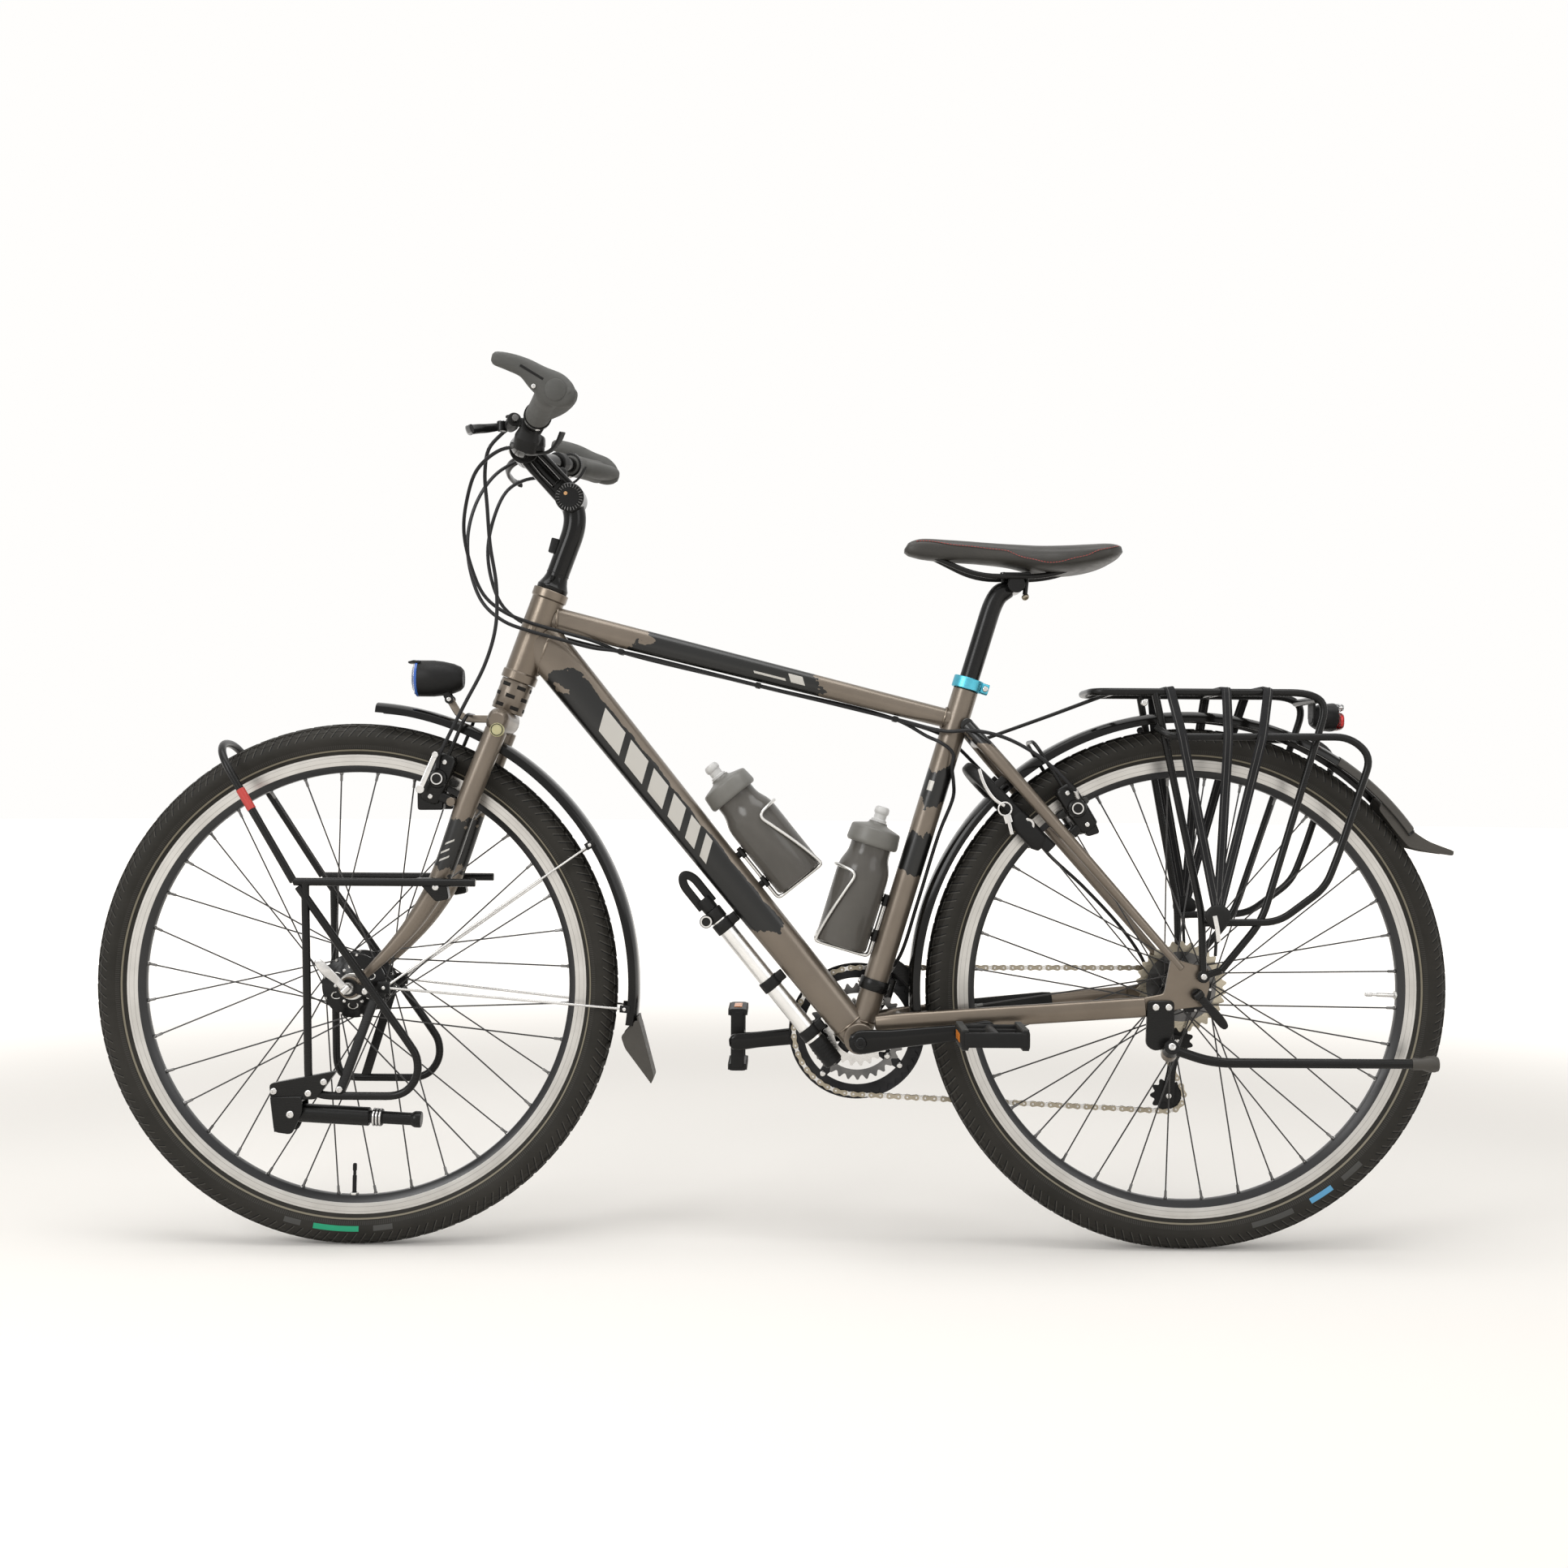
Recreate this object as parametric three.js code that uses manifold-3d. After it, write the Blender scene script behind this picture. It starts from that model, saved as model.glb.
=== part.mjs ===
// A touring bicycle with racks, mudguards, stands, lights, bottles, a pump and a ring lock.
// Sizes are in millimetres. The rider faces -X, +Y is the rider's right and +Z is up.
import * as THREE from 'three';
import { mergeVertices } from 'three/addons/utils/BufferGeometryUtils.js';
import Module from 'manifold-3d';

const wasm = await Module();
wasm.setup();

const degree = Math.PI / 180;

// Driving sizes of the whole machine
const wheelBase = 1139.7;
const tyreRadius = 358;
const tyreWidth = 47;
const bracketHeight = 289.8;
const chainStayLength = 455;
const headAngle = 70 * degree;
const forkRake = 61.4;
const forkLength = 466.8;
const headTubeLength = 132.7;
const seatAngle = 73.1 * degree;
const seatTubeLength = 499.6;
const topTubeOnHead = 96;
const topTubeOnSeat = 455;
const downTubeOnHead = 69;
const crankLength = 170;
const frontHubWidth = 100;
const rearHubWidth = 135;

// Clearances: what touches keeps a gap, what runs keeps a running gap
const gap = 0.3;
const runningGap = 1.2;
const overrun = 2;
const weld = 0.0001;

// Section sides: how round the tubes and turned pieces are
const pinSides = 4;
const wireSides = 4;
const thinSides = 5;
const tubeSides = 7;
const stemSides = 8;
const frameSides = 12;
const wheelSides = 32;
const cornerSteps = 2;

// Helpers for places and directions
const vec = (x, y, z) => new THREE.Vector3(x, y, z);
const forward = vec(-1, 0, 0);
const right = vec(0, 1, 0);
const upward = vec(0, 0, 1);
const mix = THREE.MathUtils.lerp;
const bothSides = [-1, 1];
const boreFor = (radius, sides) => (radius + gap) / Math.cos(Math.PI / sides);

const frontAxle = vec(-wheelBase / 2, 0, tyreRadius);
const rearAxle = vec(wheelBase / 2, 0, tyreRadius);
const bracketDrop = tyreRadius - bracketHeight;
const bracket = vec(rearAxle.x - Math.sqrt(chainStayLength ** 2 - bracketDrop ** 2), 0, bracketHeight);
const steerUp = vec(Math.cos(headAngle), 0, Math.sin(headAngle));
const steerAhead = vec(-Math.sin(headAngle), 0, Math.cos(headAngle));
const steerFoot = frontAxle.clone().addScaledVector(steerAhead, -forkRake);
const onSteer = (along, ahead = 0, y = 0) =>
  steerFoot.clone().addScaledVector(steerUp, along).addScaledVector(steerAhead, ahead).setY(y);
const seatUp = vec(Math.cos(seatAngle), 0, Math.sin(seatAngle));
const onSeat = (along, behind = 0, y = 0) =>
  bracket.clone().addScaledVector(seatUp, along).add(vec(seatUp.z * behind, y, -seatUp.x * behind));

// A place near an anchor, given in shares of the tyre radius along X and Z
const near = (anchor, shares, y = 0) =>
  vec(anchor.x + shares[0] * tyreRadius, y, anchor.z + shares[1] * tyreRadius);
const atFront = (shares, y) => near(frontAxle, shares, y);
const atRear = (shares, y) => near(rearAxle, shares, y);

// A route near an anchor: a list of shares, and a list of sideways places
const route = (anchor, shares, sideways) =>
  shares.map((place, i) => near(anchor, place, Array.isArray(sideways) ? sideways[i] : sideways));
const mirrored = (points) => points.map((point) => vec(point.x, -point.y, point.z));

// Section outlines
function ring(radius, sides, tall = radius) {
  return Array.from({ length: sides }, (_, i) => {
    const turn = (i + 0.5) * 2 * Math.PI / sides;
    return [radius * Math.cos(turn), tall * Math.sin(turn)];
  });
}

function block(width, height) {
  return [[-width / 2, -height / 2], [width / 2, -height / 2],
    [width / 2, height / 2], [-width / 2, height / 2]];
}

// A closed solid from a three.js geometry
function solidOf(geometry) {
  const bare = new THREE.BufferGeometry();
  bare.setAttribute('position', geometry.getAttribute('position').clone());
  if (geometry.index) bare.setIndex(geometry.index.clone());
  const merged = mergeVertices(bare, weld);
  const places = merged.getAttribute('position');
  const faces = [];
  for (let i = 0; i < merged.index.count; i += 3) {
    const [a, b, c] = [merged.index.getX(i), merged.index.getX(i + 1), merged.index.getX(i + 2)];
    if (a !== b && b !== c && c !== a) faces.push(a, b, c);
  }
  const corner = (i) => new THREE.Vector3().fromBufferAttribute(places, i);
  let volume = 0;
  for (let i = 0; i < faces.length; i += 3) {
    volume += corner(faces[i]).dot(corner(faces[i + 1]).cross(corner(faces[i + 2])));
  }
  if (volume < 0) faces.reverse();
  return new wasm.Manifold(new wasm.Mesh({
    numProp: 3,
    vertProperties: new Float32Array(places.array),
    triVerts: new Uint32Array(faces),
  }));
}

const join = (...pieces) => pieces.flat().reduce((whole, piece) => whole.add(piece));
const cut = (piece, ...tools) => tools.flat().reduce((rest, tool) => rest.subtract(tool), piece);

// Skins an outline over stations, each with a place, two directions and two scales
function skin(outline, stations, loop = false) {
  const flat = outline.map(([u, v]) => new THREE.Vector2(u, v));
  if (THREE.ShapeUtils.area(flat) < 0) flat.reverse();
  const places = [];
  const faces = [];
  for (const { at, across, up, wide = 1, tall = 1 } of stations) {
    for (const { x, y } of flat) {
      const point = at.clone().addScaledVector(across, x * wide).addScaledVector(up, y * tall);
      places.push(point.x, point.y, point.z);
    }
  }
  const count = flat.length;
  const spans = loop ? stations.length : stations.length - 1;
  for (let i = 0; i < spans; i += 1) {
    const next = (i + 1) % stations.length;
    for (let j = 0; j < count; j += 1) {
      const k = (j + 1) % count;
      faces.push(i * count + j, i * count + k, next * count + k);
      faces.push(i * count + j, next * count + k, next * count + j);
    }
  }
  if (!loop) {
    const last = (stations.length - 1) * count;
    for (const [a, b, c] of THREE.ShapeUtils.triangulateShape(flat, [])) {
      faces.push(a, c, b, last + a, last + b, last + c);
    }
  }
  const geometry = new THREE.BufferGeometry();
  geometry.setAttribute('position', new THREE.Float32BufferAttribute(places, 3));
  geometry.setIndex(faces);
  return solidOf(geometry);
}

// Stations along a path, with the section carried from one to the next without twist
function stationsAlong(points, firstUp = upward) {
  let up = firstUp.clone();
  return points.map((at, i) => {
    const tangent = new THREE.Vector3();
    if (i > 0) tangent.add(at.clone().sub(points[i - 1]).normalize());
    if (i < points.length - 1) tangent.add(points[i + 1].clone().sub(at).normalize());
    tangent.normalize();
    if (Math.abs(up.dot(tangent)) > 0.99) up = vec(up.z, up.x, up.y);
    up = up.clone().addScaledVector(tangent, -up.dot(tangent)).normalize();
    return { at, across: up.clone().cross(tangent), up: up.clone() };
  });
}

// Rounds the corners of a bent path
function bend(points, radius, steps = cornerSteps) {
  const path = [points[0]];
  for (let i = 1; i < points.length - 1; i += 1) {
    const back = points[i - 1].clone().sub(points[i]);
    const on = points[i + 1].clone().sub(points[i]);
    const half = back.angleTo(on) / 2;
    const reach = Math.min(radius / Math.tan(half), back.length() / 2.1, on.length() / 2.1);
    const start = points[i].clone().addScaledVector(back.normalize(), reach);
    const end = points[i].clone().addScaledVector(on.normalize(), reach);
    const arc = new THREE.QuadraticBezierCurve3(start, points[i], end);
    path.push(...arc.getPoints(steps));
  }
  path.push(points[points.length - 1]);
  return path;
}

const tube = (points, radius, sides = tubeSides, corner = radius * 4, firstUp = upward) =>
  skin(ring(radius, sides), stationsAlong(bend(points, corner), firstUp));
const rod = (from, to, radius, sides = tubeSides) =>
  skin(ring(radius, sides), stationsAlong([from, to]));
const beam = (from, to, width, height, firstUp = upward) =>
  skin(block(width, height), stationsAlong([from, to], firstUp));

// A tapered tube: its radius follows the path in even steps between the values given
function taper(points, radii, sides = tubeSides) {
  const stations = stationsAlong(points).map((station, i) => {
    const place = i / (points.length - 1) * (radii.length - 1);
    const below = Math.min(Math.floor(place), radii.length - 2);
    const radius = mix(radii[below], radii[below + 1], place - below);
    return { ...station, wide: radius, tall: radius };
  });
  return skin(ring(1, sides), stations);
}

// A turned piece: its profile of radius and place is spun about an axis
function turned(profile, sides, at = vec(0, 0, 0), axis = right, firstTurn = 0) {
  const closed = [...profile, profile[0]].map(([radius, place]) => new THREE.Vector2(radius, place));
  const geometry = new THREE.LatheGeometry(closed, sides, firstTurn);
  geometry.applyQuaternion(new THREE.Quaternion().setFromUnitVectors(right, axis.clone().normalize()));
  geometry.translate(at.x, at.y, at.z);
  return solidOf(geometry);
}

// A flat plate that stands in the plane of the wheels, between two sideways places
function plate(points, yFrom, yTo, holes = []) {
  const shape = new THREE.Shape(points.map((point) => new THREE.Vector2(point.x, point.z)));
  for (const { at, radius } of holes) {
    shape.holes.push(new THREE.Path().absarc(at.x, at.z, radius, 0, 2 * Math.PI));
  }
  const geometry = new THREE.ExtrudeGeometry(shape, {
    depth: Math.abs(yTo - yFrom), bevelEnabled: false, curveSegments: tubeSides,
  });
  geometry.rotateX(Math.PI / 2);
  geometry.translate(0, Math.max(yFrom, yTo), 0);
  return solidOf(geometry);
}

const boxAt = (centre, size) => {
  const geometry = new THREE.BoxGeometry(size.x, size.y, size.z);
  geometry.translate(centre.x, centre.y, centre.z);
  return solidOf(geometry);
};

// Materials by finish
const finishes = {
  titanGrey: new THREE.MeshStandardMaterial({ color: 0x7d7367, roughness: 0.45, metalness: 0.7 }),
  black: new THREE.MeshStandardMaterial({ color: 0x151516, roughness: 0.4, metalness: 0.3 }),
  plastic: new THREE.MeshStandardMaterial({ color: 0x18181a, roughness: 0.55, metalness: 0 }),
  rubber: new THREE.MeshStandardMaterial({ color: 0x222220, roughness: 0.85, metalness: 0 }),
  gripRubber: new THREE.MeshStandardMaterial({ color: 0x4c4c4a, roughness: 0.9, metalness: 0 }),
  alloy: new THREE.MeshStandardMaterial({ color: 0xc3c3c1, roughness: 0.3, metalness: 0.9 }),
  steel: new THREE.MeshStandardMaterial({ color: 0x9b978c, roughness: 0.35, metalness: 0.9 }),
  blue: new THREE.MeshStandardMaterial({ color: 0x3fa9c9, roughness: 0.4, metalness: 0.4 }),
  leather: new THREE.MeshStandardMaterial({ color: 0x2f2c2a, roughness: 0.7, metalness: 0 }),
  bottle: new THREE.MeshStandardMaterial({ color: 0x55575a, roughness: 0.4, metalness: 0 }),
  webbing: new THREE.MeshStandardMaterial({ color: 0x1d1d20, roughness: 0.9, metalness: 0 }),
};

const bicycle = new THREE.Group();

function addPiece(name, solid, material, parent = bicycle) {
  const { vertProperties, triVerts, numProp } = solid.getMesh();
  const places = new Float32Array(vertProperties.length / numProp * 3);
  for (let i = 0; i < places.length / 3; i += 1) {
    for (let j = 0; j < 3; j += 1) places[i * 3 + j] = vertProperties[i * numProp + j];
  }
  const geometry = new THREE.BufferGeometry();
  geometry.setAttribute('position', new THREE.BufferAttribute(places, 3));
  geometry.setIndex(new THREE.BufferAttribute(new Uint32Array(triVerts), 1));
  geometry.computeVertexNormals();
  const mesh = new THREE.Mesh(geometry, finishes[material]);
  mesh.name = name;
  parent.add(mesh);
  return mesh;
}

function groupAt(place) {
  const group = new THREE.Group();
  group.position.copy(place);
  bicycle.add(group);
  return group;
}

// Wheels: rim, tyre with its tube, and a hub laced with spokes
const rimHalfWidth = 12.5;
const rimWall = 1.8;
const tyreWallHeight = 41;
const rimBedDepth = 11;
const rimTrackHeight = 17;
const rimHeight = 26;
const rimTopRadius = tyreRadius - tyreWallHeight;
const rimBedRadius = rimTopRadius - rimBedDepth;
const rimTrackFoot = rimTopRadius - rimTrackHeight;
const rimInnerRadius = rimTopRadius - rimHeight;
const rimSpokeHalf = 5;
const crownHalf = 8;
const shoulderDrop = 7;
const sidewallRadius = 332;
const spokeCount = 36;
const spokeRadius = 1.15;
const spokeSides = 3;
const spokeCross = 60 * degree;
const spokeApart = spokeRadius * 1.5;
const roundness = 1 / Math.cos(Math.PI / wheelSides);
const spinWheel = (profile) => turned(
  profile.map(([radius, place]) => [radius * roundness, place]), wheelSides, vec(0, 0, 0), right,
  Math.PI / wheelSides);
const withMirror = (half) => [...half, ...half.map(([radius, place]) => [radius, -place]).reverse()];

function rim() {
  const bed = rimHalfWidth - rimWall;
  return spinWheel(withMirror([
    [rimInnerRadius, -rimSpokeHalf], [rimTrackFoot, -rimHalfWidth], [rimTopRadius, -rimHalfWidth],
    [rimTopRadius, -bed], [rimBedRadius, -bed],
  ]));
}

function tyre() {
  const bead = rimHalfWidth - rimWall - gap;
  const half = tyreWidth / 2;
  return spinWheel(withMirror([
    [rimBedRadius + gap, -bead], [rimTopRadius + gap, -bead], [sidewallRadius, -half], [tyreRadius - shoulderDrop, -mix(half, crownHalf, 0.4)], [tyreRadius, -crownHalf],
  ]));
}

function lacedHub(profile, flanges, sides) {
  const spokes = [];
  for (let i = 0; i < spokeCount; i += 1) {
    const flange = flanges[i % flanges.length];
    const turn = (i + 0.5) * 2 * Math.PI / spokeCount;
    const hand = i % 4 < 2 ? 1 : -1;
    const lean = turn + hand * spokeCross;
    const sink = flange.radius - spokeRadius * 2;
    const root = vec(sink * Math.cos(lean), flange.y + hand * spokeApart, sink * Math.sin(lean));
    const reach = rimInnerRadius - gap;
    const tip = vec(reach * Math.cos(turn), flange.y * rimSpokeHalf / rearHubWidth, reach * Math.sin(turn));
    spokes.push(rod(root, tip, spokeRadius, spokeSides));
  }
  return join(turned(profile, sides), spokes);
}

const skewerRadius = 4.6;
const axleBore = skewerRadius + gap;
const frontHubHalf = frontHubWidth / 2 - gap;
const rearHubHalf = rearHubWidth / 2 - gap;
const dynamoRadius = 44;
const dynamoHalf = 26;
const dynamoBevel = 5;
const axleEndRadius = 9.5;
const axleEndLength = 8;
const frontHubProfile = withMirror([
  [axleBore, -frontHubHalf], [axleEndRadius, -frontHubHalf], [axleEndRadius, -frontHubHalf + axleEndLength],
  [dynamoRadius - dynamoBevel, -dynamoHalf - dynamoBevel], [dynamoRadius, -dynamoHalf - spokeApart * 2],
]);

const rearFlangeRadius = 29;
const rearShellRadius = 16;
const rearFlangeLeft = -33;
const rearFlangeRight = 19;
const flangeHalf = 3;
const rearAxleRadius = 7.2;
const locknutLength = 4.5;
const rearHubProfile = [
  [axleBore, -rearHubHalf], [axleEndRadius, -rearHubHalf], [axleEndRadius, -rearHubHalf + axleEndLength],
  [rearShellRadius, rearFlangeLeft - axleEndLength], [rearFlangeRadius, rearFlangeLeft - flangeHalf],
  [rearFlangeRadius, rearFlangeLeft + flangeHalf], [rearShellRadius, rearFlangeLeft + axleEndLength],
  [rearShellRadius, rearFlangeRight - axleEndLength], [rearFlangeRadius, rearFlangeRight - flangeHalf],
  [rearFlangeRadius, rearFlangeRight + flangeHalf], [rearAxleRadius, rearFlangeRight + flangeHalf],
  [rearAxleRadius, rearHubHalf - locknutLength], [axleEndRadius, rearHubHalf - locknutLength],
  [axleEndRadius, rearHubHalf], [axleBore, rearHubHalf],
];

const frontWheel = groupAt(frontAxle);
const rearWheel = groupAt(rearAxle);
addPiece('front_tyre', tyre(), 'rubber', frontWheel);
addPiece('front_rim', rim(), 'alloy', frontWheel);
addPiece('front_hub', lacedHub(frontHubProfile, [
  { y: -dynamoHalf, radius: dynamoRadius }, { y: dynamoHalf, radius: dynamoRadius },
], frameSides), 'black', frontWheel);
addPiece('rear_tyre', tyre(), 'rubber', rearWheel);
addPiece('rear_rim', rim(), 'alloy', rearWheel);
addPiece('rear_hub', lacedHub(rearHubProfile, [
  { y: rearFlangeLeft, radius: rearFlangeRadius }, { y: rearFlangeRight, radius: rearFlangeRadius },
], frameSides), 'black', rearWheel);

// Frame: head, top, down and seat tubes, the bracket shell, and the stays with their dropouts
const headTubeRadius = 22.5;
const headCollarRadius = 24.5;
const headCollarHeight = 12;
const headBore = 15.2;
const topTubeFront = 17;
const topTubeRear = 13;
const topTubeHalfWidth = 15;
const downTubeFront = 31;
const downTubeRear = 23;
const downTubeHalfWidth = 22;
const seatTubeRadius = 17.4;
const seatBore = 13.9;
const seatBoreDepth = 270;
const shellRadius = 21;
const shellHalf = 36;
const shellBore = 14;
const dropoutThick = 6;
const rearDropoutInner = rearHubWidth / 2;
const rearDropoutMid = rearDropoutInner + dropoutThick / 2;
const seatStayRadius = 10;
const chainStayHalfHeight = 13.5;
const chainStayHalfWidth = 7.5;
const headBottom = onSteer(forkLength);
const headTop = onSteer(forkLength + headTubeLength);
const topTubeStart = onSteer(forkLength + topTubeOnHead);
const topTubeEnd = onSeat(topTubeOnSeat);
const downTubeStart = onSteer(forkLength + downTubeOnHead);

const headTube = (grow = 0) => turned([
  [headBore, 0], [headCollarRadius + grow, 0], [headCollarRadius + grow, headCollarHeight],
  [headTubeRadius + grow, headCollarHeight + overrun],
  [headTubeRadius + grow, headTubeLength - headCollarHeight - overrun],
  [headCollarRadius + grow, headTubeLength - headCollarHeight], [headCollarRadius + grow, headTubeLength],
  [headBore, headTubeLength],
], frameSides, headBottom, steerUp);
const headCore = (grow) => rod(headBottom, headTop, headTubeRadius + grow, frameSides);

function ovalTube(from, to, halfWidth, halfHeightFrom, halfHeightTo, grow = 0) {
  const [start, end] = stationsAlong([from, to]);
  return skin(ring(1, frameSides), [
    { ...start, wide: halfWidth + grow, tall: halfHeightFrom + grow },
    { ...end, wide: halfWidth + grow, tall: halfHeightTo + grow },
  ]);
}

const topTube = (grow = 0) =>
  ovalTube(topTubeStart, topTubeEnd, topTubeHalfWidth, topTubeFront, topTubeRear, grow);
const downTube = (grow = 0) =>
  ovalTube(downTubeStart, bracket, downTubeHalfWidth, downTubeFront, downTubeRear, grow);
const seatTube = (grow = 0) => rod(bracket, onSeat(seatTubeLength), seatTubeRadius + grow, frameSides);
const shell = (grow = 0) => rod(bracket.clone().setY(-shellHalf - grow), bracket.clone().setY(shellHalf + grow),
  shellRadius + grow, frameSides);
const spindleTunnel = rod(bracket.clone().setY(-shellHalf - overrun), bracket.clone().setY(shellHalf + overrun),
  shellBore, frameSides);

addPiece('head_tube', headTube(), 'titanGrey');
addPiece('top_tube', cut(topTube(), headCore(gap), headTube(gap), seatTube(gap)), 'titanGrey');
addPiece('down_tube', cut(join(downTube(), shell()), headCore(gap), topTube(gap), headTube(gap), spindleTunnel), 'titanGrey');
const seatTubeBore = rod(onSeat(seatTubeLength - seatBoreDepth), onSeat(seatTubeLength + overrun),
  seatBore, frameSides);
addPiece('seat_tube', cut(seatTube(), seatTubeBore, shell(gap), downTube(gap)), 'titanGrey');

// Rear stays: a straight pair aimed at the axle, and an oval pair along the chain
const seatStayTopSpread = 23;
const seatStayBridgeSpread = 43;
const seatStayPathShares = [[-0.850, 1.003], [-0.735, 0.872], [-0.56, 0.672], [-0.053, 0.094]];
const seatStayBridgeShares = [-0.80, 0.948];
const seatStaySpreadShares = [0, 0.55, 0.72, 1];
const stayFlat = 5;
const seatStayPath = (side) => seatStayPathShares.map((place, i) =>
  atRear(place, side * mix(seatStayTopSpread, rearDropoutMid, seatStaySpreadShares[i])));

function dropout(side, grow = 0) {
  const inner = side * (rearDropoutInner - grow);
  const outer = side * (rearDropoutInner + dropoutThick + grow);
  const edge = (shares) => atRear(shares);
  const outlineShares = [[-0.095, 0.135], [-0.02, 0.115], [0.045, 0.10], [0.05, 0.03], [0.03, -0.045],
    [-0.05, -0.055], [-0.21, -0.085], [-0.22, -0.02], [-0.12, 0.0]];
  return plate(outlineShares.map(edge), inner, outer, [{ at: rearAxle, radius: axleBore }]);
}

function seatStayBridge(grow = 0) {
  const spread = mix(seatStayTopSpread, rearDropoutMid, 0.2);
  return rod(atRear(seatStayBridgeShares, -spread), atRear(seatStayBridgeShares, spread), seatStayRadius * 0.8 + grow);
}

function seatStays() {
  const stays = bothSides.map((side) => taper(bend(seatStayPath(side), seatStayRadius * 8),
    [seatStayRadius, seatStayRadius, seatStayRadius, stayFlat], tubeSides));
  const yoke = rod(atRear(seatStayPathShares[0], -seatStayTopSpread), atRear(seatStayPathShares[0], seatStayTopSpread),
    seatStayRadius);
  return cut(join(stays, yoke, seatStayBridge()), seatTube(gap), topTube(gap), bothSides.map((side) => dropout(side, gap)));
}

const seatStayRoom = () => bothSides.map((side) => skin(ring(1, tubeSides),
  stationsAlong(bend(seatStayPath(side), seatStayRadius * 8)).map((station) => ({
    ...station, wide: seatStayRadius + gap, tall: seatStayRadius + gap,
  }))));

const chainStayPathShares = [[-1.19, -0.14], [-1.10, -0.127], [-0.99, -0.118], [-0.55, -0.08], [-0.189, -0.05]];
const chainStaySpreadShares = [0, 0.16, 0.30, 0.72, 1];
const chainStayFrontSpread = 24;
const chainStayBridge = 20;

function chainStays() {
  const stays = bothSides.map((side) => {
    const path = chainStayPathShares.map((place, i) =>
      atRear(place, side * mix(chainStayFrontSpread, rearDropoutMid, chainStaySpreadShares[i])));
    const stations = stationsAlong(path).map((station, i) => {
      const last = i === path.length - 1;
      return {
        ...station,
        wide: last ? dropoutThick / 2 : chainStayHalfWidth,
        tall: chainStayHalfHeight * (last ? 0.7 : 1),
      };
    });
    return skin(ring(1, tubeSides), stations);
  });
  const bridgeAt = chainStayPathShares[1];
  const spread = mix(chainStayFrontSpread, rearDropoutMid, chainStaySpreadShares[1]);
  const bridge = rod(atRear(bridgeAt, -spread), atRear(bridgeAt, spread), chainStayBridge / 2);
  const plates = bothSides.map((side) => dropout(side));
  const stand = rearStandBracket();
  const axleHoles = rod(rearAxle.clone().setY(-rearHubWidth), rearAxle.clone().setY(rearHubWidth), axleBore);
  return cut(join(stays, bridge, plates, stand), shell(gap), seatTube(gap), downTube(gap), axleHoles);
}

// The rear stand's bracket is bolted to the left stay
const standBracketShares = [[-0.186, -0.024], [-0.086, -0.023], [-0.085, -0.135], [-0.118, -0.202],
  [-0.160, -0.212], [-0.191, -0.191]];
const standBracketThick = 9;
const standBracketInner = rearDropoutInner + dropoutThick - overrun;
const standBoltShares = [[-0.156, -0.047], [-0.108, -0.047]];
const boltRadius = 5.2;
const boltHead = 4;
const standBracketOuter = standBracketInner + standBracketThick;
const rearStandPivotShares = [-0.105, -0.197];
const rearStandRadius = 6.5;
const rearStandLean = 31 * degree;
const rearStandEyeInset = 9;
const rearStandEyeRadius = 10.4;
const rearStandBoss = 12;
const rearStandY = -(standBracketOuter + gap + rearStandEyeInset * Math.cos(rearStandLean)
  + rearStandEyeRadius * Math.sin(rearStandLean));

// The leg folds about an axis that leans, so that the foot swings out as it comes down
const rearStandOut = vec(0, -Math.cos(rearStandLean), Math.sin(rearStandLean));

function onRearStandAxis(outward) {
  return atRear(rearStandPivotShares, rearStandY).addScaledVector(rearStandOut, outward);
}

function rearStandBracket() {
  const boss = rod(onRearStandAxis(-rearStandEyeInset - gap),
    onRearStandAxis(-rearStandEyeInset - gap - rearStandBoss), rearStandEyeRadius, tubeSides);
  const body = plate(standBracketShares.map((share) => atRear(share)), -standBracketInner, -standBracketOuter);
  const bolts = standBoltShares.map((share) =>
    rod(atRear(share, -standBracketInner), atRear(share, -standBracketOuter - boltHead), boltRadius, thinSides));
  return join(body, bolts, boss);
}

addPiece('seat_stays', seatStays(), 'titanGrey');
addPiece('chain_stays', chainStays(), 'titanGrey');

// Seat clamp: a blue collar at the top of the seat tube, with its bolt ear behind
const postRadius = seatBore - gap;
const clampHeight = 16;
const clampWall = 3.4;
const clampEar = 9;

function seatClamp() {
  const bottom = seatTubeLength + gap;
  const collar = turned([
    [postRadius + gap, 0], [seatTubeRadius + clampWall, 0], [seatTubeRadius + clampWall, clampHeight],
    [postRadius + gap, clampHeight],
  ], frameSides, onSeat(bottom), seatUp);
  const ear = beam(onSeat(bottom + clampHeight / 2, seatTubeRadius), onSeat(bottom + clampHeight / 2,
    seatTubeRadius + clampWall + clampEar), clampHeight * 0.8, clampHeight * 0.75);
  return join(collar, ear);
}

addPiece('seat_clamp', seatClamp(), 'blue');

// Seat post: a straight tube that bends back to the saddle clamp
const postInsertion = 190;
const postRise = 120;
const postSetback = 48;
const postHeadRise = 145;
const postHeadHalf = 22;
const postHeadRadius = 12;
const clampTop = seatTubeLength + gap + clampHeight;

function seatPost() {
  const straight = rod(onSeat(clampTop - postInsertion), onSeat(clampTop + postRise * 0.7), postRadius, frameSides);
  const head = onSeat(clampTop).add(vec(postSetback + seatUp.x * postRise * 0.4, 0, postHeadRise - clampHeight));
  const neck = taper(bend([onSeat(clampTop + postRise * 0.68), onSeat(clampTop + postRise),
    head.clone().add(vec(-postHeadRadius * 0.6, 0, -postHeadRadius * 0.4))], postRadius * 2),
  [postRadius, postRadius * 0.85], tubeSides);
  const cradle = rod(head.clone().setY(-postHeadHalf), head.clone().setY(postHeadHalf), postHeadRadius);
  return { solid: join(straight, neck, cradle), head };
}

const post = seatPost();
addPiece('seat_post', post.solid, 'black');

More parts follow.
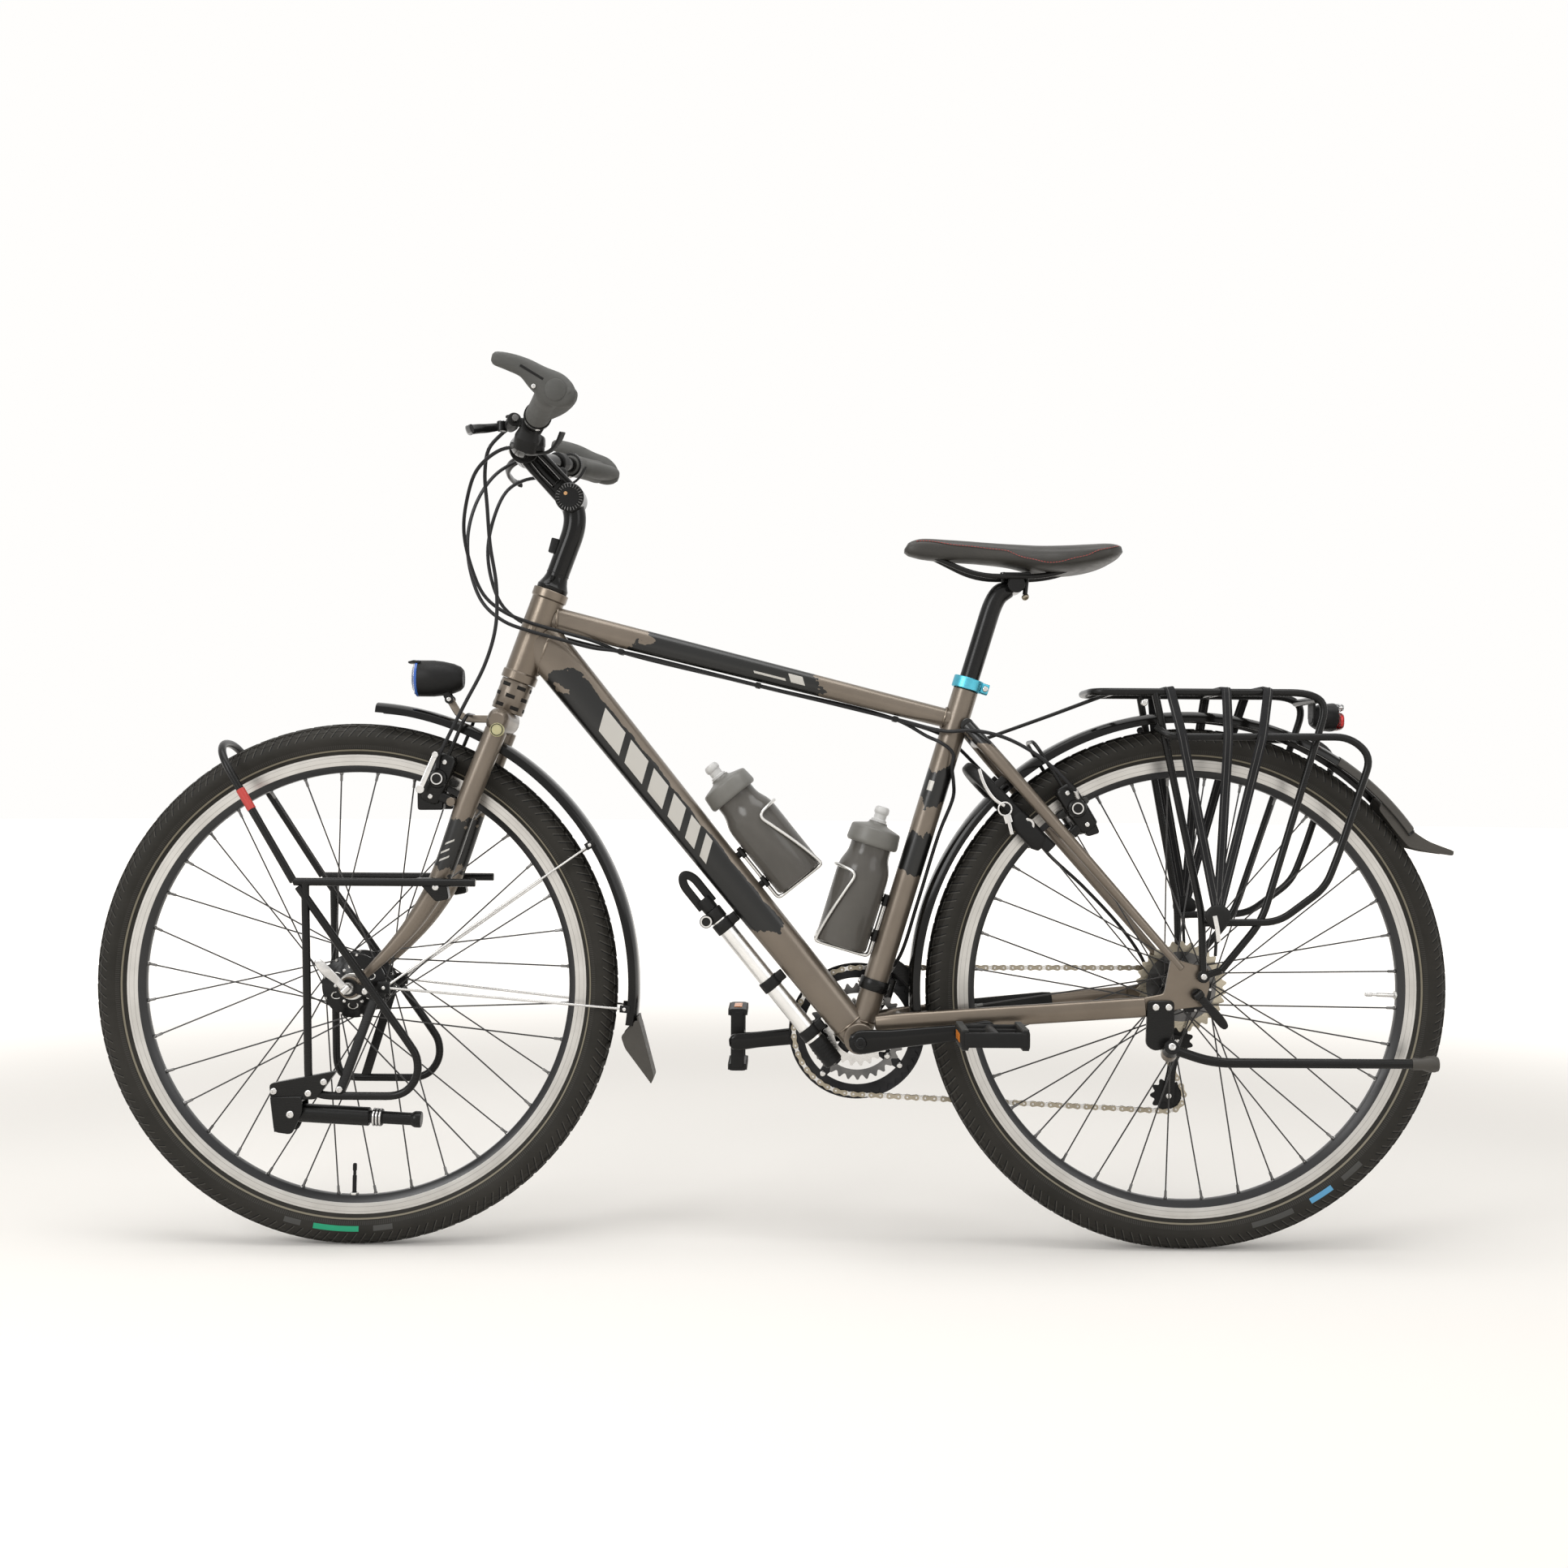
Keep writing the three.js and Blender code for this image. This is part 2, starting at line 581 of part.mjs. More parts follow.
// Saddle: a crowned pad with drawn-in sides, on two steel rails
const saddleLength = 294;
const saddleNoseHalf = 19;
const saddleRearHalf = 78;
const saddleDepth = 36;
const saddleAbovePost = 63;
const saddleForward = 152.5;
const saddleStationShares = [
  // place, half width, top, bottom, as shares of length, rear half width and depth
  [0.00, 0.13, 0.62, 0.46],
  [0.03, 0.21, 0.90, 0.32],
  [0.08, 0.25, 1.00, 0.22],
  [0.20, 0.28, 0.96, 0.12],
  [0.35, 0.34, 0.88, 0.05],
  [0.50, 0.48, 0.79, -0.08],
  [0.62, 0.70, 0.72, -0.34],
  [0.74, 0.90, 0.71, -0.42],
  [0.85, 1.00, 0.74, -0.26],
  [0.93, 0.96, 0.76, -0.03],
  [0.98, 0.78, 0.70, 0.18],
  [1.00, 0.55, 0.56, 0.32],
];
const railRadius = 3.5;
const railSpread = 22;
const saddleOutlineSteps = 14;

function saddle() {
  const nose = post.head.x - saddleForward;
  const level = post.head.z + saddleAbovePost;
  const section = Array.from({ length: saddleOutlineSteps }, (_, i) => {
    const turn = (i + 0.5) * 2 * Math.PI / saddleOutlineSteps;
    const [c, s] = [Math.cos(turn), Math.sin(turn)];
    const crown = s > 0 ? Math.sign(s) * Math.abs(s) ** 0.75 : -(Math.abs(s) ** 0.6);
    return [Math.sign(c) * Math.abs(c) ** 0.8, crown];
  });
  const stations = saddleStationShares.map(([place, half, top, bottom]) => {
    const middle = (top + bottom) / 2 * saddleDepth;
    return {
      at: vec(nose + place * saddleLength, 0, level - saddleDepth + middle),
      across: right, up: upward, wide: half * saddleRearHalf, tall: (top - bottom) / 2 * saddleDepth,
    };
  });
  const pad = skin(section, stations);
  const under = level - saddleDepth;
  const seatTop = post.head.z + postHeadRadius + gap + railRadius;
  const rails = bothSides.map((side) => tube([
    vec(nose + saddleLength * 0.12, side * railSpread * 0.3, under + saddleDepth * 0.35),
    vec(nose + saddleLength * 0.34, side * railSpread, seatTop),
    vec(nose + saddleLength * 0.66, side * railSpread, seatTop),
    vec(nose + saddleLength * 0.87, side * railSpread * 1.7, under + saddleDepth * 0.1),
  ], railRadius, thinSides, railRadius * 8));
  return join(pad, rails);
}

addPiece('saddle', saddle(), 'leather');

// Fork: steerer, ringed crown, two legs that curve forward, dropouts, brake bosses, lamp bracket
const steererRoom = 0.9;
const steererRadius = headBore - steererRoom;
const crownStackHeight = 44;
const crownRings = 3;
const crownRingRadius = 22.5;
const crownGrooveRadius = 19.5;
const crownWidth = 92;
const crownDepth = 30;
const crownHeight = 34;
const legTopSpread = 46;
const legTopRadius = 15;
const legFootRadius = 8.5;
const forkPlateThick = 6;
const forkPlateRadius = 15;
const frontDropoutInner = frontHubWidth / 2;
const frontDropoutMid = frontDropoutInner + forkPlateThick / 2;
const forkLegShares = [[0.544, 0.977], [0.435, 0.697], [0.344, 0.432], [0.265, 0.285], [0.169, 0.161],
  [0.03, 0.02]];
const frontBossShares = [0.379, 0.703];
const bossRadius = 6;
const bossLength = 14;

function forkLeg(side, grow = 0) {
  const count = forkLegShares.length - 1;
  const path = forkLegShares.map((share, i) => atFront(share, side * mix(legTopSpread, frontDropoutMid, i / count)));
  return taper(path, [legTopRadius + grow, legTopRadius + grow, legTopRadius * 0.9 + grow, legFootRadius + grow,
    forkPlateThick * 0.55 + grow], tubeSides);
}

function fork() {
  const top = forkLength - gap;
  const ringHeight = crownStackHeight / crownRings;
  const profile = [[0, 0]];
  for (let i = 0; i < crownRings; i += 1) {
    const foot = i * ringHeight;
    profile.push([crownGrooveRadius, foot], [crownRingRadius, foot + ringHeight * 0.3]);
    profile.push([crownRingRadius, foot + ringHeight * 0.75], [crownGrooveRadius, foot + ringHeight]);
  }
  profile.push([0, crownStackHeight]);
  const stack = turned(profile, frameSides, onSteer(top - crownStackHeight), steerUp);
  const steerer = rod(onSteer(top - overrun), onSteer(forkLength + headTubeLength - gap), steererRadius, frameSides);
  const crownMiddle = top - crownStackHeight - crownHeight / 2 + overrun;
  const crown = skin(ring(1, tubeSides), [
    { at: onSteer(crownMiddle, 0, -crownWidth / 2 - legTopRadius), across: steerAhead, up: steerUp,
      wide: crownDepth * 0.4, tall: crownHeight * 0.35 },
    { at: onSteer(crownMiddle, 0, -crownWidth / 2), across: steerAhead, up: steerUp,
      wide: crownDepth / 2, tall: crownHeight / 2 },
    { at: onSteer(crownMiddle + overrun, 0, 0), across: steerAhead, up: steerUp,
      wide: crownRingRadius, tall: crownHeight * 0.42 },
    { at: onSteer(crownMiddle, 0, crownWidth / 2), across: steerAhead, up: steerUp,
      wide: crownDepth / 2, tall: crownHeight / 2 },
    { at: onSteer(crownMiddle, 0, crownWidth / 2 + legTopRadius), across: steerAhead, up: steerUp,
      wide: crownDepth * 0.4, tall: crownHeight * 0.35 },
  ]);
  const legs = bothSides.map((side) => forkLeg(side));
  const plates = bothSides.map((side) => rod(frontAxle.clone().setY(side * frontDropoutInner),
    frontAxle.clone().setY(side * (frontDropoutInner + forkPlateThick)), forkPlateRadius));
  const bosses = bothSides.map((side) => rod(atFront(frontBossShares, side * legTopSpread),
    atFront(frontBossShares, side * (legTopSpread + bossLength)), bossRadius, thinSides));
  const hole = rod(frontAxle.clone().setY(-frontHubWidth), frontAxle.clone().setY(frontHubWidth), axleBore);
  const hubRoom = rod(frontAxle.clone().setY(-frontDropoutInner), frontAxle.clone().setY(frontDropoutInner),
    forkPlateRadius * 2, frameSides);
  return cut(join(stack, steerer, crown, legs, plates, bosses, lampBracket()), hole, hubRoom);
}

// The lamp bracket runs forward from the crown to the lamp's foot
const lampBracketShares = [[0.56, 1.02], [0.389, 1.022], [0.346, 1.095]];
const lampBracketWidth = 14;
const lampBracketThick = 3;

function lampBracket() {
  const hinge = atFront(lampBracketShares[2]);
  const strap = skin(block(lampBracketWidth, lampBracketThick),
    stationsAlong(bend(route(frontAxle, lampBracketShares, 0), lampBracketWidth)));
  const eye = rod(hinge.clone().setY(-lampBracketWidth / 2), hinge.clone().setY(lampBracketWidth / 2),
    lampBracketThick * 1.3);
  return join(strap, eye);
}

addPiece('fork', fork(), 'titanGrey');

// Stem: a cone on the head tube, a riser, a dial joint and a window-cut arm to the bar clamp
const stemConeHeight = 20;
const stemConeRadius = 21;
const stemRadius = 15.5;
const stemRise = 126.7;
const stemPathShares = [[0.122, 0.337], [0.270, 0.735], [0.208, 1.0]];
const dialRadius = 20;
const dialHalf = 24;
const armReach = 62;
const armRise = 66.4;
const armWidth = 38;
const armHeight = 36;
const armWindow = 14;
const barRadius = 15.9;
const barEndRadius = 11.1;
const clampWallBar = 5;
const clampHalf = 23;
const stemPlace = (share) => vec(headTop.x + share[0] * stemRise, 0, headTop.z + share[1] * stemRise);
const dial = stemPlace(stemPathShares[2]);
const barClamp = dial.clone().add(vec(-armReach, 0, armRise));

function stem() {
  const foot = forkLength + headTubeLength + gap;
  const cone = turned([[0, 0], [stemConeRadius, 0], [stemConeRadius, stemConeHeight * 0.3],
    [stemRadius, stemConeHeight], [0, stemConeHeight]], stemSides, onSteer(foot), steerUp);
  const riser = tube([onSteer(foot + overrun), stemPlace(stemPathShares[0]), stemPlace(stemPathShares[1]), dial],
    stemRadius, stemSides, stemRadius * 1.5);
  const dialBody = rod(dial.clone().setY(-dialHalf), dial.clone().setY(dialHalf), dialRadius, stemSides);
  const arm = beam(dial, barClamp, armHeight, armWidth, right);
  const window = beam(dial.clone().lerp(barClamp, 0.34), dial.clone().lerp(barClamp, 0.66), armWindow,
    armWidth * 2, right);
  const clamp = rod(barClamp.clone().setY(-clampHalf), barClamp.clone().setY(clampHalf), barRadius + clampWallBar,
    stemSides);
  const lampPlug = beam(stemPlace([0.10, 0.56]), stemPlace([0.0, 0.6]), armWindow, armWindow * 1.4, right);
  return cut(join(riser, cone, dialBody, cut(arm, window), clamp, lampPlug), handlebar(gap));
}

// Handlebar: a wide middle that tapers to the ends, swept back and up
const barHalfWidth = 305;
const barSweep = 71;
const barRiseEnd = 21;
const barPlaceShares = [[0.148, 0, 0], [0.33, 0.2, 0.19], [0.59, 0.535, 0.57], [0.985, 0.98, 0.98]];
const barPoint = (share, side) => barClamp.clone().add(
  vec(share[1] * barSweep, side * share[0] * barHalfWidth, share[2] * barRiseEnd));

function handlebar(grow = 0) {
  const places = barPlaceShares.map(([out, back, rise], i) =>
    [out + (i === barPlaceShares.length - 1 ? grow / barHalfWidth : 0), back, rise]);
  const path = [
    ...places.map((share) => barPoint(share, -1)).reverse(),
    ...places.map((share) => barPoint(share, 1)),
  ];
  const radii = [barEndRadius, barEndRadius, barEndRadius, barRadius, barRadius, barEndRadius, barEndRadius,
    barEndRadius].map((radius) => radius + grow);
  return taper(path, radii, frameSides);
}

addPiece('stem', stem(), 'black');
addPiece('handlebar', handlebar(), 'black');
const alongBar = (share, side) => {
  const places = barPlaceShares;
  const place = places.findIndex((entry) => entry[0] >= share);
  const before = places[place - 1];
  const after = places[place];
  const k = (share - before[0]) / (after[0] - before[0]);
  return barPoint([share, mix(before[1], after[1], k), mix(before[2], after[2], k)], side);
};

// Grips: a rubber sleeve with a palm wing behind the bar and a horn that points up and ahead
const gripStartShare = 0.60;
const gripRadius = 16;
const wingReach = 40;
const hornRise = 42;
const hornReach = 64;
const hornRadius = 12;

function grip(side) {
  const start = alongBar(gripStartShare, side);
  const end = barPoint([1, 1, 1], side);
  const middle = start.clone().lerp(end, 0.5);
  const sleeve = taper([start, middle, end], [gripRadius, gripRadius, gripRadius * 1.05], tubeSides);
  const wingSection = ring(1, tubeSides);
  const wingAt = (share, reach, tall) => {
    const at = start.clone().lerp(end, share).add(vec(reach * 0.42, 0, -reach * 0.05));
    return { at, across: vec(1, 0, -0.12).normalize(), up: vec(0.12, 0, 1).normalize(), wide: reach * 0.62, tall };
  };
  const wing = skin(wingSection, [
    wingAt(0.3, wingReach * 0.5, gripRadius * 0.7), wingAt(0.75, wingReach * 0.95, gripRadius * 0.75),
    wingAt(0.99, wingReach * 0.96, gripRadius * 0.7),
  ]);
  const root = end.clone().add(vec(0, -side * hornRadius, 0));
  const horn = taper([
    root.clone().add(vec(hornRadius * 0.4, 0, -hornRadius * 0.5)),
    root.clone().add(vec(-hornReach * 0.22, 0, hornRise * 0.5)),
    root.clone().add(vec(-hornReach * 0.55, 0, hornRise * 0.8)),
    root.clone().add(vec(-hornReach, 0, hornRise)),
  ], [hornRadius, hornRadius, hornRadius * 0.95, hornRadius * 0.6], tubeSides);
  return cut(join(sleeve, wing, horn), handlebar(gap));
}

addPiece('grip_left', grip(-1), 'gripRubber');
addPiece('grip_right', grip(1), 'gripRubber');

// Lever bodies: the brake's master cylinder and the shifter, clamped to the bar
const leverClampShare = 0.47;
const leverClampHalf = 9;
const leverClampWall = 4;
const masterLength = 62;
const masterRadius = 9;
const masterAhead = 27;
const masterAbove = 6;
const shifterBelow = 22;
const shifterBehind = 2;
const shifterRadius = 17;
const shifterThick = 16;
const leverPivotShare = 0.42;

function leverPlaces(side) {
  const clampAt = alongBar(leverClampShare, side);
  const barLine = alongBar(leverClampShare + 0.04, side).sub(clampAt).normalize();
  const pivot = clampAt.clone().addScaledVector(barLine, -masterLength * leverPivotShare)
    .add(vec(-masterAhead, 0, masterAbove));
  const shifter = clampAt.clone().addScaledVector(barLine, -masterLength * 0.28).add(vec(shifterBehind, 0, -shifterBelow));
  return { clampAt, barLine, pivot, shifter };
}

function leverBody(side) {
  const { clampAt, barLine, pivot, shifter } = leverPlaces(side);
  const shift = (along) => clampAt.clone().addScaledVector(barLine, along);
  const collar = rod(shift(-leverClampHalf), shift(leverClampHalf), barEndRadius + leverClampWall, tubeSides);
  const bore = handlebar(gap);
  const ahead = vec(-masterAhead * 0.9, 0, masterAbove);
  const master = taper([shift(-masterLength * 0.5).add(ahead), shift(-masterLength * 0.1).add(ahead),
    shift(masterLength * 0.12).add(ahead)], [masterRadius * 0.75, masterRadius, masterRadius * 0.8]);
  const neck = beam(shift(0), shift(0).add(ahead), leverClampHalf * 1.6, masterRadius * 1.3);
  const pod = rod(shifter.clone().add(vec(0, 0, -shifterThick / 2)), shifter.clone().add(vec(0, 0, shifterThick / 2)),
    shifterRadius, tubeSides);
  const podNeck = beam(shift(-masterLength * 0.2), shifter, leverClampHalf * 1.4, shifterThick * 0.8, right);
  const room = leverRoom(side, pivot);
  return cut(join(collar, master, neck, pod, podNeck), bore, room);
}

// The blade's eye turns in a slot in front of the master cylinder
const bladeEye = 6.5;
const bladeThick = 5;
const bladeReachShares = [[0.00, 0.00, 0], [0.30, 0.26, 0.30], [0.38, 0.62, 0.62], [0.34, 0.98, 0.80], [0.25, 1.18, 0.86]];
const bladeLength = 88;
const bladeDrop = 26;
const bladePoint = (pivot, side, share, grow = 0) => pivot.clone().add(vec(
  -bladeEye * 1.4 - share[0] * bladeLength - grow, side * share[1] * bladeLength, -share[2] * bladeDrop));

function leverRoom(side, pivot) {
  const eye = pivot.clone().add(vec(-bladeEye * 1.4, 0, 0));
  return rod(eye.clone().add(vec(0, 0, -bladeEye * 2)), eye.clone().add(vec(0, 0, bladeEye * 2)),
    bladeEye + runningGap * 0.4, tubeSides);
}

function brakeLever(side) {
  const { pivot } = leverPlaces(side);
  const path = bladeReachShares.map((share) => bladePoint(pivot, side, share));
  const blade = taper(path, [bladeThick, bladeThick * 0.8, bladeThick, bladeThick, bladeThick * 1.1], tubeSides);
  const eyeAt = path[0];
  const eye = rod(eyeAt.clone().add(vec(0, 0, -bladeEye)), eyeAt.clone().add(vec(0, 0, bladeEye)), bladeEye, tubeSides);
  return join(blade, eye);
}

// The thumb lever sits under the shifter and turns about its middle
const thumbThick = 3.2;
const thumbReach = 42;
const thumbRise = 26;

function thumbLever(side) {
  const { shifter } = leverPlaces(side);
  const hubAt = shifter.clone().add(vec(0, 0, -shifterThick / 2 - gap - thumbThick / 2));
  const hub = rod(hubAt.clone().add(vec(0, 0, -thumbThick / 2)), hubAt.clone().add(vec(0, 0, thumbThick / 2)),
    shifterRadius * 0.55, tubeSides);
  const paddle = skin(block(1, 1), stationsAlong([
    hubAt.clone(), hubAt.clone().add(vec(thumbReach * 0.55, side * thumbReach * 0.1, 0)),
    hubAt.clone().add(vec(thumbReach * 0.85, side * thumbReach * 0.2, thumbRise * 0.45)),
    hubAt.clone().add(vec(thumbReach, side * thumbReach * 0.3, thumbRise)),
  ]).map((station, i) => ({ ...station, wide: thumbThick * (2.2 + i * 0.5), tall: thumbThick })));
  return join(hub, paddle);
}

for (const side of bothSides) {
  const hand = side < 0 ? 'left' : 'right';
  addPiece(`lever_body_${hand}`, leverBody(side), 'plastic');
  addPiece(`brake_lever_${hand}`, brakeLever(side), 'black');
  addPiece(`shift_lever_${hand}`, thumbLever(side), 'plastic');
}

// Mudguards: curved blades over the tyres, with a flap and wire stays
const guardHalfWidth = 28;
const guardWall = 1.8;
const guardSkirt = 14;
const frontGuardRadius = 388;
const rearGuardRadius = 381;
const guardSteps = 13;
const frontGuardTurns = [-8 * degree, 86 * degree];
const rearGuardTurns = [35.4 * degree, 187.7 * degree];

function guardOutline() {
  const [half, wall, skirt] = [guardHalfWidth, guardWall, guardSkirt];
  return [
    [-half, -skirt], [-half * 0.9, -skirt * 0.3], [-half * 0.45, 0], [half * 0.45, 0], [half * 0.9, -skirt * 0.3],
    [half, -skirt], [half - wall, -skirt], [half * 0.9 - wall, -skirt * 0.3 - wall / 2], [half * 0.45 - wall / 2, -wall],
    [-half * 0.45 + wall / 2, -wall], [-half * 0.9 + wall, -skirt * 0.3 - wall / 2], [-half + wall, -skirt],
  ];
}

function guardBlade(axle, radius, [from, to]) {
  const stations = Array.from({ length: guardSteps + 1 }, (_, i) => {
    const turn = mix(from, to, i / guardSteps);
    const out = vec(Math.cos(turn), 0, Math.sin(turn));
    return { at: axle.clone().addScaledVector(out, radius), across: right, up: out };
  });
  return skin(guardOutline(), stations);
}

const flapThick = 2.4;
const frontFlapShares = [[1.066, -0.095], [1.050, -0.145], [1.105, -0.388], [1.141, -0.382], [1.080, -0.10]];
const rearFlapShares = [[0.860, 0.618], [0.894, 0.587], [1.043, 0.531], [1.035, 0.509], [0.957, 0.518], [0.855, 0.560]];
const flapHalf = 24;
const stayRadius = 1.7;
const stayBlockShares = [0.133, 0.002];
const stayClampShares = [[0.902, 0.545], [1.039, -0.085]];
const stayBlockOuter = 66;
const stayBlockSize = 16;
const guardTab = 12;
const stayFootY = frontDropoutInner + forkPlateThick + gap;

function frontMudguard() {
  const blade = guardBlade(frontAxle, frontGuardRadius, frontGuardTurns);
  const flap = plate(frontFlapShares.map((share) => atFront(share)), -flapHalf, flapHalf);
  const stays = bothSides.flatMap((side) => {
    const foot = atFront(stayBlockShares, side * (stayFootY + stayBlockSize / 4));
    const wires = stayClampShares.map((share) =>
      rod(foot, atFront(share, side * (guardHalfWidth - guardWall / 2)), stayRadius, thinSides));
    return [boxAt(foot, vec(stayBlockSize, stayBlockSize / 2, stayBlockSize)), ...wires];
  });
  return cut(join(blade, flap, stays), bothSides.map((side) => forkLeg(side, gap)));
}

function rearMudguard() {
  const blade = guardBlade(rearAxle, rearGuardRadius, rearGuardTurns);
  const flap = plate(rearFlapShares.map((share) => atRear(share)), -flapHalf, flapHalf);
  return join(blade, flap);
}

addPiece('front_mudguard', frontMudguard(), 'plastic');
addPiece('rear_mudguard', rearMudguard(), 'plastic');

// Front low rack: a rail, a bent frame and a hoop over the tyre, with the front stand's bracket
const lowTube = 5.4;
const lowSides = 5;
const lowSpread = 80;
const lowRailShares = [[-0.195, 0.402], [0.484, 0.402]];
const lowLoopShares = [[-0.178, 0.384], [0.236, -0.195], [0.273, -0.251], [0.273, -0.330], [0.216, -0.397],
  [-0.097, -0.397], [-0.135, -0.358], [-0.152, 0.402]];
const lowHoopShares = [[-0.195, 0.402], [-0.480, 0.860], [-0.510, 0.920]];
const lowHoopSpreadShares = [1, 0.75, 0.35];
const lowStrutShares = [[0.02, 0.0], [0.101, -0.028], [-0.021, -0.392]];
const lowPlateShares = [[0.255, 0.418], [0.37, 0.418], [0.385, 0.34], [0.335, 0.33]];
const lowPlateThick = 4;
const standPlateShares = [[-0.277, -0.351], [-0.025, -0.301], [-0.103, -0.408], [-0.271, -0.412]];
const standHousingShares = [[-0.271, -0.40], [-0.153, -0.396], [-0.150, -0.492], [-0.189, -0.538], [-0.255, -0.529]];
const standPlateBoltShares = [[-0.259, -0.378], [-0.073, -0.342], [-0.131, -0.385]];
const housingInner = 55;
const housingOuter = 91;

function frontRack() {
  const sides = bothSides.flatMap((side) => {
    const y = side * lowSpread;
    const rail = tube(route(frontAxle, lowRailShares, y), lowTube, lowSides);
    const loop = tube(route(frontAxle, lowLoopShares, y), lowTube, lowSides, lowTube * 4);
    const strutFoot = side * (frontDropoutInner + forkPlateThick + lowPlateThick / 2 + gap);
    const strut = skin(block(lowPlateThick, lowTube * 2.4), stationsAlong([
      atFront(lowStrutShares[0], strutFoot), atFront(lowStrutShares[1], strutFoot),
      atFront(lowStrutShares[2], y)], forward));
    const eye = rod(frontAxle.clone().setY(strutFoot - side * lowPlateThick / 2),
      frontAxle.clone().setY(strutFoot + side * lowPlateThick / 2), forkPlateRadius * 0.8);
    const plateInner = side * (legTopSpread + legTopRadius + gap);
    const bracketPlate = plate(lowPlateShares.map((share) => atFront(share)), plateInner, y);
    return [rail, loop, strut, eye, cut(bracketPlate, forkLeg(side, gap))];
  });
  const half = lowHoopShares.map((share, i) => atFront(share, -lowSpread * lowHoopSpreadShares[i]));
  const hoop = tube([...half, ...mirrored(half).reverse()], lowTube, lowSides, lowTube * 6);
  const standPlate = plate(standPlateShares.map((share) => atFront(share)), -lowSpread + lowTube,
    -lowSpread - lowTube - lowPlateThick / 2);
  const housing = plate(standHousingShares.map((share) => atFront(share)), -housingInner, -housingOuter);
  const bolts = standPlateBoltShares.map((share) => rod(atFront(share, -lowSpread),
    atFront(share, -housingOuter - boltHead / 2), boltRadius, thinSides));
  const hole = rod(frontAxle.clone().setY(-frontHubWidth), frontAxle.clone().setY(frontHubWidth), axleBore);
  return cut(join(sides, hoop, standPlate, housing, bolts), hole, frontStandRoom(), stayBlockRoom());
}

const stayBlockRoom = () => bothSides.map((side) => boxAt(
  atFront(stayBlockShares, side * (stayFootY + stayBlockSize / 4)),
  vec(stayBlockSize + gap * 2, stayBlockSize / 2 + gap * 2, stayBlockSize + gap * 2)));

// Front stand: a telescopic leg that folds up under the low rack
const frontStandPivotShares = [-0.195, -0.462];
const frontStandLength = 172;
const frontStandRadius = 12.5;
const frontStandRodRadius = 8.5;
const frontStandFootRadius = 11;
const frontStandY = -(housingInner + housingOuter) / 2;
const frontStandPivot = atFront(frontStandPivotShares, frontStandY);
const frontStandSag = 3 * degree;
const frontStandPin = 4;

function frontStandRoom() {
  const half = frontStandRadius + runningGap;
  const swing = frontStandPivot.clone();
  const slot = boxAt(swing.clone().add(vec(half * 2, 0, 0)), vec(half * 6, half * 2, half * 2.6));
  const pinRoom = rod(swing.clone().setY(-housingOuter - overrun), swing.clone().setY(-housingInner + overrun),
    boreFor(frontStandPin, tubeSides));
  return join(slot, pinRoom, rod(swing.clone().setY(frontStandY - half), swing.clone().setY(frontStandY + half),
    half * 1.3, frameSides), boxAt(swing.clone().add(vec(0, 0, -half * 2)), vec(half * 2.6, half * 2, half * 4)));
}

function frontStandLeg() {
  const direction = vec(Math.cos(frontStandSag), 0, -Math.sin(frontStandSag));
  const at = (share) => frontStandPivot.clone().addScaledVector(direction, frontStandLength * share);
  const body = rod(at(-0.02), at(0.6), frontStandRadius, tubeSides);
  const collar = rod(at(0.62), at(0.7), frontStandRadius * 0.92, tubeSides);
  const inner = rod(at(0.55), at(0.93), frontStandRodRadius, tubeSides);
  const foot = taper([at(0.9), at(0.95), at(1)], [frontStandRodRadius * 0.7, frontStandFootRadius,
    frontStandFootRadius], tubeSides);
  const pin = rod(frontStandPivot.clone().setY(-housingOuter), frontStandPivot.clone().setY(-housingInner), frontStandPin);
  return join(body, collar, inner, foot, pin);
}

addPiece('front_rack', frontRack(), 'black');
addPiece('front_stand_leg', frontStandLeg(), 'black');

// Rim brakes: a cylinder each side that faces the rim, joined over the tyre
const padGap = 2.5;
const brakeCylinderRadius = 13;
const brakeInner = rimHalfWidth + padGap;
const brakeOuter = 60;
const brakePad = { length: 46, height: 10, thick: 9 };
const frontBrakeShares = [0.326, 0.79];
const frontBrakeBoxShares = [[0.247, 0.745], [0.345, 0.749], [0.346, 0.672], [0.248, 0.671]];
const rearBrakeShares = [-0.442, 0.693];
const rearBossShares = [-0.457, 0.594];
const rearBrakeBoxShares = [[-0.433, 0.66], [-0.39, 0.69], [-0.352, 0.60], [-0.40, 0.585]];
const brakeHoseRadius = 2.6;
const brakeBodyWidth = 31;
const brakeBodyReach = 35;
const brakeLinkWidth = 14;
const brakeArchRadius = frontGuardRadius + brakeHoseRadius * 5;

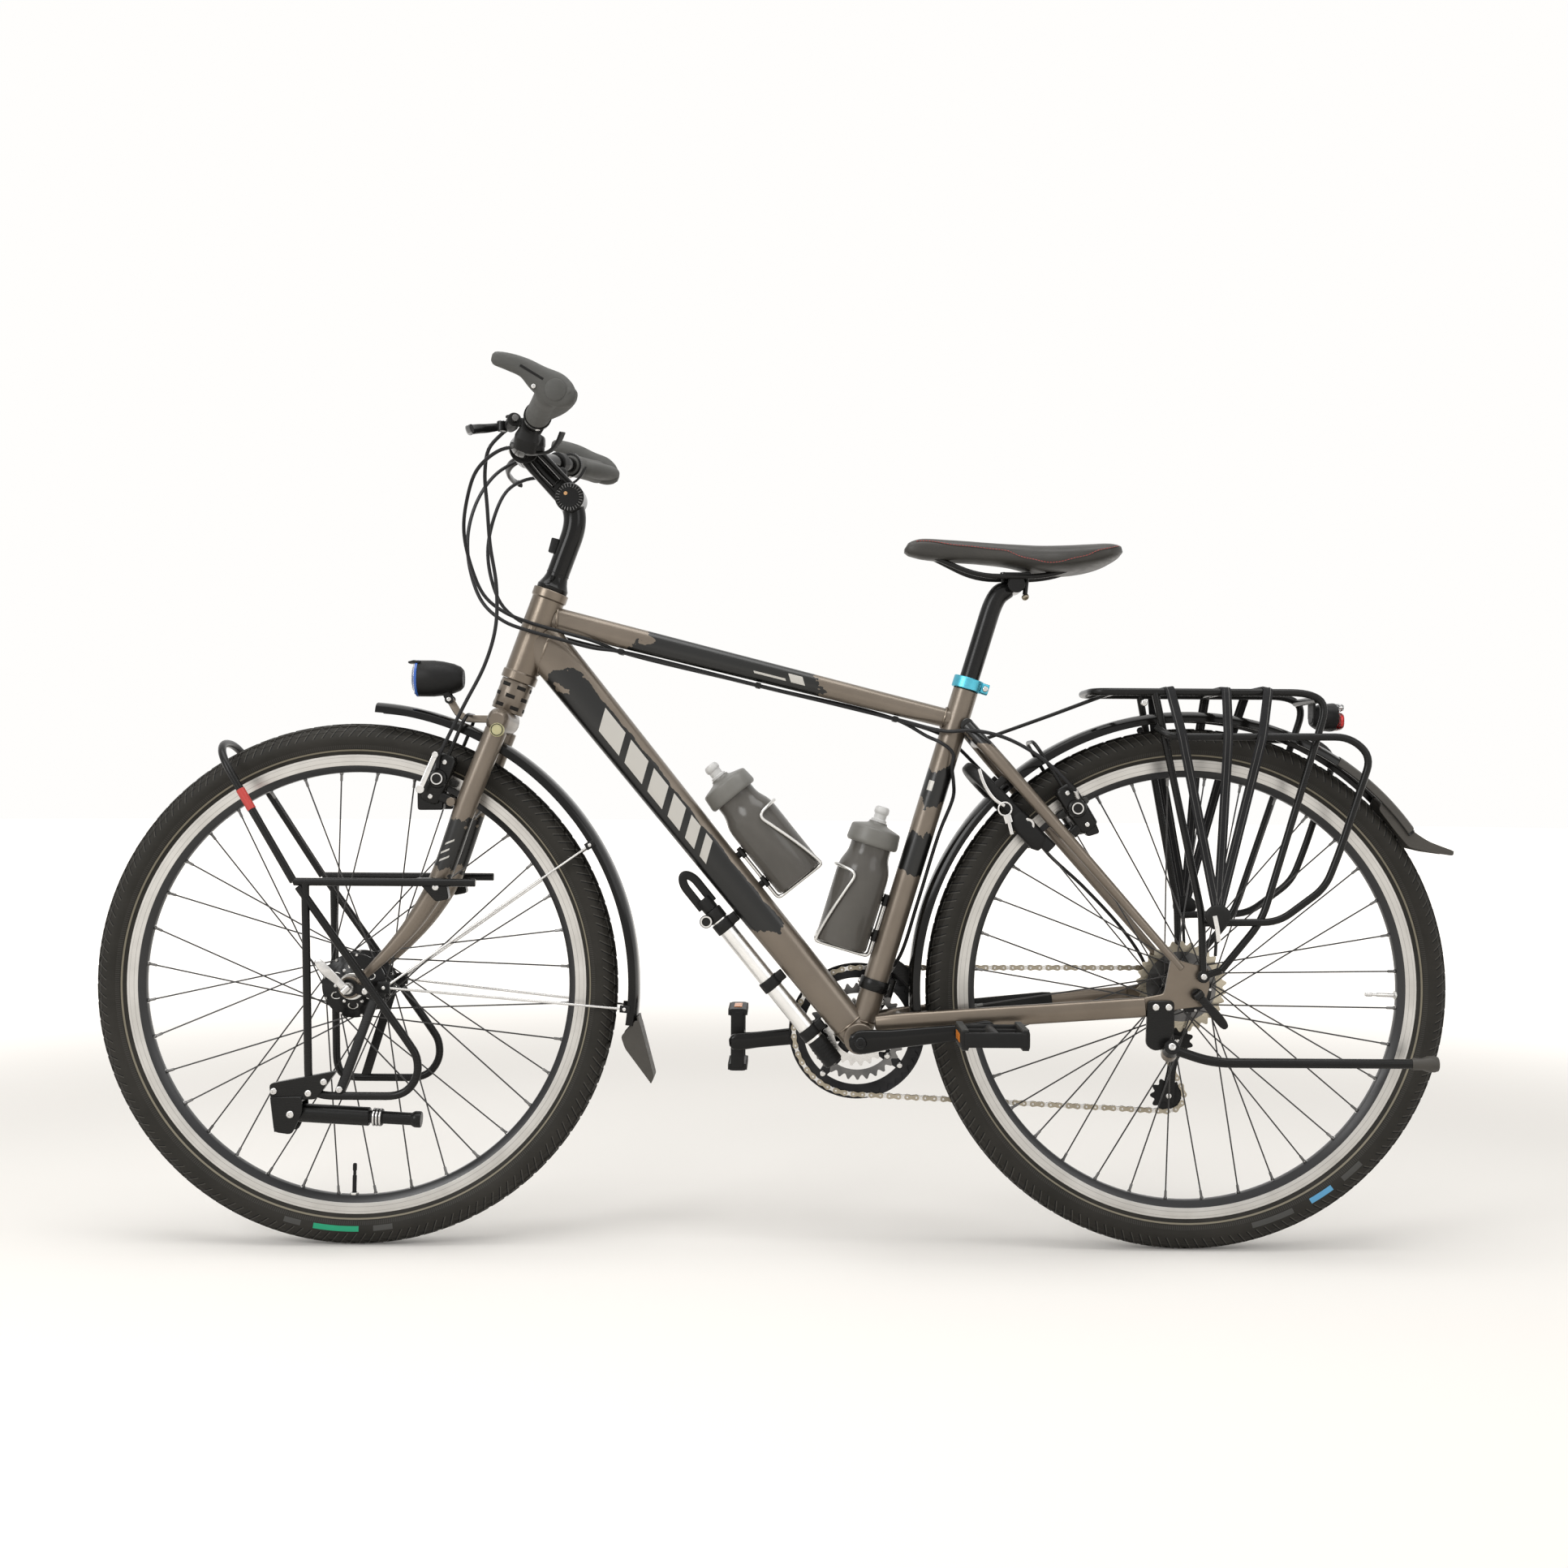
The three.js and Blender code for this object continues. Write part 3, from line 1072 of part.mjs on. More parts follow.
function rimBrake(axle, centreShares, boxShares, bossShares, archRadius) {
  const centre = near(axle, centreShares);
  const out = centre.clone().sub(axle).normalize();
  const tangent = vec(-out.z, 0, out.x);
  const bodyInner = brakeInner + brakePad.thick * 1.6;
  const bodyOuter = brakeOuter * 0.85;
  const sides = bothSides.flatMap((side) => {
    const cylinder = rod(centre.clone().setY(side * (brakeInner + brakePad.thick)),
      centre.clone().setY(side * brakeOuter), brakeCylinderRadius, frameSides);
    const middle = centre.clone().setY(side * (bodyInner + bodyOuter) / 2);
    const body = beam(middle.clone().addScaledVector(out, -brakeBodyReach),
      middle.clone().addScaledVector(out, brakeBodyReach), bodyOuter - bodyInner, brakeBodyWidth, tangent);
    const link = beam(middle.clone().addScaledVector(out, -brakeBodyReach * 0.6),
      near(axle, bossShares, side * (bodyInner + bodyOuter) / 2), bodyOuter - bodyInner, brakeLinkWidth, tangent);
    const holder = plate(boxShares.map((share) => near(axle, share)), side * bodyInner, side * brakeOuter * 0.8);
    const padCentre = centre.clone().setY(side * (brakeInner + brakePad.thick / 2));
    const ends = [-1, 1].map((end) => padCentre.clone().addScaledVector(tangent, end * brakePad.length / 2));
    const pad = beam(ends[0], ends[1], brakePad.height, brakePad.thick + overrun, right);
    return [cylinder, body, link, holder, pad];
  });
  const archAt = (y, radius) => axle.clone().addScaledVector(out, radius).setY(y);
  const low = centre.clone().sub(axle).length() + brakeBodyReach * 0.8;
  const half = [archAt(-brakeOuter * 0.7, low), archAt(-brakeOuter * 0.7, archRadius)];
  const arch = tube([...half, ...mirrored(half).reverse()], brakeHoseRadius, wireSides, brakeHoseRadius * 8, forward);
  return join(sides, arch);
}

addPiece('front_brake', cut(rimBrake(frontAxle, frontBrakeShares, frontBrakeBoxShares, frontBossShares, brakeArchRadius),
  bothSides.map((side) => forkLeg(side, gap)),
  bothSides.map((side) => rod(atFront(frontBossShares, side * legTopSpread),
    atFront(frontBossShares, side * (legTopSpread + bossLength + gap)), bossRadius + gap, thinSides))), 'black');
addPiece('rear_brake', cut(rimBrake(rearAxle, rearBrakeShares, rearBrakeBoxShares, rearBossShares, brakeArchRadius),
  seatStayRoom()), 'black');

// Axles: a skewer through each hub, with a nut on the right and the lever's cam on the left
const nutRadius = 9;
const nutLength = 9;
const camRadius = 8;
const camLength = 11;

function skewer(axle, half) {
  const outer = half + gap;
  const pin = rod(axle.clone().setY(-outer - camLength / 2), axle.clone().setY(outer + nutLength / 2), skewerRadius,
    tubeSides);
  const nut = rod(axle.clone().setY(outer), axle.clone().setY(outer + nutLength), nutRadius, thinSides);
  const cam = rod(axle.clone().setY(-outer), axle.clone().setY(-outer - camLength), camRadius, tubeSides);
  return join(pin, nut, cam);
}

const frontSkewerHalf = frontDropoutInner + forkPlateThick + lowPlateThick + gap;
const rearSkewerHalf = rearDropoutInner + dropoutThick;
addPiece('front_axle', skewer(frontAxle, frontSkewerHalf), 'alloy');
addPiece('rear_axle', skewer(rearAxle, rearSkewerHalf), 'black');

// Quick-release levers: a barrel beside the cam and a cupped blade that swings outward
const releaseLength = 56;
const releaseThick = 5;
const releaseWidth = 13;
const releaseBarrel = 5;
const releaseWidthShares = [0.8, 0.85, 1, 0.8];
const releaseThickShares = [0.8, 0.8, 0.7, 0.5];
const releaseStepShares = [[0, 0], [0.3, 0], [0.6, -0.9], [1, -0.6]];

function releaseLever(axle, half, turn) {
  const middle = axle.clone().setY(-(half + gap + camLength + gap + releaseBarrel));
  const out = vec(Math.cos(turn), 0, Math.sin(turn));
  const hingeLine = vec(-out.z, 0, out.x);
  const barrel = rod(middle.clone().addScaledVector(hingeLine, -releaseWidth / 2),
    middle.clone().addScaledVector(hingeLine, releaseWidth / 2), releaseBarrel, stemSides);
  const places = releaseStepShares.map(([along, lift]) => middle.clone()
    .addScaledVector(out, releaseLength * along).add(vec(0, releaseThick * lift, 0)));
  const blade = skin(block(1, 1), stationsAlong(places, right).map((station, i) => ({
    ...station, wide: releaseWidth * releaseWidthShares[i], tall: releaseThick * releaseThickShares[i],
  })));
  return join(barrel, blade);
}

const frontReleaseTurn = 135 * degree;
const rearReleaseTurn = -50 * degree;
addPiece('front_release_lever', releaseLever(frontAxle, frontSkewerHalf, frontReleaseTurn), 'alloy');
addPiece('rear_release_lever', releaseLever(rearAxle, rearSkewerHalf, rearReleaseTurn), 'black');

// Headlight: a round shell with a visor and a clear lens, tilting on its foot
const lampRadius = 25;
const lampLength = 68;
const lampCentreShares = [0.303, 1.176];
const lampEyeRadius = 6;
const lampEarThick = 3;
const lampEarWidth = 10;
const lampHinge = atFront(lampBracketShares[2]);

function headlight() {
  const centre = atFront(lampCentreShares);
  const half = lampLength / 2;
  const shellBody = turned([
    [0, -half], [lampRadius * 0.55, -half], [lampRadius * 0.85, -half * 0.55], [lampRadius, half * 0.2],
    [lampRadius, half * 0.92], [lampRadius * 0.9, half], [0, half],
  ], frameSides, centre, forward);
  const visor = boxAt(centre.clone().add(vec(-half * 0.95, 0, lampRadius * 0.86)),
    vec(half * 0.5, lampRadius * 1.3, lampRadius * 0.2));
  const ears = bothSides.flatMap((side) => {
    const inner = side * (lampBracketWidth / 2 + gap);
    const middle = inner + side * lampEarThick / 2;
    return [
      rod(lampHinge.clone().setY(inner), lampHinge.clone().setY(inner + side * lampEarThick), lampEyeRadius),
      beam(lampHinge.clone().setY(middle), centre.clone().setY(middle), lampEarThick, lampEarWidth, forward),
    ];
  });
  return join(shellBody, visor, ears);
}

addPiece('headlight', headlight(), 'plastic');

// Crankset: arms on one spindle, and three rings on a spider
const chainPitch = 12.7;
const pitchRadius = (teeth) => chainPitch / (2 * Math.sin(Math.PI / teeth));
const ringTeeth = [44, 32, 22];
const ringSpacing = 5.6;
const ringPlane = 53;
const ringThick = 2;
const toothHeight = 3.2;
const crankRoot = 14;
const crankTip = 11;
const crankInner = 58;
const crankThick = 15;
const crankFlare = 9;
const crankTurn = 6.5 * degree;
const spindleRadius = 11;
const leftCrank = vec(Math.cos(crankTurn), 0, Math.sin(crankTurn));
const crankset = groupAt(bracket);

function crankArm(side, direction) {
  const y = (share) => side * (crankInner + crankThick / 2 + crankFlare * share);
  const at = (share) => direction.clone().multiplyScalar(crankLength * share).setY(y(share));
  const stations = stationsAlong([at(-0.06), at(0), at(0.25), at(0.8), at(1), at(1.06)], right);
  const widths = [crankRoot * 0.7, crankRoot, crankTip * 0.9, crankTip * 0.85, crankTip, crankTip * 0.6];
  return skin(ring(1, tubeSides), stations.map((station, i) => ({
    ...station, wide: widths[i], tall: crankThick / 2,
  })));
}

function toothed(teeth, innerRadius, y, toothShare) {
  const radius = pitchRadius(teeth);
  const count = Math.round(teeth * toothShare);
  const shape = new THREE.Shape(Array.from({ length: count * 2 }, (_, i) => {
    const turn = i * Math.PI / count;
    const reach = radius + (i % 2 ? -toothHeight : toothHeight);
    return new THREE.Vector2(reach * Math.cos(turn), reach * Math.sin(turn));
  }));
  shape.holes.push(new THREE.Path().absarc(0, 0, innerRadius, 0, 2 * Math.PI));
  const geometry = new THREE.ExtrudeGeometry(shape, {
    depth: ringThick, bevelEnabled: false, curveSegments: frameSides / 2,
  });
  geometry.rotateX(Math.PI / 2);
  geometry.translate(0, y + ringThick / 2, 0);
  return solidOf(geometry);
}

const ringBands = [14, 11, 12];
const toothShares = [1, 0.5, 0.5];
const spiderArms = 4;
const spiderReach = 60;
const spiderBolt = 5;
const spiderWidth = 14;
const sleeveRadius = 15;
const sleeveInset = 3;
const sleeveInner = ringPlane - sleeveInset;

function crankArms() {
  const spindle = rod(vec(0, -crankInner - crankThick / 2, 0), vec(0, crankInner + crankThick / 2, 0), spindleRadius,
    tubeSides);
  const rightCrank = leftCrank.clone().negate();
  const pedalHoles = [[-1, leftCrank], [1, rightCrank]].map(([side, direction]) => {
    const at = direction.clone().multiplyScalar(crankLength);
    return rod(at.clone().setY(side * crankInner), at.clone().setY(side * (crankInner + crankThick + crankFlare * 2)),
      boreFor(pedalPinRadius, tubeSides), tubeSides);
  });
  return cut(join(spindle, crankArm(-1, leftCrank), crankArm(1, rightCrank)), pedalHoles);
}

function chainrings() {
  const plane = (i) => ringPlane - i * ringSpacing;
  const rings = ringTeeth.map((teeth, i) => toothed(teeth, pitchRadius(teeth) - ringBands[i], plane(i), toothShares[i]));
  const spider = Array.from({ length: spiderArms }, (_, i) => {
    const turn = crankTurn + (i + 0.5) * 2 * Math.PI / spiderArms;
    const out = vec(Math.cos(turn), 0, Math.sin(turn));
    const at = (radius, y) => out.clone().multiplyScalar(radius).setY(y);
    const reach = pitchRadius(ringTeeth[0]) - ringBands[0] / 2;
    const arm = beam(at(sleeveRadius * 0.9, ringPlane), at(reach, ringPlane), ringThick * 0.8, spiderWidth, out);
    const innerReach = pitchRadius(ringTeeth[2]) - ringBands[2] / 2;
    const webMiddle = (ringPlane + plane(2)) / 2;
    const web = beam(at(innerReach, webMiddle), at(spiderReach, webMiddle), ringPlane - plane(2), spiderBolt * 2, out);
    return [arm, web];
  }).flat();
  const sleeveBore = boreFor(spindleRadius, frameSides);
  const sleeve = turned([
    [sleeveBore, sleeveInner], [sleeveRadius, sleeveInner], [sleeveRadius, crankInner - gap],
    [sleeveBore, crankInner - gap],
  ], frameSides);
  return join(rings, spider, sleeve);
}

const pedalPinRadius = 5;
addPiece('crank_arms', crankArms(), 'black', crankset);
addPiece('chainrings', chainrings(), 'steel', crankset);

// Pedals: a frame with treads, on a pin that screws into the crank
const pedalLength = 89;
const pedalWidth = 92;
const pedalHeight = 26;
const pedalGap = 10;
const pedalWall = 11;

function pedal(side, tilt) {
  const start = crankInner + crankThick + crankFlare;
  const pinFrom = side * (start - crankThick * 0.8);
  const body = side * (start + pedalGap + pedalWidth / 2);
  const pin = rod(vec(0, pinFrom, 0), vec(0, body, 0), pedalPinRadius, tubeSides);
  const end = (x) => boxAt(vec(x * (pedalLength - pedalWall) / 2, body, 0), vec(pedalWall, pedalWidth, pedalHeight));
  const wall = (y) => boxAt(vec(0, body + y * (pedalWidth - pedalWall) / 2, 0), vec(pedalLength, pedalWall,
    pedalHeight * 0.8));
  const barrel = rod(vec(0, body - side * pedalWidth / 2, 0), vec(0, body + side * pedalWidth / 2, 0),
    pedalHeight * 0.36, tubeSides);
  const solid = join(pin, end(-1), end(1), wall(-1), wall(1), barrel);
  return solid.transform(new THREE.Matrix4().makeRotationY(tilt).toArray());
}

const pedalLeft = new THREE.Group();
pedalLeft.position.copy(bracket).addScaledVector(leftCrank, crankLength);
const pedalRight = new THREE.Group();
pedalRight.position.copy(bracket).addScaledVector(leftCrank, -crankLength);
bicycle.add(pedalLeft, pedalRight);
addPiece('pedal_left', pedal(-1, 0), 'plastic', pedalLeft);
addPiece('pedal_right', pedal(1, Math.PI / 2), 'plastic', pedalRight);

// Cassette: nine sprockets on the freewheel body
const cogTeeth = [11, 12, 14, 16, 18, 20, 23, 26, 30];
const cogPlane = 59;
const cogPitch = 4.3;
const cogThick = 1.8;
const cogSides = 12;
const cogGroove = 11;
const freeBodyRadius = 16.5;

function cassette() {
  const bore = rearAxleRadius + runningGap / 2;
  const profile = [[bore, cogPlane + cogThick / 2]];
  cogTeeth.forEach((teeth, i) => {
    const y = cogPlane - i * cogPitch;
    const reach = pitchRadius(teeth) + toothHeight * 0.4;
    profile.push([reach, y + cogThick / 2], [reach, y - cogThick / 2]);
    if (i === 0) profile.push([freeBodyRadius, y - cogThick / 2], [freeBodyRadius, y - cogPitch + cogThick / 2]);
    else if (i < cogTeeth.length - 1) profile.push([Math.max(reach - cogGroove, freeBodyRadius), y - cogPitch / 2]);
  });
  profile.push([bore, cogPlane - (cogTeeth.length - 1) * cogPitch - cogThick / 2]);
  return turned(profile.reverse(), cogSides);
}

addPiece('cassette', cassette(), 'steel', groupAt(rearAxle));

// Rear derailleur: a body below the dropout, a cage, and two guide wheels
const pulleyTeeth = 11;
const guideShares = [0.001, -0.225];
const tensionShares = [-0.030, -0.439];
const pulleyThick = 2.2;
const cageHalf = 5.6;
const cageThick = 1.8;
const cageWidth = 17;
const pulleyPin = 3;
const knuckleRadius = 13.5;
const knuckleLength = 12;
const linkThick = 10;
const guidePlace = atRear(guideShares, cogPlane);
const tensionPlace = atRear(tensionShares, cogPlane);
const knuckleAt = guidePlace.clone().add(vec(0, 0, cageWidth / 2));
const hangerShares = [[-0.02, -0.05], [0.035, -0.045], [0.05, -0.10], [0.02, -0.12], [-0.015, -0.10]];

function guideWheel() {
  const radius = pitchRadius(pulleyTeeth);
  const shape = new THREE.Shape(Array.from({ length: pulleyTeeth * 2 }, (_, i) => {
    const turn = i * Math.PI / pulleyTeeth;
    const reach = radius + (i % 2 ? -toothHeight : toothHeight * 0.7);
    return new THREE.Vector2(reach * Math.cos(turn), reach * Math.sin(turn));
  }));
  shape.holes.push(new THREE.Path().absarc(0, 0, pulleyPin + gap, 0, 2 * Math.PI));
  const geometry = new THREE.ExtrudeGeometry(shape, { depth: pulleyThick, bevelEnabled: false, curveSegments: wireSides });
  geometry.rotateX(Math.PI / 2);
  geometry.translate(0, pulleyThick / 2, 0);
  return solidOf(geometry);
}

function rearDerailleur() {
  const sides = bothSides.map((side) => {
    const y = cogPlane + side * cageHalf;
    return beam(guidePlace.clone().setY(y).add(vec(0, 0, cageWidth * 0.4)),
      tensionPlace.clone().setY(y).add(vec(0, 0, -cageWidth * 0.4)), cageThick, cageWidth, forward);
  });
  const pins = [guidePlace, tensionPlace].map((place) => rod(place.clone().setY(cogPlane - cageHalf - cageThick),
    place.clone().setY(cogPlane + cageHalf + cageThick), pulleyPin, thinSides));
  const hangerY = rearDropoutInner + dropoutThick + gap;
  const knuckle = rod(knuckleAt.clone().setY(cogPlane + cageHalf), knuckleAt.clone().setY(hangerY + knuckleLength),
    knuckleRadius);
  const link = plate([
    ...hangerShares.map((share) => atRear(share)), guidePlace.clone().add(vec(cageWidth * 0.6, 0, cageWidth * 0.4)),
    guidePlace.clone().add(vec(-cageWidth * 0.6, 0, cageWidth * 0.4)),
  ].sort((a, b) => angleFrom(a) - angleFrom(b)), hangerY, hangerY + linkThick);
  return join(sides, pins, knuckle, link);
}

const linkMiddle = atRear([0.012, -0.13]);
const angleFrom = (point) => Math.atan2(point.z - linkMiddle.z, point.x - linkMiddle.x);
addPiece('rear_derailleur', rearDerailleur(), 'black');
addPiece('guide_wheel', guideWheel(), 'plastic', groupAt(guidePlace));
addPiece('tension_wheel', guideWheel(), 'plastic', groupAt(tensionPlace));

// Chain: two side bands, joined by rollers along the free runs
const chainHalf = 4;
const plateThick = 0.9;
const plateInner = 1.6;
const chainArcStep = 32 * degree;

const rollerEvery = 7;

function chainCircles() {
  return [
    { at: bracket, radius: pitchRadius(ringTeeth[0]), sense: -1 },
    { at: rearAxle, radius: pitchRadius(cogTeeth[0]), sense: -1 },
    { at: guidePlace, radius: pitchRadius(pulleyTeeth), sense: 1 },
    { at: tensionPlace, radius: pitchRadius(pulleyTeeth), sense: -1 },
  ];
}

// The tangent from one circle to the next, for the side that the belt runs on
function tangentBetween(a, b) {
  const dx = b.at.x - a.at.x;
  const dz = b.at.z - a.at.z;
  const distance = Math.hypot(dx, dz);
  const lean = Math.asin((a.sense * a.radius - b.sense * b.radius) / distance);
  const turn = Math.atan2(dz, dx) + lean;
  const out = [Math.sin(turn), -Math.cos(turn)];
  const touch = (circle) => ({
    x: circle.at.x + out[0] * circle.radius * circle.sense, z: circle.at.z + out[1] * circle.radius * circle.sense,
  });
  return { from: touch(a), to: touch(b) };
}

function chainPath() {
  const circles = chainCircles();
  const spans = circles.map((circle, i) => tangentBetween(circle, circles[(i + 1) % circles.length]));
  const path = [];
  circles.forEach((circle, i) => {
    const arrive = spans[(i + circles.length - 1) % circles.length].to;
    const leave = spans[i].from;
    const first = Math.atan2(arrive.z - circle.at.z, arrive.x - circle.at.x);
    let sweep = Math.atan2(leave.z - circle.at.z, leave.x - circle.at.x) - first;
    while (sweep * circle.sense < 0) sweep += circle.sense * 2 * Math.PI;
    const steps = Math.max(Math.ceil(Math.abs(sweep) / chainArcStep), 2);
    for (let k = 0; k <= steps; k += 1) {
      const turn = first + sweep * k / steps;
      path.push({ x: circle.at.x + circle.radius * Math.cos(turn), z: circle.at.z + circle.radius * Math.sin(turn),
        out: [Math.cos(turn) * circle.sense, Math.sin(turn) * circle.sense] });
    }
  });
  return { path, spans };
}

function chain() {
  const { path, spans } = chainPath();
  const lane = (x) => mix(ringPlane, cogPlane, THREE.MathUtils.clamp(
    (x - bracket.x - pitchRadius(ringTeeth[0])) / (guidePlace.x - bracket.x - 2 * pitchRadius(ringTeeth[0])), 0, 1));
  const band = (side) => {
    const middle = side * (plateInner + plateThick / 2);
    const outline = block(1, 1);
    const stations = path.map(({ x, z, out }) => ({
      at: vec(x, lane(x) + middle, z), across: right, up: vec(out[0], 0, out[1]), wide: plateThick, tall: chainHalf * 2,
    }));
    return skin(outline, stations, true);
  };
  const rollers = [spans[0], spans[3]].flatMap(({ from, to }) => {
    const length = Math.hypot(to.x - from.x, to.z - from.z);
    const count = Math.floor(length / chainPitch / rollerEvery);
    return Array.from({ length: count }, (_, i) => {
      const k = (i + 1) / (count + 1);
      const at = vec(mix(from.x, to.x, k), 0, mix(from.z, to.z, k));
      const y = lane(at.x);
      return rod(at.clone().setY(y - plateInner - plateThick / 2), at.clone().setY(y + plateInner + plateThick / 2),
        chainHalf * 0.8, pinSides);
    });
  });
  return join(band(-1), band(1), rollers);
}

addPiece('chain', chain(), 'steel');

// Front derailleur: a clamp on the seat tube and a cage over the rings
const mechClampAlong = 74;
const mechClampHeight = 16;
const mechWall = 3;
const mechCageThick = 1.6;
const mechCageGap = 5.2;
const mechCageRadius = pitchRadius(ringTeeth[0]) + toothHeight + 4;
const mechCageHeight = 22;
const mechBody = vec(20, 26, 26);
const mechBodyY = 22;
const mechCageSteps = 3;
const mechCageTurns = [42 * degree, 78 * degree];
const mechArmTurn = 66 * degree;
const mechArmRadius = 4.5;
const mechPinRadius = 2.4;

function frontDerailleur() {
  const collar = turned([
    [seatTubeRadius + gap, 0], [seatTubeRadius + mechWall, 0], [seatTubeRadius + mechWall, mechClampHeight],
    [seatTubeRadius + gap, mechClampHeight],
  ], frameSides, onSeat(mechClampAlong), seatUp);
  const bodyAlong = mechClampAlong + mechClampHeight * 0.4;
  const body = boxAt(onSeat(bodyAlong, seatTubeRadius + mechWall, mechBodyY), mechBody);
  const around = (turn, lift, y) => bracket.clone()
    .addScaledVector(vec(Math.cos(turn), 0, Math.sin(turn)), mechCageRadius + lift).setY(y);
  const plates = bothSides.map((side) => {
    const y = ringPlane + side * mechCageGap;
    const stations = Array.from({ length: mechCageSteps + 1 }, (_, i) => {
      const turn = mix(mechCageTurns[0], mechCageTurns[1], i / mechCageSteps);
      const out = vec(Math.cos(turn), 0, Math.sin(turn));
      return { at: around(turn, mechCageHeight / 4, y), across: right, up: out, wide: mechCageThick, tall: mechCageHeight };
    });
    return skin(block(1, 1), stations);
  });
  const tail = (y) => around(mechCageTurns[0] * 1.04, mechCageHeight * 0.6, y);
  const tie = rod(tail(ringPlane - mechCageGap), tail(ringPlane + mechCageGap), mechPinRadius, wireSides);
  const arm = rod(onSeat(bodyAlong, seatTubeRadius, mechBodyY),
    around(mechArmTurn, mechCageHeight * 0.3, ringPlane - mechCageGap - mechArmRadius / 2), mechArmRadius, thinSides);
  return cut(join(collar, body, plates, tie, arm), seatTube(gap));
}

addPiece('front_derailleur', frontDerailleur(), 'black');

// Rear rack: a platform, legs to the dropouts, and side rails for bags
const rackTube = 5;
const rackSides = 5;
const platformHalf = 55;
const rackFootY = rearDropoutInner + dropoutThick + gap + rackTube;
const railSide = 84;
const platformFrontShares = [-0.387, 1.134];
const rackRearShares = [[0.430, 1.134], [0.496, 1.089], [0.239, 0.276], [0.088, 0.091]];
const rackLegShares = [[-0.152, 1.134], [0.014, 0.302], [0.021, 0.068]];
const rackRailShares = [[-0.146, 1.0], [-0.12, 0.963], [0.560, 0.966], [0.641, 0.894], [0.524, 0.538],
  [0.472, 0.404], [0.298, 0.274], [0.02, 0.268]];
const rackCrossShares = [-0.30, 0.10];
const rackRearCrossShares = [0.462, 1.108];
const rackStayShares = [[-0.80, 0.948], [-0.52, 1.05], [-0.30, 1.134]];
const rackStaySpreadShares = [0.25, 0.5];

function rearRack() {
  const halfPath = [
    atRear(platformFrontShares, 0), atRear(platformFrontShares, -platformHalf),
    atRear(rackRearShares[0], -platformHalf), atRear(rackRearShares[1], -platformHalf * 1.04),
    atRear(rackRearShares[2], -rackFootY), atRear(rackRearShares[3], -rackFootY),
  ];
  const left = halfPath.slice(1);
  const whole = tube([...left.slice().reverse(), ...mirrored(left)], rackTube, rackSides, rackTube * 5);
  const crosses = rackCrossShares.map((share) => rod(atRear([share, rackRearShares[0][1]], -platformHalf),
    atRear([share, rackRearShares[0][1]], platformHalf), rackTube * 0.8, rackSides));
  const rearCross = rod(atRear(rackRearCrossShares, -platformHalf), atRear(rackRearCrossShares, platformHalf), rackTube);
  const legs = bothSides.flatMap((side) => {
    const leg = tube([atRear(rackLegShares[0], side * platformHalf), atRear(rackLegShares[1], side * rackFootY),
      atRear(rackLegShares[2], side * rackFootY)], rackTube, rackSides);
    const tail = rod(atRear(rackRearShares[3], side * rackFootY), atRear(rackLegShares[2], side * rackFootY), rackTube,
      rackSides);
    const rail = tube(rackRailShares.map((share, i) => {
      const ends = [0, rackRailShares.length - 1].includes(i);
      return atRear(share, side * (ends ? rackFootY * (i ? 1 : 0.78) : railSide));
    }), rackTube, rackSides, rackTube * 4);
    const stay = skin(ring(rackTube * 0.45, wireSides), stationsAlong(rackStayShares.map((share, i) =>
      atRear(share, side * platformHalf * mix(rackStaySpreadShares[0], rackStaySpreadShares[1], i / 2)))));
    return [leg, tail, rail, stay];
  });
  return cut(join(whole, crosses, rearCross, legs), seatStayRoom(), seatStayBridge(gap));
}

addPiece('rear_rack', rearRack(), 'black');

// Elastic straps: three bands over the platform that meet at a hook on each side
const strapWidth = 13;
const strapThick = 2;
const strapTopShares = [-0.101, 0.113, 0.272];
const strapFootShares = [0.059, 0.30];
const strapHookShares = [0.054, 0.15];
const strapHookOut = 20;
const strapHookY = rackFootY + rackTube + strapHookOut;
const hookRadius = 2.2;

function straps() {
  const top = rearAxle.z + rackRearShares[0][1] * tyreRadius + rackTube + gap;
  const outline = block(strapWidth, strapThick);
  const bands = strapTopShares.map((share) => {
    const edge = platformHalf + rackTube + strapThick / 2 + gap;
    const railHeight = rackRailShares[2][1];
    const half = [
      atRear(strapFootShares, -strapHookY),
      atRear([mix(share, strapFootShares[0], 0.2), railHeight], -railSide - rackTube - strapThick - gap),
      vec(rearAxle.x + share * tyreRadius, -edge, top + strapThick / 2),
    ];
    const path = bend([...half, ...mirrored(half).reverse()], rackTube, 1);
    const across = forward;
    return skin(outline, path.map((at, i) => {
      const before = path[Math.max(i - 1, 0)];
      const after = path[Math.min(i + 1, path.length - 1)];
      const tangent = after.clone().sub(before).normalize();
      const side = across.clone().addScaledVector(tangent, -across.dot(tangent)).normalize();
      return { at, across: side, up: tangent.clone().cross(side) };
    }));
  });
  const hooks = bothSides.flatMap((side) => {
    const y = side * strapHookY;
    const fitting = boxAt(atRear(strapFootShares, y), vec(strapWidth * 2.2, strapThick * 3, strapWidth * 1.6));
    const hook = tube([atRear(strapFootShares, y), atRear([0.054, 0.226], y), atRear(strapHookShares, y - side * 6)],
      hookRadius, thinSides);
    return [fitting, hook];
  });
  return join(bands, hooks);
}

addPiece('rack_straps', straps(), 'webbing');

// Rear light on the back of the rack
const tailWidth = 74;
const tailHeight = 39;
const tailDepth = 38;
const tailHeightShare = 1.047;
const tailLens = 9;
const tailMountThick = 4;
const tailMountWidth = 30;

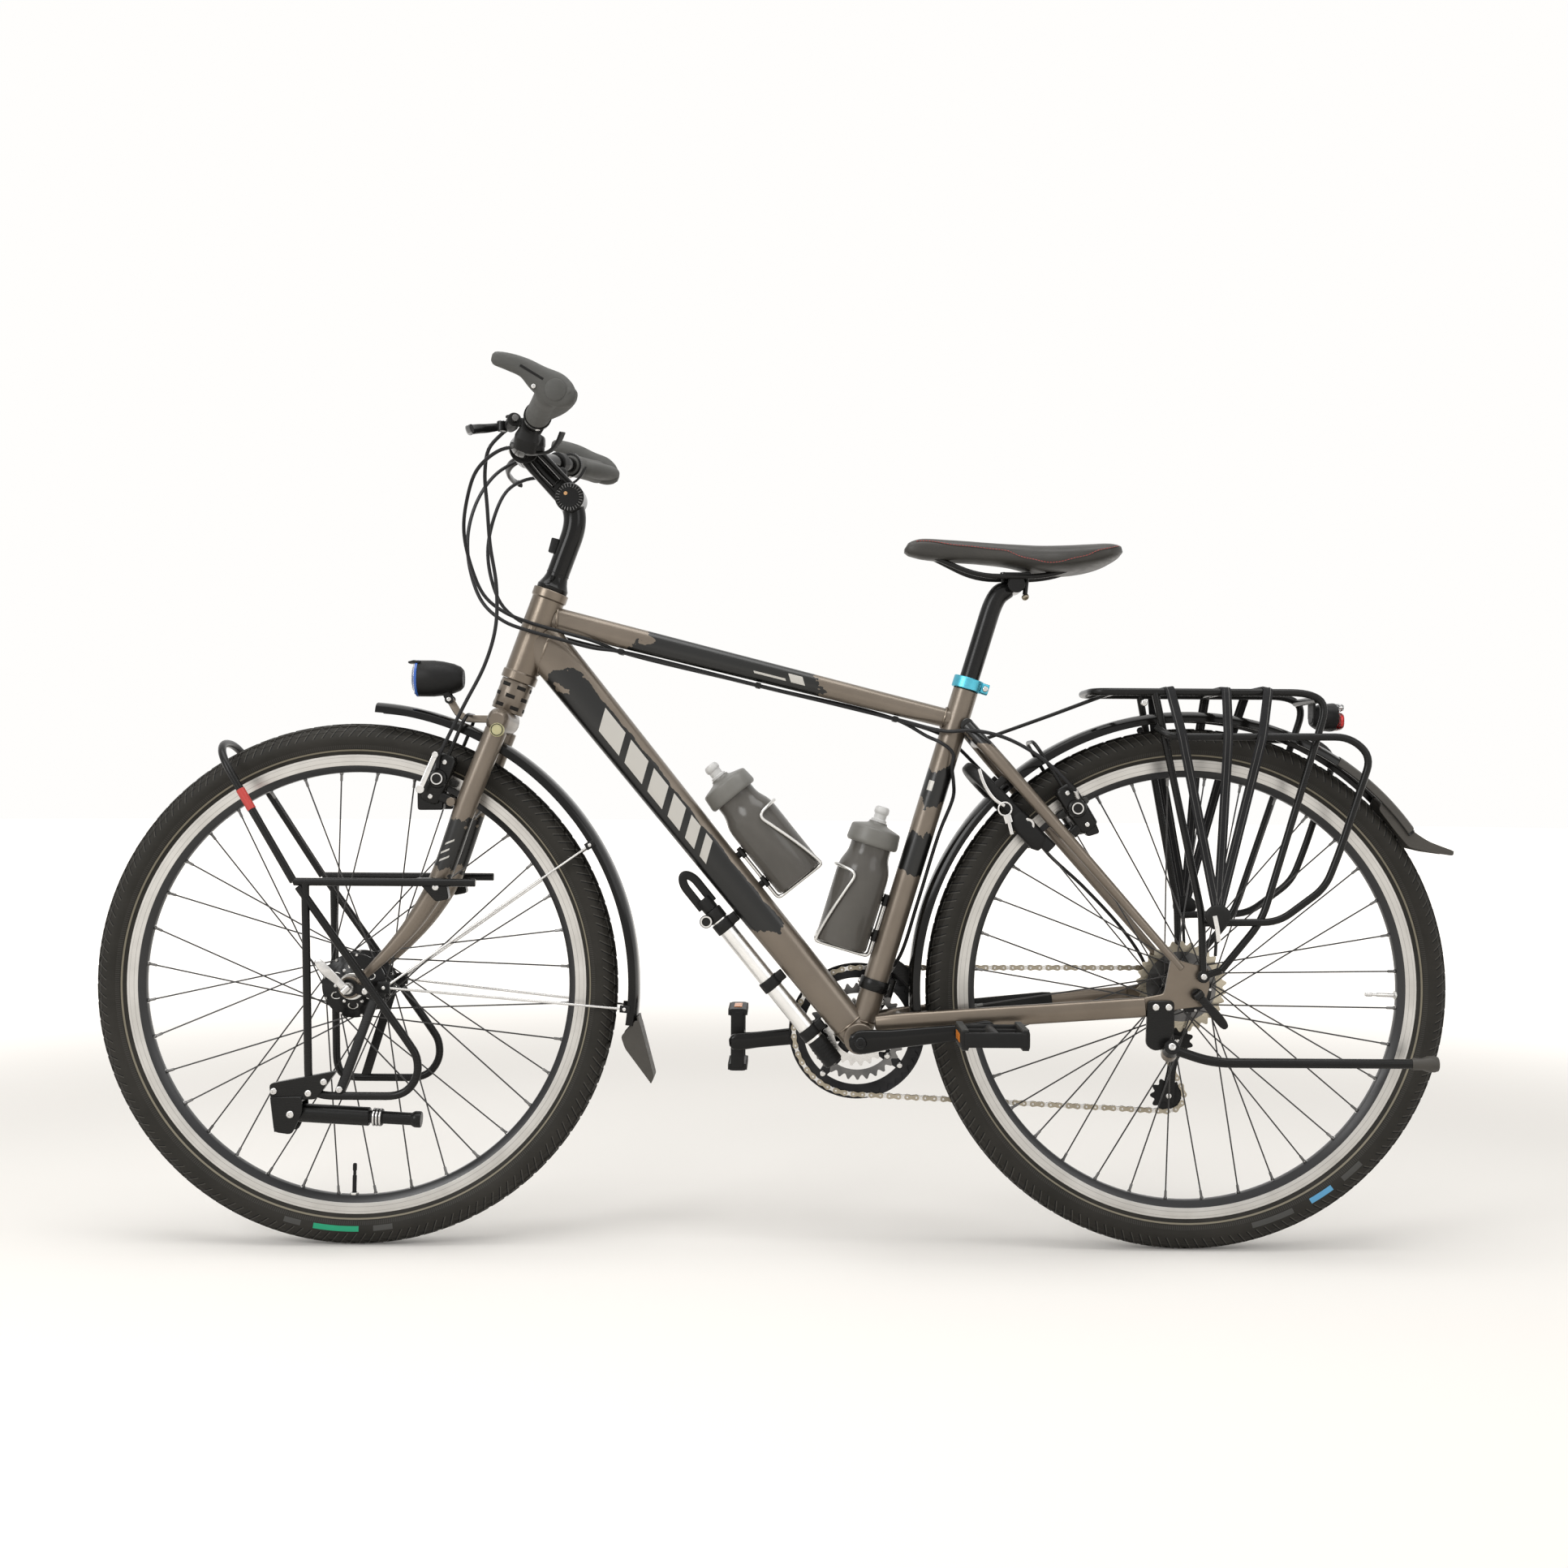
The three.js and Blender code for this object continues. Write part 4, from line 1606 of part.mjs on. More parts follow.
function rearLight() {
  const front = atRear(rackRearCrossShares).x + rackTube + gap;
  const centre = vec(front + tailDepth / 2, 0, atRear([0, tailHeightShare]).z);
  const body = skin(ring(1, frameSides), [
    { at: centre.clone().add(vec(-tailDepth / 2, 0, 0)), across: right, up: upward, wide: tailWidth * 0.2, tall: tailHeight * 0.3 },
    { at: centre.clone().add(vec(-tailDepth * 0.2, 0, 0)), across: right, up: upward, wide: tailWidth * 0.36, tall: tailHeight * 0.45 },
    { at: centre.clone().add(vec(tailDepth / 2 - tailLens, 0, 0)), across: right, up: upward, wide: tailWidth / 2, tall: tailHeight / 2 },
    { at: centre.clone().add(vec(tailDepth / 2, 0, 0)), across: right, up: upward, wide: tailWidth * 0.47, tall: tailHeight * 0.46 },
  ]);
  const crossHeight = atRear(rackRearCrossShares).z;
  const mount = boxAt(vec(front + tailMountThick / 2, 0, (crossHeight + centre.z) / 2),
    vec(tailMountThick, tailMountWidth, crossHeight - centre.z + rackTube));
  return join(body, mount);
}

addPiece('rear_light', rearLight(), 'plastic');

// Rear stand: a long leg that folds back beside the wheel
const rearStandPathShares = [[-0.105, -0.197], [0.048, -0.248], [0.883, -0.248]];
const rearStandFoot = 11;
const rearStandFootLength = 34;

function rearStandLeg() {
  const path = route(rearAxle, rearStandPathShares, rearStandY);
  const leg = tube(path, rearStandRadius, tubeSides, rearStandRadius * 4);
  const end = path[2];
  const foot = taper([end.clone().add(vec(-rearStandFootLength, 0, 0)), end.clone().add(vec(-rearStandFootLength * 0.3, 0, 0)),
    end.clone()], [rearStandRadius * 1.1, rearStandFoot, rearStandFoot * 0.8], tubeSides);
  const eye = rod(onRearStandAxis(-rearStandEyeInset), onRearStandAxis(rearStandRadius), rearStandEyeRadius, tubeSides);
  return join(leg, foot, eye);
}

addPiece('rear_stand_leg', rearStandLeg(), 'black');

// Ring lock: a horseshoe body around the rear tyre, ahead of the seat stays, with its key
const lockTurn = 134.9 * degree;
const lockInnerHalf = 36;
const lockArm = 17;
const lockFoot = 272;
const lockBridge = 402;
const lockTop = 434;
const lockHalfThick = 9;
const keyBow = 10;
const keyThick = 2.5;
const lockEarRadius = 385;
const lockEarReach = 32;
const lockEarWidth = 14;
const lockEarHeight = 12;
const keyDrop = [20, 60];
const lockInnerChamfer = 14;
const lockOuterChamfer = 26;

function ringLock() {
  const out = vec(Math.cos(lockTurn), 0, Math.sin(lockTurn));
  const across = vec(-out.z, 0, out.x);
  const outer = lockInnerHalf + lockArm;
  const shape = [[-outer, lockFoot], [-lockInnerHalf, lockFoot], [-lockInnerHalf, lockBridge - lockInnerChamfer],
    [-lockInnerHalf * 0.6, lockBridge], [lockInnerHalf * 0.6, lockBridge], [lockInnerHalf, lockBridge - lockInnerChamfer],
    [lockInnerHalf, lockFoot], [outer, lockFoot], [outer, lockTop - lockOuterChamfer], [outer * 0.62, lockTop],
    [-outer * 0.62, lockTop], [-outer, lockTop - lockOuterChamfer]];
  const station = (offset) => ({ at: rearAxle.clone().addScaledVector(across, offset), across: right, up: out });
  const body = skin(shape, [station(-lockHalfThick), station(lockHalfThick)]);
  const keyAt = (radius, offset = 0) => rearAxle.clone().addScaledVector(out, radius).addScaledVector(across, offset);
  const key = beam(keyAt(lockTop - keyDrop[0]).setY(-outer + keyThick), keyAt(lockTop - keyDrop[1]).setY(-outer - keyThick),
    keyBow, keyThick * 2, forward);
  const ears = bothSides.map((side) => beam(keyAt(lockEarRadius, -lockHalfThick / 2).setY(side * (outer - lockArm / 2)),
    keyAt(lockEarRadius, -lockEarReach).setY(side * (outer - lockArm / 2)), lockEarWidth, lockEarHeight, right));
  return cut(join(body, key, ears), seatStayRoom());
}

addPiece('ring_lock', ringLock(), 'plastic');

// Bottles in wire cages, on the down tube and on the seat tube
const bottleRadius = 36.5;
const bottleBody = 128;
const bottleShoulder = 16;
const bottleCap = 34;
const bottleNozzle = 22;
const cageWire = 2.2;
const cageSides = 4;
const cageBandSteps = 6;
const cageBoltRadius = 4;
const cageClear = 0.8;
const cageWireShares = [
  // along the body, and round the bottle from its far side
  [0.86, 0.82], [0.81, 0.73], [0.76, 0.64], [0.70, 0.55], [0.63, 0.46], [0.54, 0.37], [0.42, 0.29], [0.24, 0.21], [0.0, 0.16],
];
const cageBandShares = [[0.3, 0.32], [0.86, 0.18]];
const downLine = bracket.clone().sub(downTubeStart).normalize();
const bottleDownAlong = 220;
const bottleDownOffset = 74;
const bottleSeatAlong = 112;
const bottleSeatOffset = 61;
const downAside = vec(-downLine.z, 0, downLine.x);
const downUp = downLine.clone().negate();
const bottleDownBase = bracket.clone().addScaledVector(downUp, bottleDownAlong).addScaledVector(downAside, bottleDownOffset);
const bottleSeatBase = onSeat(bottleSeatAlong, -bottleSeatOffset);

function bottle(base, up) {
  const neck = bottleBody + bottleShoulder;
  return turned([
    [0, 0], [bottleRadius * 0.94, 0], [bottleRadius, bottleRadius * 0.12], [bottleRadius, bottleBody * 0.68],
    [bottleRadius * 0.9, bottleBody * 0.74], [bottleRadius * 0.9, bottleBody * 0.82], [bottleRadius, bottleBody * 0.9],
    [bottleRadius * 0.9, neck], [bottleRadius * 0.88, neck + bottleCap * 0.6], [bottleRadius * 0.5, neck + bottleCap],
    [bottleRadius * 0.3, neck + bottleCap], [bottleRadius * 0.27, neck + bottleCap + bottleNozzle],
    [0, neck + bottleCap + bottleNozzle],
  ], frameSides, base, up);
}

function bottleCage(base, up, away, carrier, offset) {
  const side = vec(0, 1, 0);
  const reach = bottleRadius + cageClear + cageWire;
  const at = (along, turn, radius = reach) => base.clone().addScaledVector(up, along)
    .addScaledVector(away, radius * Math.cos(turn)).addScaledVector(side, radius * Math.sin(turn));
  const spineOut = reach + cageWire / 2;
  const low = -cageWire - cageClear;
  const spineFrom = at(low - cageWire, Math.PI, spineOut);
  const spineTo = at(bottleBody * cageWireShares[0][0], Math.PI, spineOut);
  const spine = beam(spineFrom, spineTo, cageWire * 2, cageWire * 5, side);
  const bolts = [0.28, 0.72].map((share) => {
    const middle = spineFrom.clone().lerp(spineTo, share);
    return cut(rod(middle, middle.clone().addScaledVector(away, spineOut - offset), cageBoltRadius, thinSides), carrier);
  });
  const wires = bothSides.map((hand) => skin(ring(cageWire, cageSides), stationsAlong([
    ...cageWireShares.map(([along, turn]) => at(low + (bottleBody - low) * along, hand * Math.PI * turn)),
    at(low, hand * Math.PI * 0.25, reach * 0.3),
  ], away)));
  const shelf = beam(at(low, 0, reach * 0.5), at(low, Math.PI, spineOut), cageWire * 2, cageWire * 8, side);
  const bands = cageBandShares.map(([along, turn]) => {
    const turns = Array.from({ length: cageBandSteps + 1 }, (_, i) => mix(-turn, turn, i / cageBandSteps));
    return skin(ring(cageWire, cageSides),
      stationsAlong(turns.map((share) => at(bottleBody * along, Math.PI * (1 + share))), up));
  });
  return join(spine, bolts, wires, shelf, bands);
}

const seatAhead = vec(-seatUp.z, 0, seatUp.x);
addPiece('bottle_lower', bottle(bottleSeatBase, seatUp), 'bottle');
addPiece('bottle_upper', bottle(bottleDownBase, downUp), 'bottle');
addPiece('cage_seat_tube', bottleCage(bottleSeatBase, seatUp, seatAhead, seatTube(gap), bottleSeatOffset), 'alloy');
addPiece('cage_down_tube', bottleCage(bottleDownBase, downUp, downAside, downTube(gap), bottleDownOffset), 'alloy');

// Pump below the down tube: a barrel with brackets, and the handle that pulls out of it
const pumpOffset = 49;
const pumpRadius = 12;
const pumpLow = -8;
const pumpTop = 262;
const pumpEnd = 326;
const pumpFoot = 40;
const pumpHandleRadius = 9;
const pumpLoopFoot = 8;
const pumpLoopDrop = 12;
const pumpAt = (along, offset = pumpOffset, y = 0) => bracket.clone().addScaledVector(downUp, along)
  .addScaledVector(downAside, -offset).setY(y);

function pumpBarrel() {
  const barrel = rod(pumpAt(pumpLow), pumpAt(pumpTop), pumpRadius, tubeSides);
  const foot = rod(pumpAt(pumpLow), pumpAt(pumpLow + pumpFoot), pumpRadius * 1.12, tubeSides);
  const clips = [0.2, 0.52, 0.9].map((share) => {
    const along = mix(pumpLow, pumpTop, share);
    return beam(pumpAt(along), pumpAt(along, mix(downTubeFront, downTubeRear, 0.6) * 0.9), pumpRadius * 1.4, pumpRadius * 1.6);
  });
  return cut(join(barrel, foot, clips), downTube(gap), shell(gap));
}

function pumpHandle() {
  const from = pumpTop + gap;
  const neck = rod(pumpAt(from), pumpAt(from + (pumpEnd - pumpTop) * 0.3), pumpRadius * 0.9, tubeSides);
  const loopHalf = pumpHandleRadius;
  const loop = tube([pumpAt(from + pumpLoopFoot, pumpOffset - loopHalf), pumpAt(pumpEnd - pumpLoopDrop, pumpOffset - loopHalf),
    pumpAt(pumpEnd, pumpOffset), pumpAt(pumpEnd - pumpLoopDrop, pumpOffset + loopHalf), pumpAt(from + pumpLoopFoot, pumpOffset + loopHalf)],
  pumpHandleRadius * 0.45, thinSides, pumpHandleRadius);
  return join(neck, loop);
}

addPiece('pump_barrel', pumpBarrel(), 'alloy');
addPiece('pump_handle', pumpHandle(), 'plastic');

// Cables: a hose or a shift cable from each lever, and three of them clipped under the top tube.
// Their points are in millimetres from the ground below the middle of the machine.
const hoseRadius = 2.5;
const hoseEndGap = 1.3;
const cableSides = 4;
const laneSpread = 7.2;
const laneDrop = topTubeFront + hoseRadius * 2;
const clipShares = [0.2, 0.53, 0.86];
const topLine = topTubeEnd.clone().sub(topTubeStart).normalize();
const topDown = vec(topLine.z, 0, -topLine.x);
const topLength = topTubeStart.distanceTo(topTubeEnd);
const lanePoint = (share, lane) => topTubeStart.clone().addScaledVector(topLine, topLength * share)
  .addScaledVector(topDown, laneDrop - (topTubeFront - topTubeRear) * share).setY(lane * laneSpread);
const lanePoints = (lane) => clipShares.map((share) => lanePoint(share, lane));

const cableRoutes = {
  rearBrakeFront: [[-372, 98, 1098], [-402, 84, 1078], [-424, 45, 1034], [-432, 8, 978], [-424, -16, 925],
    [-404, -30, 880], [-374, -37, 855], [-338, -37, 842], [-300, -34, 832], [-255, -23, 821]],
  rearBrakeBack: [[228, -26, 710], [262, -43, 711], [300, -52, 703], [335, -62, 686], [365, -68, 664],
    [388, -67, 642], [401, -58, 628]],
  frontShiftFront: [[-371, -118, 1073], [-402, -98, 1052], [-420, -70, 1018], [-428, -48, 975], [-418, -38, 925],
    [-402, -31, 890], [-376, -30, 869], [-342, -30, 855], [-300, -28, 843], [-255, -14, 831]],
  frontShiftBack: [[204, -12, 703], [222, -24, 694], [238, -26, 680], [237, -24, 660], [240, -15, 640], [241, 0, 620]],
  rearShiftFront: [[-367, 118, 1073], [-390, 88, 1052], [-404, 60, 1010], [-410, 44, 960], [-402, 36, 915],
    [-388, 33, 884], [-366, 31, 864], [-336, 30, 850], [-300, 29, 838], [-255, 20, 826]],
  rearShiftBack: [[228, 28, 706], [250, 40, 690], [280, 55, 662], [310, 61, 632], [345, 63, 592], [377, 63, 545],
    [433, 70, 493], [490, 82, 433], [520, 87, 390], [537, 87, 345], [545, 83, 312]],
  frontBrake: [[-371, -98, 1098], [-388, -92, 1080], [-394, -86, 1050], [-392, -78, 1005], [-389, -70, 955],
    [-381, -65, 900], [-382, -64, 845], [-396, -64, 795], [-424, -62, 740], [-447, -58, 695], [-459, -54.5, 670]],
};
const cableShift = 7.697;
const cablePoints = (name) => cableRoutes[name].map(([x, y, z]) => vec(x + cableShift, y, z));
const cable = (points, radius = hoseRadius) => skin(ring(radius, cableSides), stationsAlong(
  new THREE.CatmullRomCurve3(points, false, 'centripetal').getPoints(Math.round(points.length * 1.15)), right));
const masterExit = (side) => {
  const { clampAt, barLine } = leverPlaces(side);
  return clampAt.addScaledVector(barLine, -masterLength / 2 - hoseEndGap).add(vec(-masterAhead * 0.9, 0, masterAbove));
};
const podExit = (side) => leverPlaces(side).shifter.add(vec(-shifterRadius - hoseEndGap, 0, 0));
const cylinderTop = (centre) => centre.clone().add(vec(0, 0, brakeCylinderRadius + hoseEndGap))
  .setY(-brakeOuter + brakeCylinderRadius / 2);

function frameCables() {
  const brake = cable([masterExit(1), ...cablePoints('rearBrakeFront'), ...lanePoints(-1),
    ...cablePoints('rearBrakeBack'), cylinderTop(atRear(rearBrakeShares))]);
  const mechTop = onSeat(mechClampAlong + mechClampHeight * 0.4, seatTubeRadius + mechWall, mechBodyY)
    .add(vec(0, 0, mechBody.z / 2 + hoseEndGap));
  const behind = seatTubeRadius + hoseRadius * 2.4;
  const frontShift = cable([podExit(-1), ...cablePoints('frontShiftFront'), ...lanePoints(0),
    ...cablePoints('frontShiftBack'), onSeat(seatTubeLength * 0.6, behind), onSeat(seatTubeLength * 0.4, behind),
    onSeat(seatTubeLength * 0.25, behind, mechBodyY / 2), mechTop]);
  const rearShift = cable([podExit(1), ...cablePoints('rearShiftFront'), ...lanePoints(1),
    ...cablePoints('rearShiftBack'), knuckleAt.clone().add(vec(-knuckleRadius - hoseEndGap, 0, 0))
      .setY(rearDropoutInner + dropoutThick + knuckleLength / 2)]);
  const clips = clipShares.map((share) => {
    const at = lanePoint(share, 0);
    return cut(beam(at.clone().setY(-laneSpread * 1.5), at.clone().setY(laneSpread * 1.5), hoseRadius * 3,
      hoseRadius * 3, topDown), topTube(gap));
  });
  return join(brake, frontShift, rearShift, clips);
}

addPiece('frame_cables', frameCables(), 'plastic');
addPiece('front_brake_hose', cable([masterExit(-1), ...cablePoints('frontBrake'),
  cylinderTop(atFront(frontBrakeShares))]), 'plastic');

// The origin lies on the ground, below the middle of the whole
const box = new THREE.Box3().setFromObject(bicycle);
bicycle.position.set(-(box.min.x + box.max.x) / 2, -(box.min.y + box.max.y) / 2, -box.min.z);

export default bicycle;
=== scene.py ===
import math

import bmesh
import bpy
from mathutils import Euler, Matrix, Vector


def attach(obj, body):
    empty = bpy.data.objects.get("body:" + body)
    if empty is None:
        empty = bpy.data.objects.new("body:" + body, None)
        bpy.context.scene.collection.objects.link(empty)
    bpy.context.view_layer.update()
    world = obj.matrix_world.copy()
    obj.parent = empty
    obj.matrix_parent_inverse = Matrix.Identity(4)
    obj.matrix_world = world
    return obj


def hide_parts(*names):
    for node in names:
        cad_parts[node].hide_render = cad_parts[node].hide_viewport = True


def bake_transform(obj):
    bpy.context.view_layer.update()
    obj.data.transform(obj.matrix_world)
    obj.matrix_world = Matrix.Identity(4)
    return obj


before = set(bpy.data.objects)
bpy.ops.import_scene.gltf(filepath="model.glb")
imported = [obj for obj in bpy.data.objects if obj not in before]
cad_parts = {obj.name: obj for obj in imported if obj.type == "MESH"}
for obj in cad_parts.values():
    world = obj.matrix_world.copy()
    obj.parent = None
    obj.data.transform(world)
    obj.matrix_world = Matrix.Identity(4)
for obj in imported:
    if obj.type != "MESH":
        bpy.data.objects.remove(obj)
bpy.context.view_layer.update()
scene = bpy.context.scene
scene.view_settings.view_transform = "Standard"

# Camera: level, 2.6 m to the left of the bicycle, with the photograph's small roll.
# Sizes in this file are in millimetres, and each mesh is written in metres. -X is ahead.
MM = 0.001
CAMERA_PLACE = (7.5, -2600, 636.5)
CAMERA_LENS = 43.27
CAMERA_ROLL = 0.00617

camera = bpy.data.objects.new("camera", bpy.data.cameras.new("camera"))
camera.data.lens = CAMERA_LENS
camera.data.sensor_width = 36
camera.data.clip_end = 60
across = Vector((1, 0, CAMERA_ROLL)).normalized()
upright = Vector((-CAMERA_ROLL, 0, 1)).normalized()
back = across.cross(upright)
stand = Matrix((across, upright, back)).transposed().to_4x4()
camera.matrix_world = Matrix.Translation(Vector(CAMERA_PLACE) * MM) @ stand
scene.collection.objects.link(camera)
scene.camera = camera


# Studio: a round pale floor that keeps the shadow and fades to white far away, in
# a white room with three large soft lamps.
FLOOR_RADIUS = 30000
FLOOR_SIDES = 96
LIT_REACH = (1.5, 4.2)
PAPER = (0.86, 0.835, 0.795, 1)
PAPER_LIFT = (1, 0.97, 0.93, 1)
PAPER_LIFT_STRENGTH = 0.11
FAR_LIFT_STRENGTH = 0.9
ROOM_RISE = (-0.25, 0.9)
ROOM_STRENGTHS = (0.07, 0.62)
ROOM_WHITE = (1, 0.99, 0.975, 1)


def link(tree, source, target):
    tree.links.new(source, target)


def add_node(tree, kind, **values):
    node = tree.nodes.new(kind)
    for name, value in values.items():
        setattr(node, name, value)
    return node


def math_node(tree, operation, first, second=None):
    node = add_node(tree, "ShaderNodeMath", operation=operation)
    for value, socket in ((first, node.inputs[0]), (second, node.inputs[1])):
        if isinstance(value, (int, float)):
            socket.default_value = value
        elif value is not None:
            link(tree, value, socket)
    return node.outputs[0]


def level(tree, amount, low, high, start=0.3, end=0.7, **values):
    """The amount stretched from start..end to low..high."""
    change = add_node(tree, "ShaderNodeMapRange", **values)
    for name, value in (("From Min", start), ("From Max", end), ("To Min", low), ("To Max", high)):
        change.inputs[name].default_value = value
    link(tree, amount, change.inputs["Value"])
    return change.outputs["Result"]


def seen_directly(tree):
    """1 where the camera, a reflection or a clear body looks at the surface."""
    path = add_node(tree, "ShaderNodeLightPath")
    total = path.outputs["Is Camera Ray"]
    for name in ("Is Glossy Ray", "Is Transmission Ray"):
        total = math_node(tree, "MAXIMUM", total, path.outputs[name])
    return total


def make_floor():
    """A round floor that keeps the shadow and turns plain white far away, like the room."""
    points = []
    for i in range(FLOOR_SIDES):
        turn = i * math.tau / FLOOR_SIDES
        points.append((FLOOR_RADIUS * MM * math.cos(turn), FLOOR_RADIUS * MM * math.sin(turn), 0))
    mesh = bpy.data.meshes.new("studio_paper")
    mesh.from_pydata(points, [], [tuple(range(FLOOR_SIDES))])
    paper = bpy.data.objects.new("studio_paper", mesh)
    scene.collection.objects.link(paper)
    finish = bpy.data.materials.new("studio_paper")
    finish.use_nodes = True
    tree = finish.node_tree
    surface = tree.nodes["Principled BSDF"]
    for name, value in (("Base Color", PAPER), ("Roughness", 0.95), ("Specular IOR Level", 0.1),
                        ("Emission Color", PAPER_LIFT)):
        surface.inputs[name].default_value = value
    place = add_node(tree, "ShaderNodeTexCoord")
    far = add_node(tree, "ShaderNodeVectorMath", operation="LENGTH")
    link(tree, place.outputs["Object"], far.inputs[0])
    fade = level(tree, far.outputs["Value"], PAPER_LIFT_STRENGTH, FAR_LIFT_STRENGTH, *LIT_REACH,
                 interpolation_type="SMOOTHSTEP")
    link(tree, math_node(tree, "MULTIPLY", seen_directly(tree), fade),
         surface.inputs["Emission Strength"])
    mesh.materials.append(finish)


make_floor()

world = bpy.data.worlds.new("white_room")
world.use_nodes = True
scene.world = world
room = world.node_tree
room.nodes.clear()
room_light = add_node(room, "ShaderNodeBackground")
room_seen = add_node(room, "ShaderNodeBackground")
for background in (room_light, room_seen):
    background.inputs["Color"].default_value = ROOM_WHITE
room_place = add_node(room, "ShaderNodeTexCoord")
room_split = add_node(room, "ShaderNodeSeparateXYZ")
link(room, room_place.outputs["Generated"], room_split.inputs[0])
link(room, level(room, room_split.outputs["Z"], *ROOM_STRENGTHS, *ROOM_RISE),
     room_light.inputs["Strength"])
room_mix = add_node(room, "ShaderNodeMixShader")
room_out = add_node(room, "ShaderNodeOutputWorld")
link(room, seen_directly(room), room_mix.inputs[0])
link(room, room_light.outputs[0], room_mix.inputs[1])
link(room, room_seen.outputs[0], room_mix.inputs[2])
link(room, room_mix.outputs[0], room_out.inputs["Surface"])

SOFT_LAMPS = {"lamp_over": ((0, -400, 2900), (0, 0, 500), (3200, 1500), 46),
              "lamp_left": ((-2300, -2500, 2100), (-200, 0, 600), (1500, 1500), 44),
              "lamp_right": ((2400, -2400, 1800), (300, 0, 500), (1500, 1500), 12)}
for lamp_name, (place, aim, size, power) in SOFT_LAMPS.items():
    light = bpy.data.lights.new(lamp_name, "AREA")
    light.shape = "RECTANGLE"
    light.size, light.size_y = size[0] * MM, size[1] * MM
    light.energy = power
    lamp = bpy.data.objects.new(lamp_name, light)
    lamp.location = Vector(place) * MM
    lamp.rotation_euler = (Vector(aim) - Vector(place)).to_track_quat("-Z", "Y").to_euler()
    scene.collection.objects.link(lamp)


# Tyres: 47 mm touring tyres with a closed centre rib, cut shoulder blocks, a pale
# reflecting line above the rim and plain coloured patches. On the side wall the cuts are
# painted shade with a painted highlight on each lip, and the fine ribs are a painted sheen.
# The tread blocks are one small block that Geometry Nodes sets round the tyre, and the carcass is
# turned.
FRONT_AXLE = Vector((-577.547, 0, 358))
REAR_AXLE = Vector((562.153, 0, 358))
RIGHT = Vector((0, 1, 0))
UP = Vector((0, 0, 1))
FORWARD = Vector((-1, 0, 0))
WHEELS = (("front", FRONT_AXLE), ("rear", REAR_AXLE))
SIDES = (-1, 1)
HANDS = ((-1, "left"), (1, "right"))
TYRE_RADIUS = 358
TREAD_DEPTH = 2.2
TREAD_COUNT = 88
TYRE_SECTION = ((306.6, -10.2), (311, -11.4), (316.5, -12.8), (319, -14.6), (322.5, -17.8),
                (328, -21.2), (334, -23), (340, -23.1), (345.5, -21.2), (350, -17.4), (353.4, -12),
                (355.2, -6), (355.8, 0),)


def turned(profile, at, axis=RIGHT, sides=48):
    """A turned solid: its profile of radius and place along the axis ends on the axis or is closed."""
    axis = Vector(axis).normalized()
    turn = Vector((0, 1, 0)).rotation_difference(axis).to_matrix()
    points = []
    faces = []
    count = len(profile)
    for i in range(sides):
        angle = 2 * math.pi * i / sides
        for radius, place in profile:
            local = Vector((radius * math.cos(angle), place, radius * math.sin(angle)))
            points.append(turn @ local + at)
        for j in range(count - 1):
            a = i * count + j
            b = (i + 1) % sides * count + j
            faces.append((a, a + 1, b + 1, b))
    return points, faces


def skinned(rings, looped=False):
    """A skin over rings of points. It runs back to the first ring, or both its ends are closed."""
    count = len(rings[0])
    points = [point for ring in rings for point in ring]
    faces = []
    for i in range(len(rings) if looped else len(rings) - 1):
        after = (i + 1) % len(rings)
        for k in range(count):
            n = (k + 1) % count
            faces.append((i * count + k, i * count + n, after * count + n, after * count + k))
    if not looped:
        faces.append(tuple(range(count))[::-1])
        faces.append(tuple((len(rings) - 1) * count + k for k in range(count)))
    return points, faces


def mirrored(half):
    """A profile of radius and place, followed by its mirror image."""
    return (*half, *((radius, -place) for radius, place in reversed(half)))


def ray(turn):
    """The way out from an axle at a turn, counted from the rear and up."""
    return Vector((math.cos(turn), 0, math.sin(turn)))


def merged(*shapes):
    points = []
    faces = []
    for shape in shapes:
        base = len(points)
        points.extend(shape[0])
        faces.extend(tuple(base + i for i in face) for face in shape[1])
    return points, faces


WELD_GAP = 0.01


def mesh_of(name, shape, smooth=38):
    """A mesh in metres, welded, with its faces turned outwards and its sharp edges marked."""
    mesh = bpy.data.meshes.new(name)
    mesh.from_pydata([Vector(point) * MM for point in shape[0]], [], shape[1])
    work = bmesh.new()
    work.from_mesh(mesh)
    bmesh.ops.remove_doubles(work, verts=work.verts, dist=WELD_GAP * MM)
    bmesh.ops.dissolve_degenerate(work, edges=work.edges, dist=WELD_GAP * MM / 2)
    bmesh.ops.recalc_face_normals(work, faces=work.faces)
    work.to_mesh(mesh)
    work.free()
    mesh.shade_smooth()
    mesh.set_sharp_from_angle(angle=math.radians(smooth))
    return mesh


def piece(name, shape, body, finish, nodes=(), smooth=38):
    """A finished piece that rides on a body and may stand for CAD nodes. A list of shapes is joined."""
    if isinstance(shape, list):
        shape = merged(*shape)
    mesh = shape if isinstance(shape, bpy.types.Mesh) else mesh_of(name, shape, smooth)
    mesh.materials.clear()
    for layer in finish if isinstance(finish, (list, tuple)) else (finish,):
        mesh.materials.append(layer)
    made = bpy.data.objects.new(name, mesh)
    scene.collection.objects.link(made)
    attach(made, body)
    if nodes:
        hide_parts(*nodes)
    return made


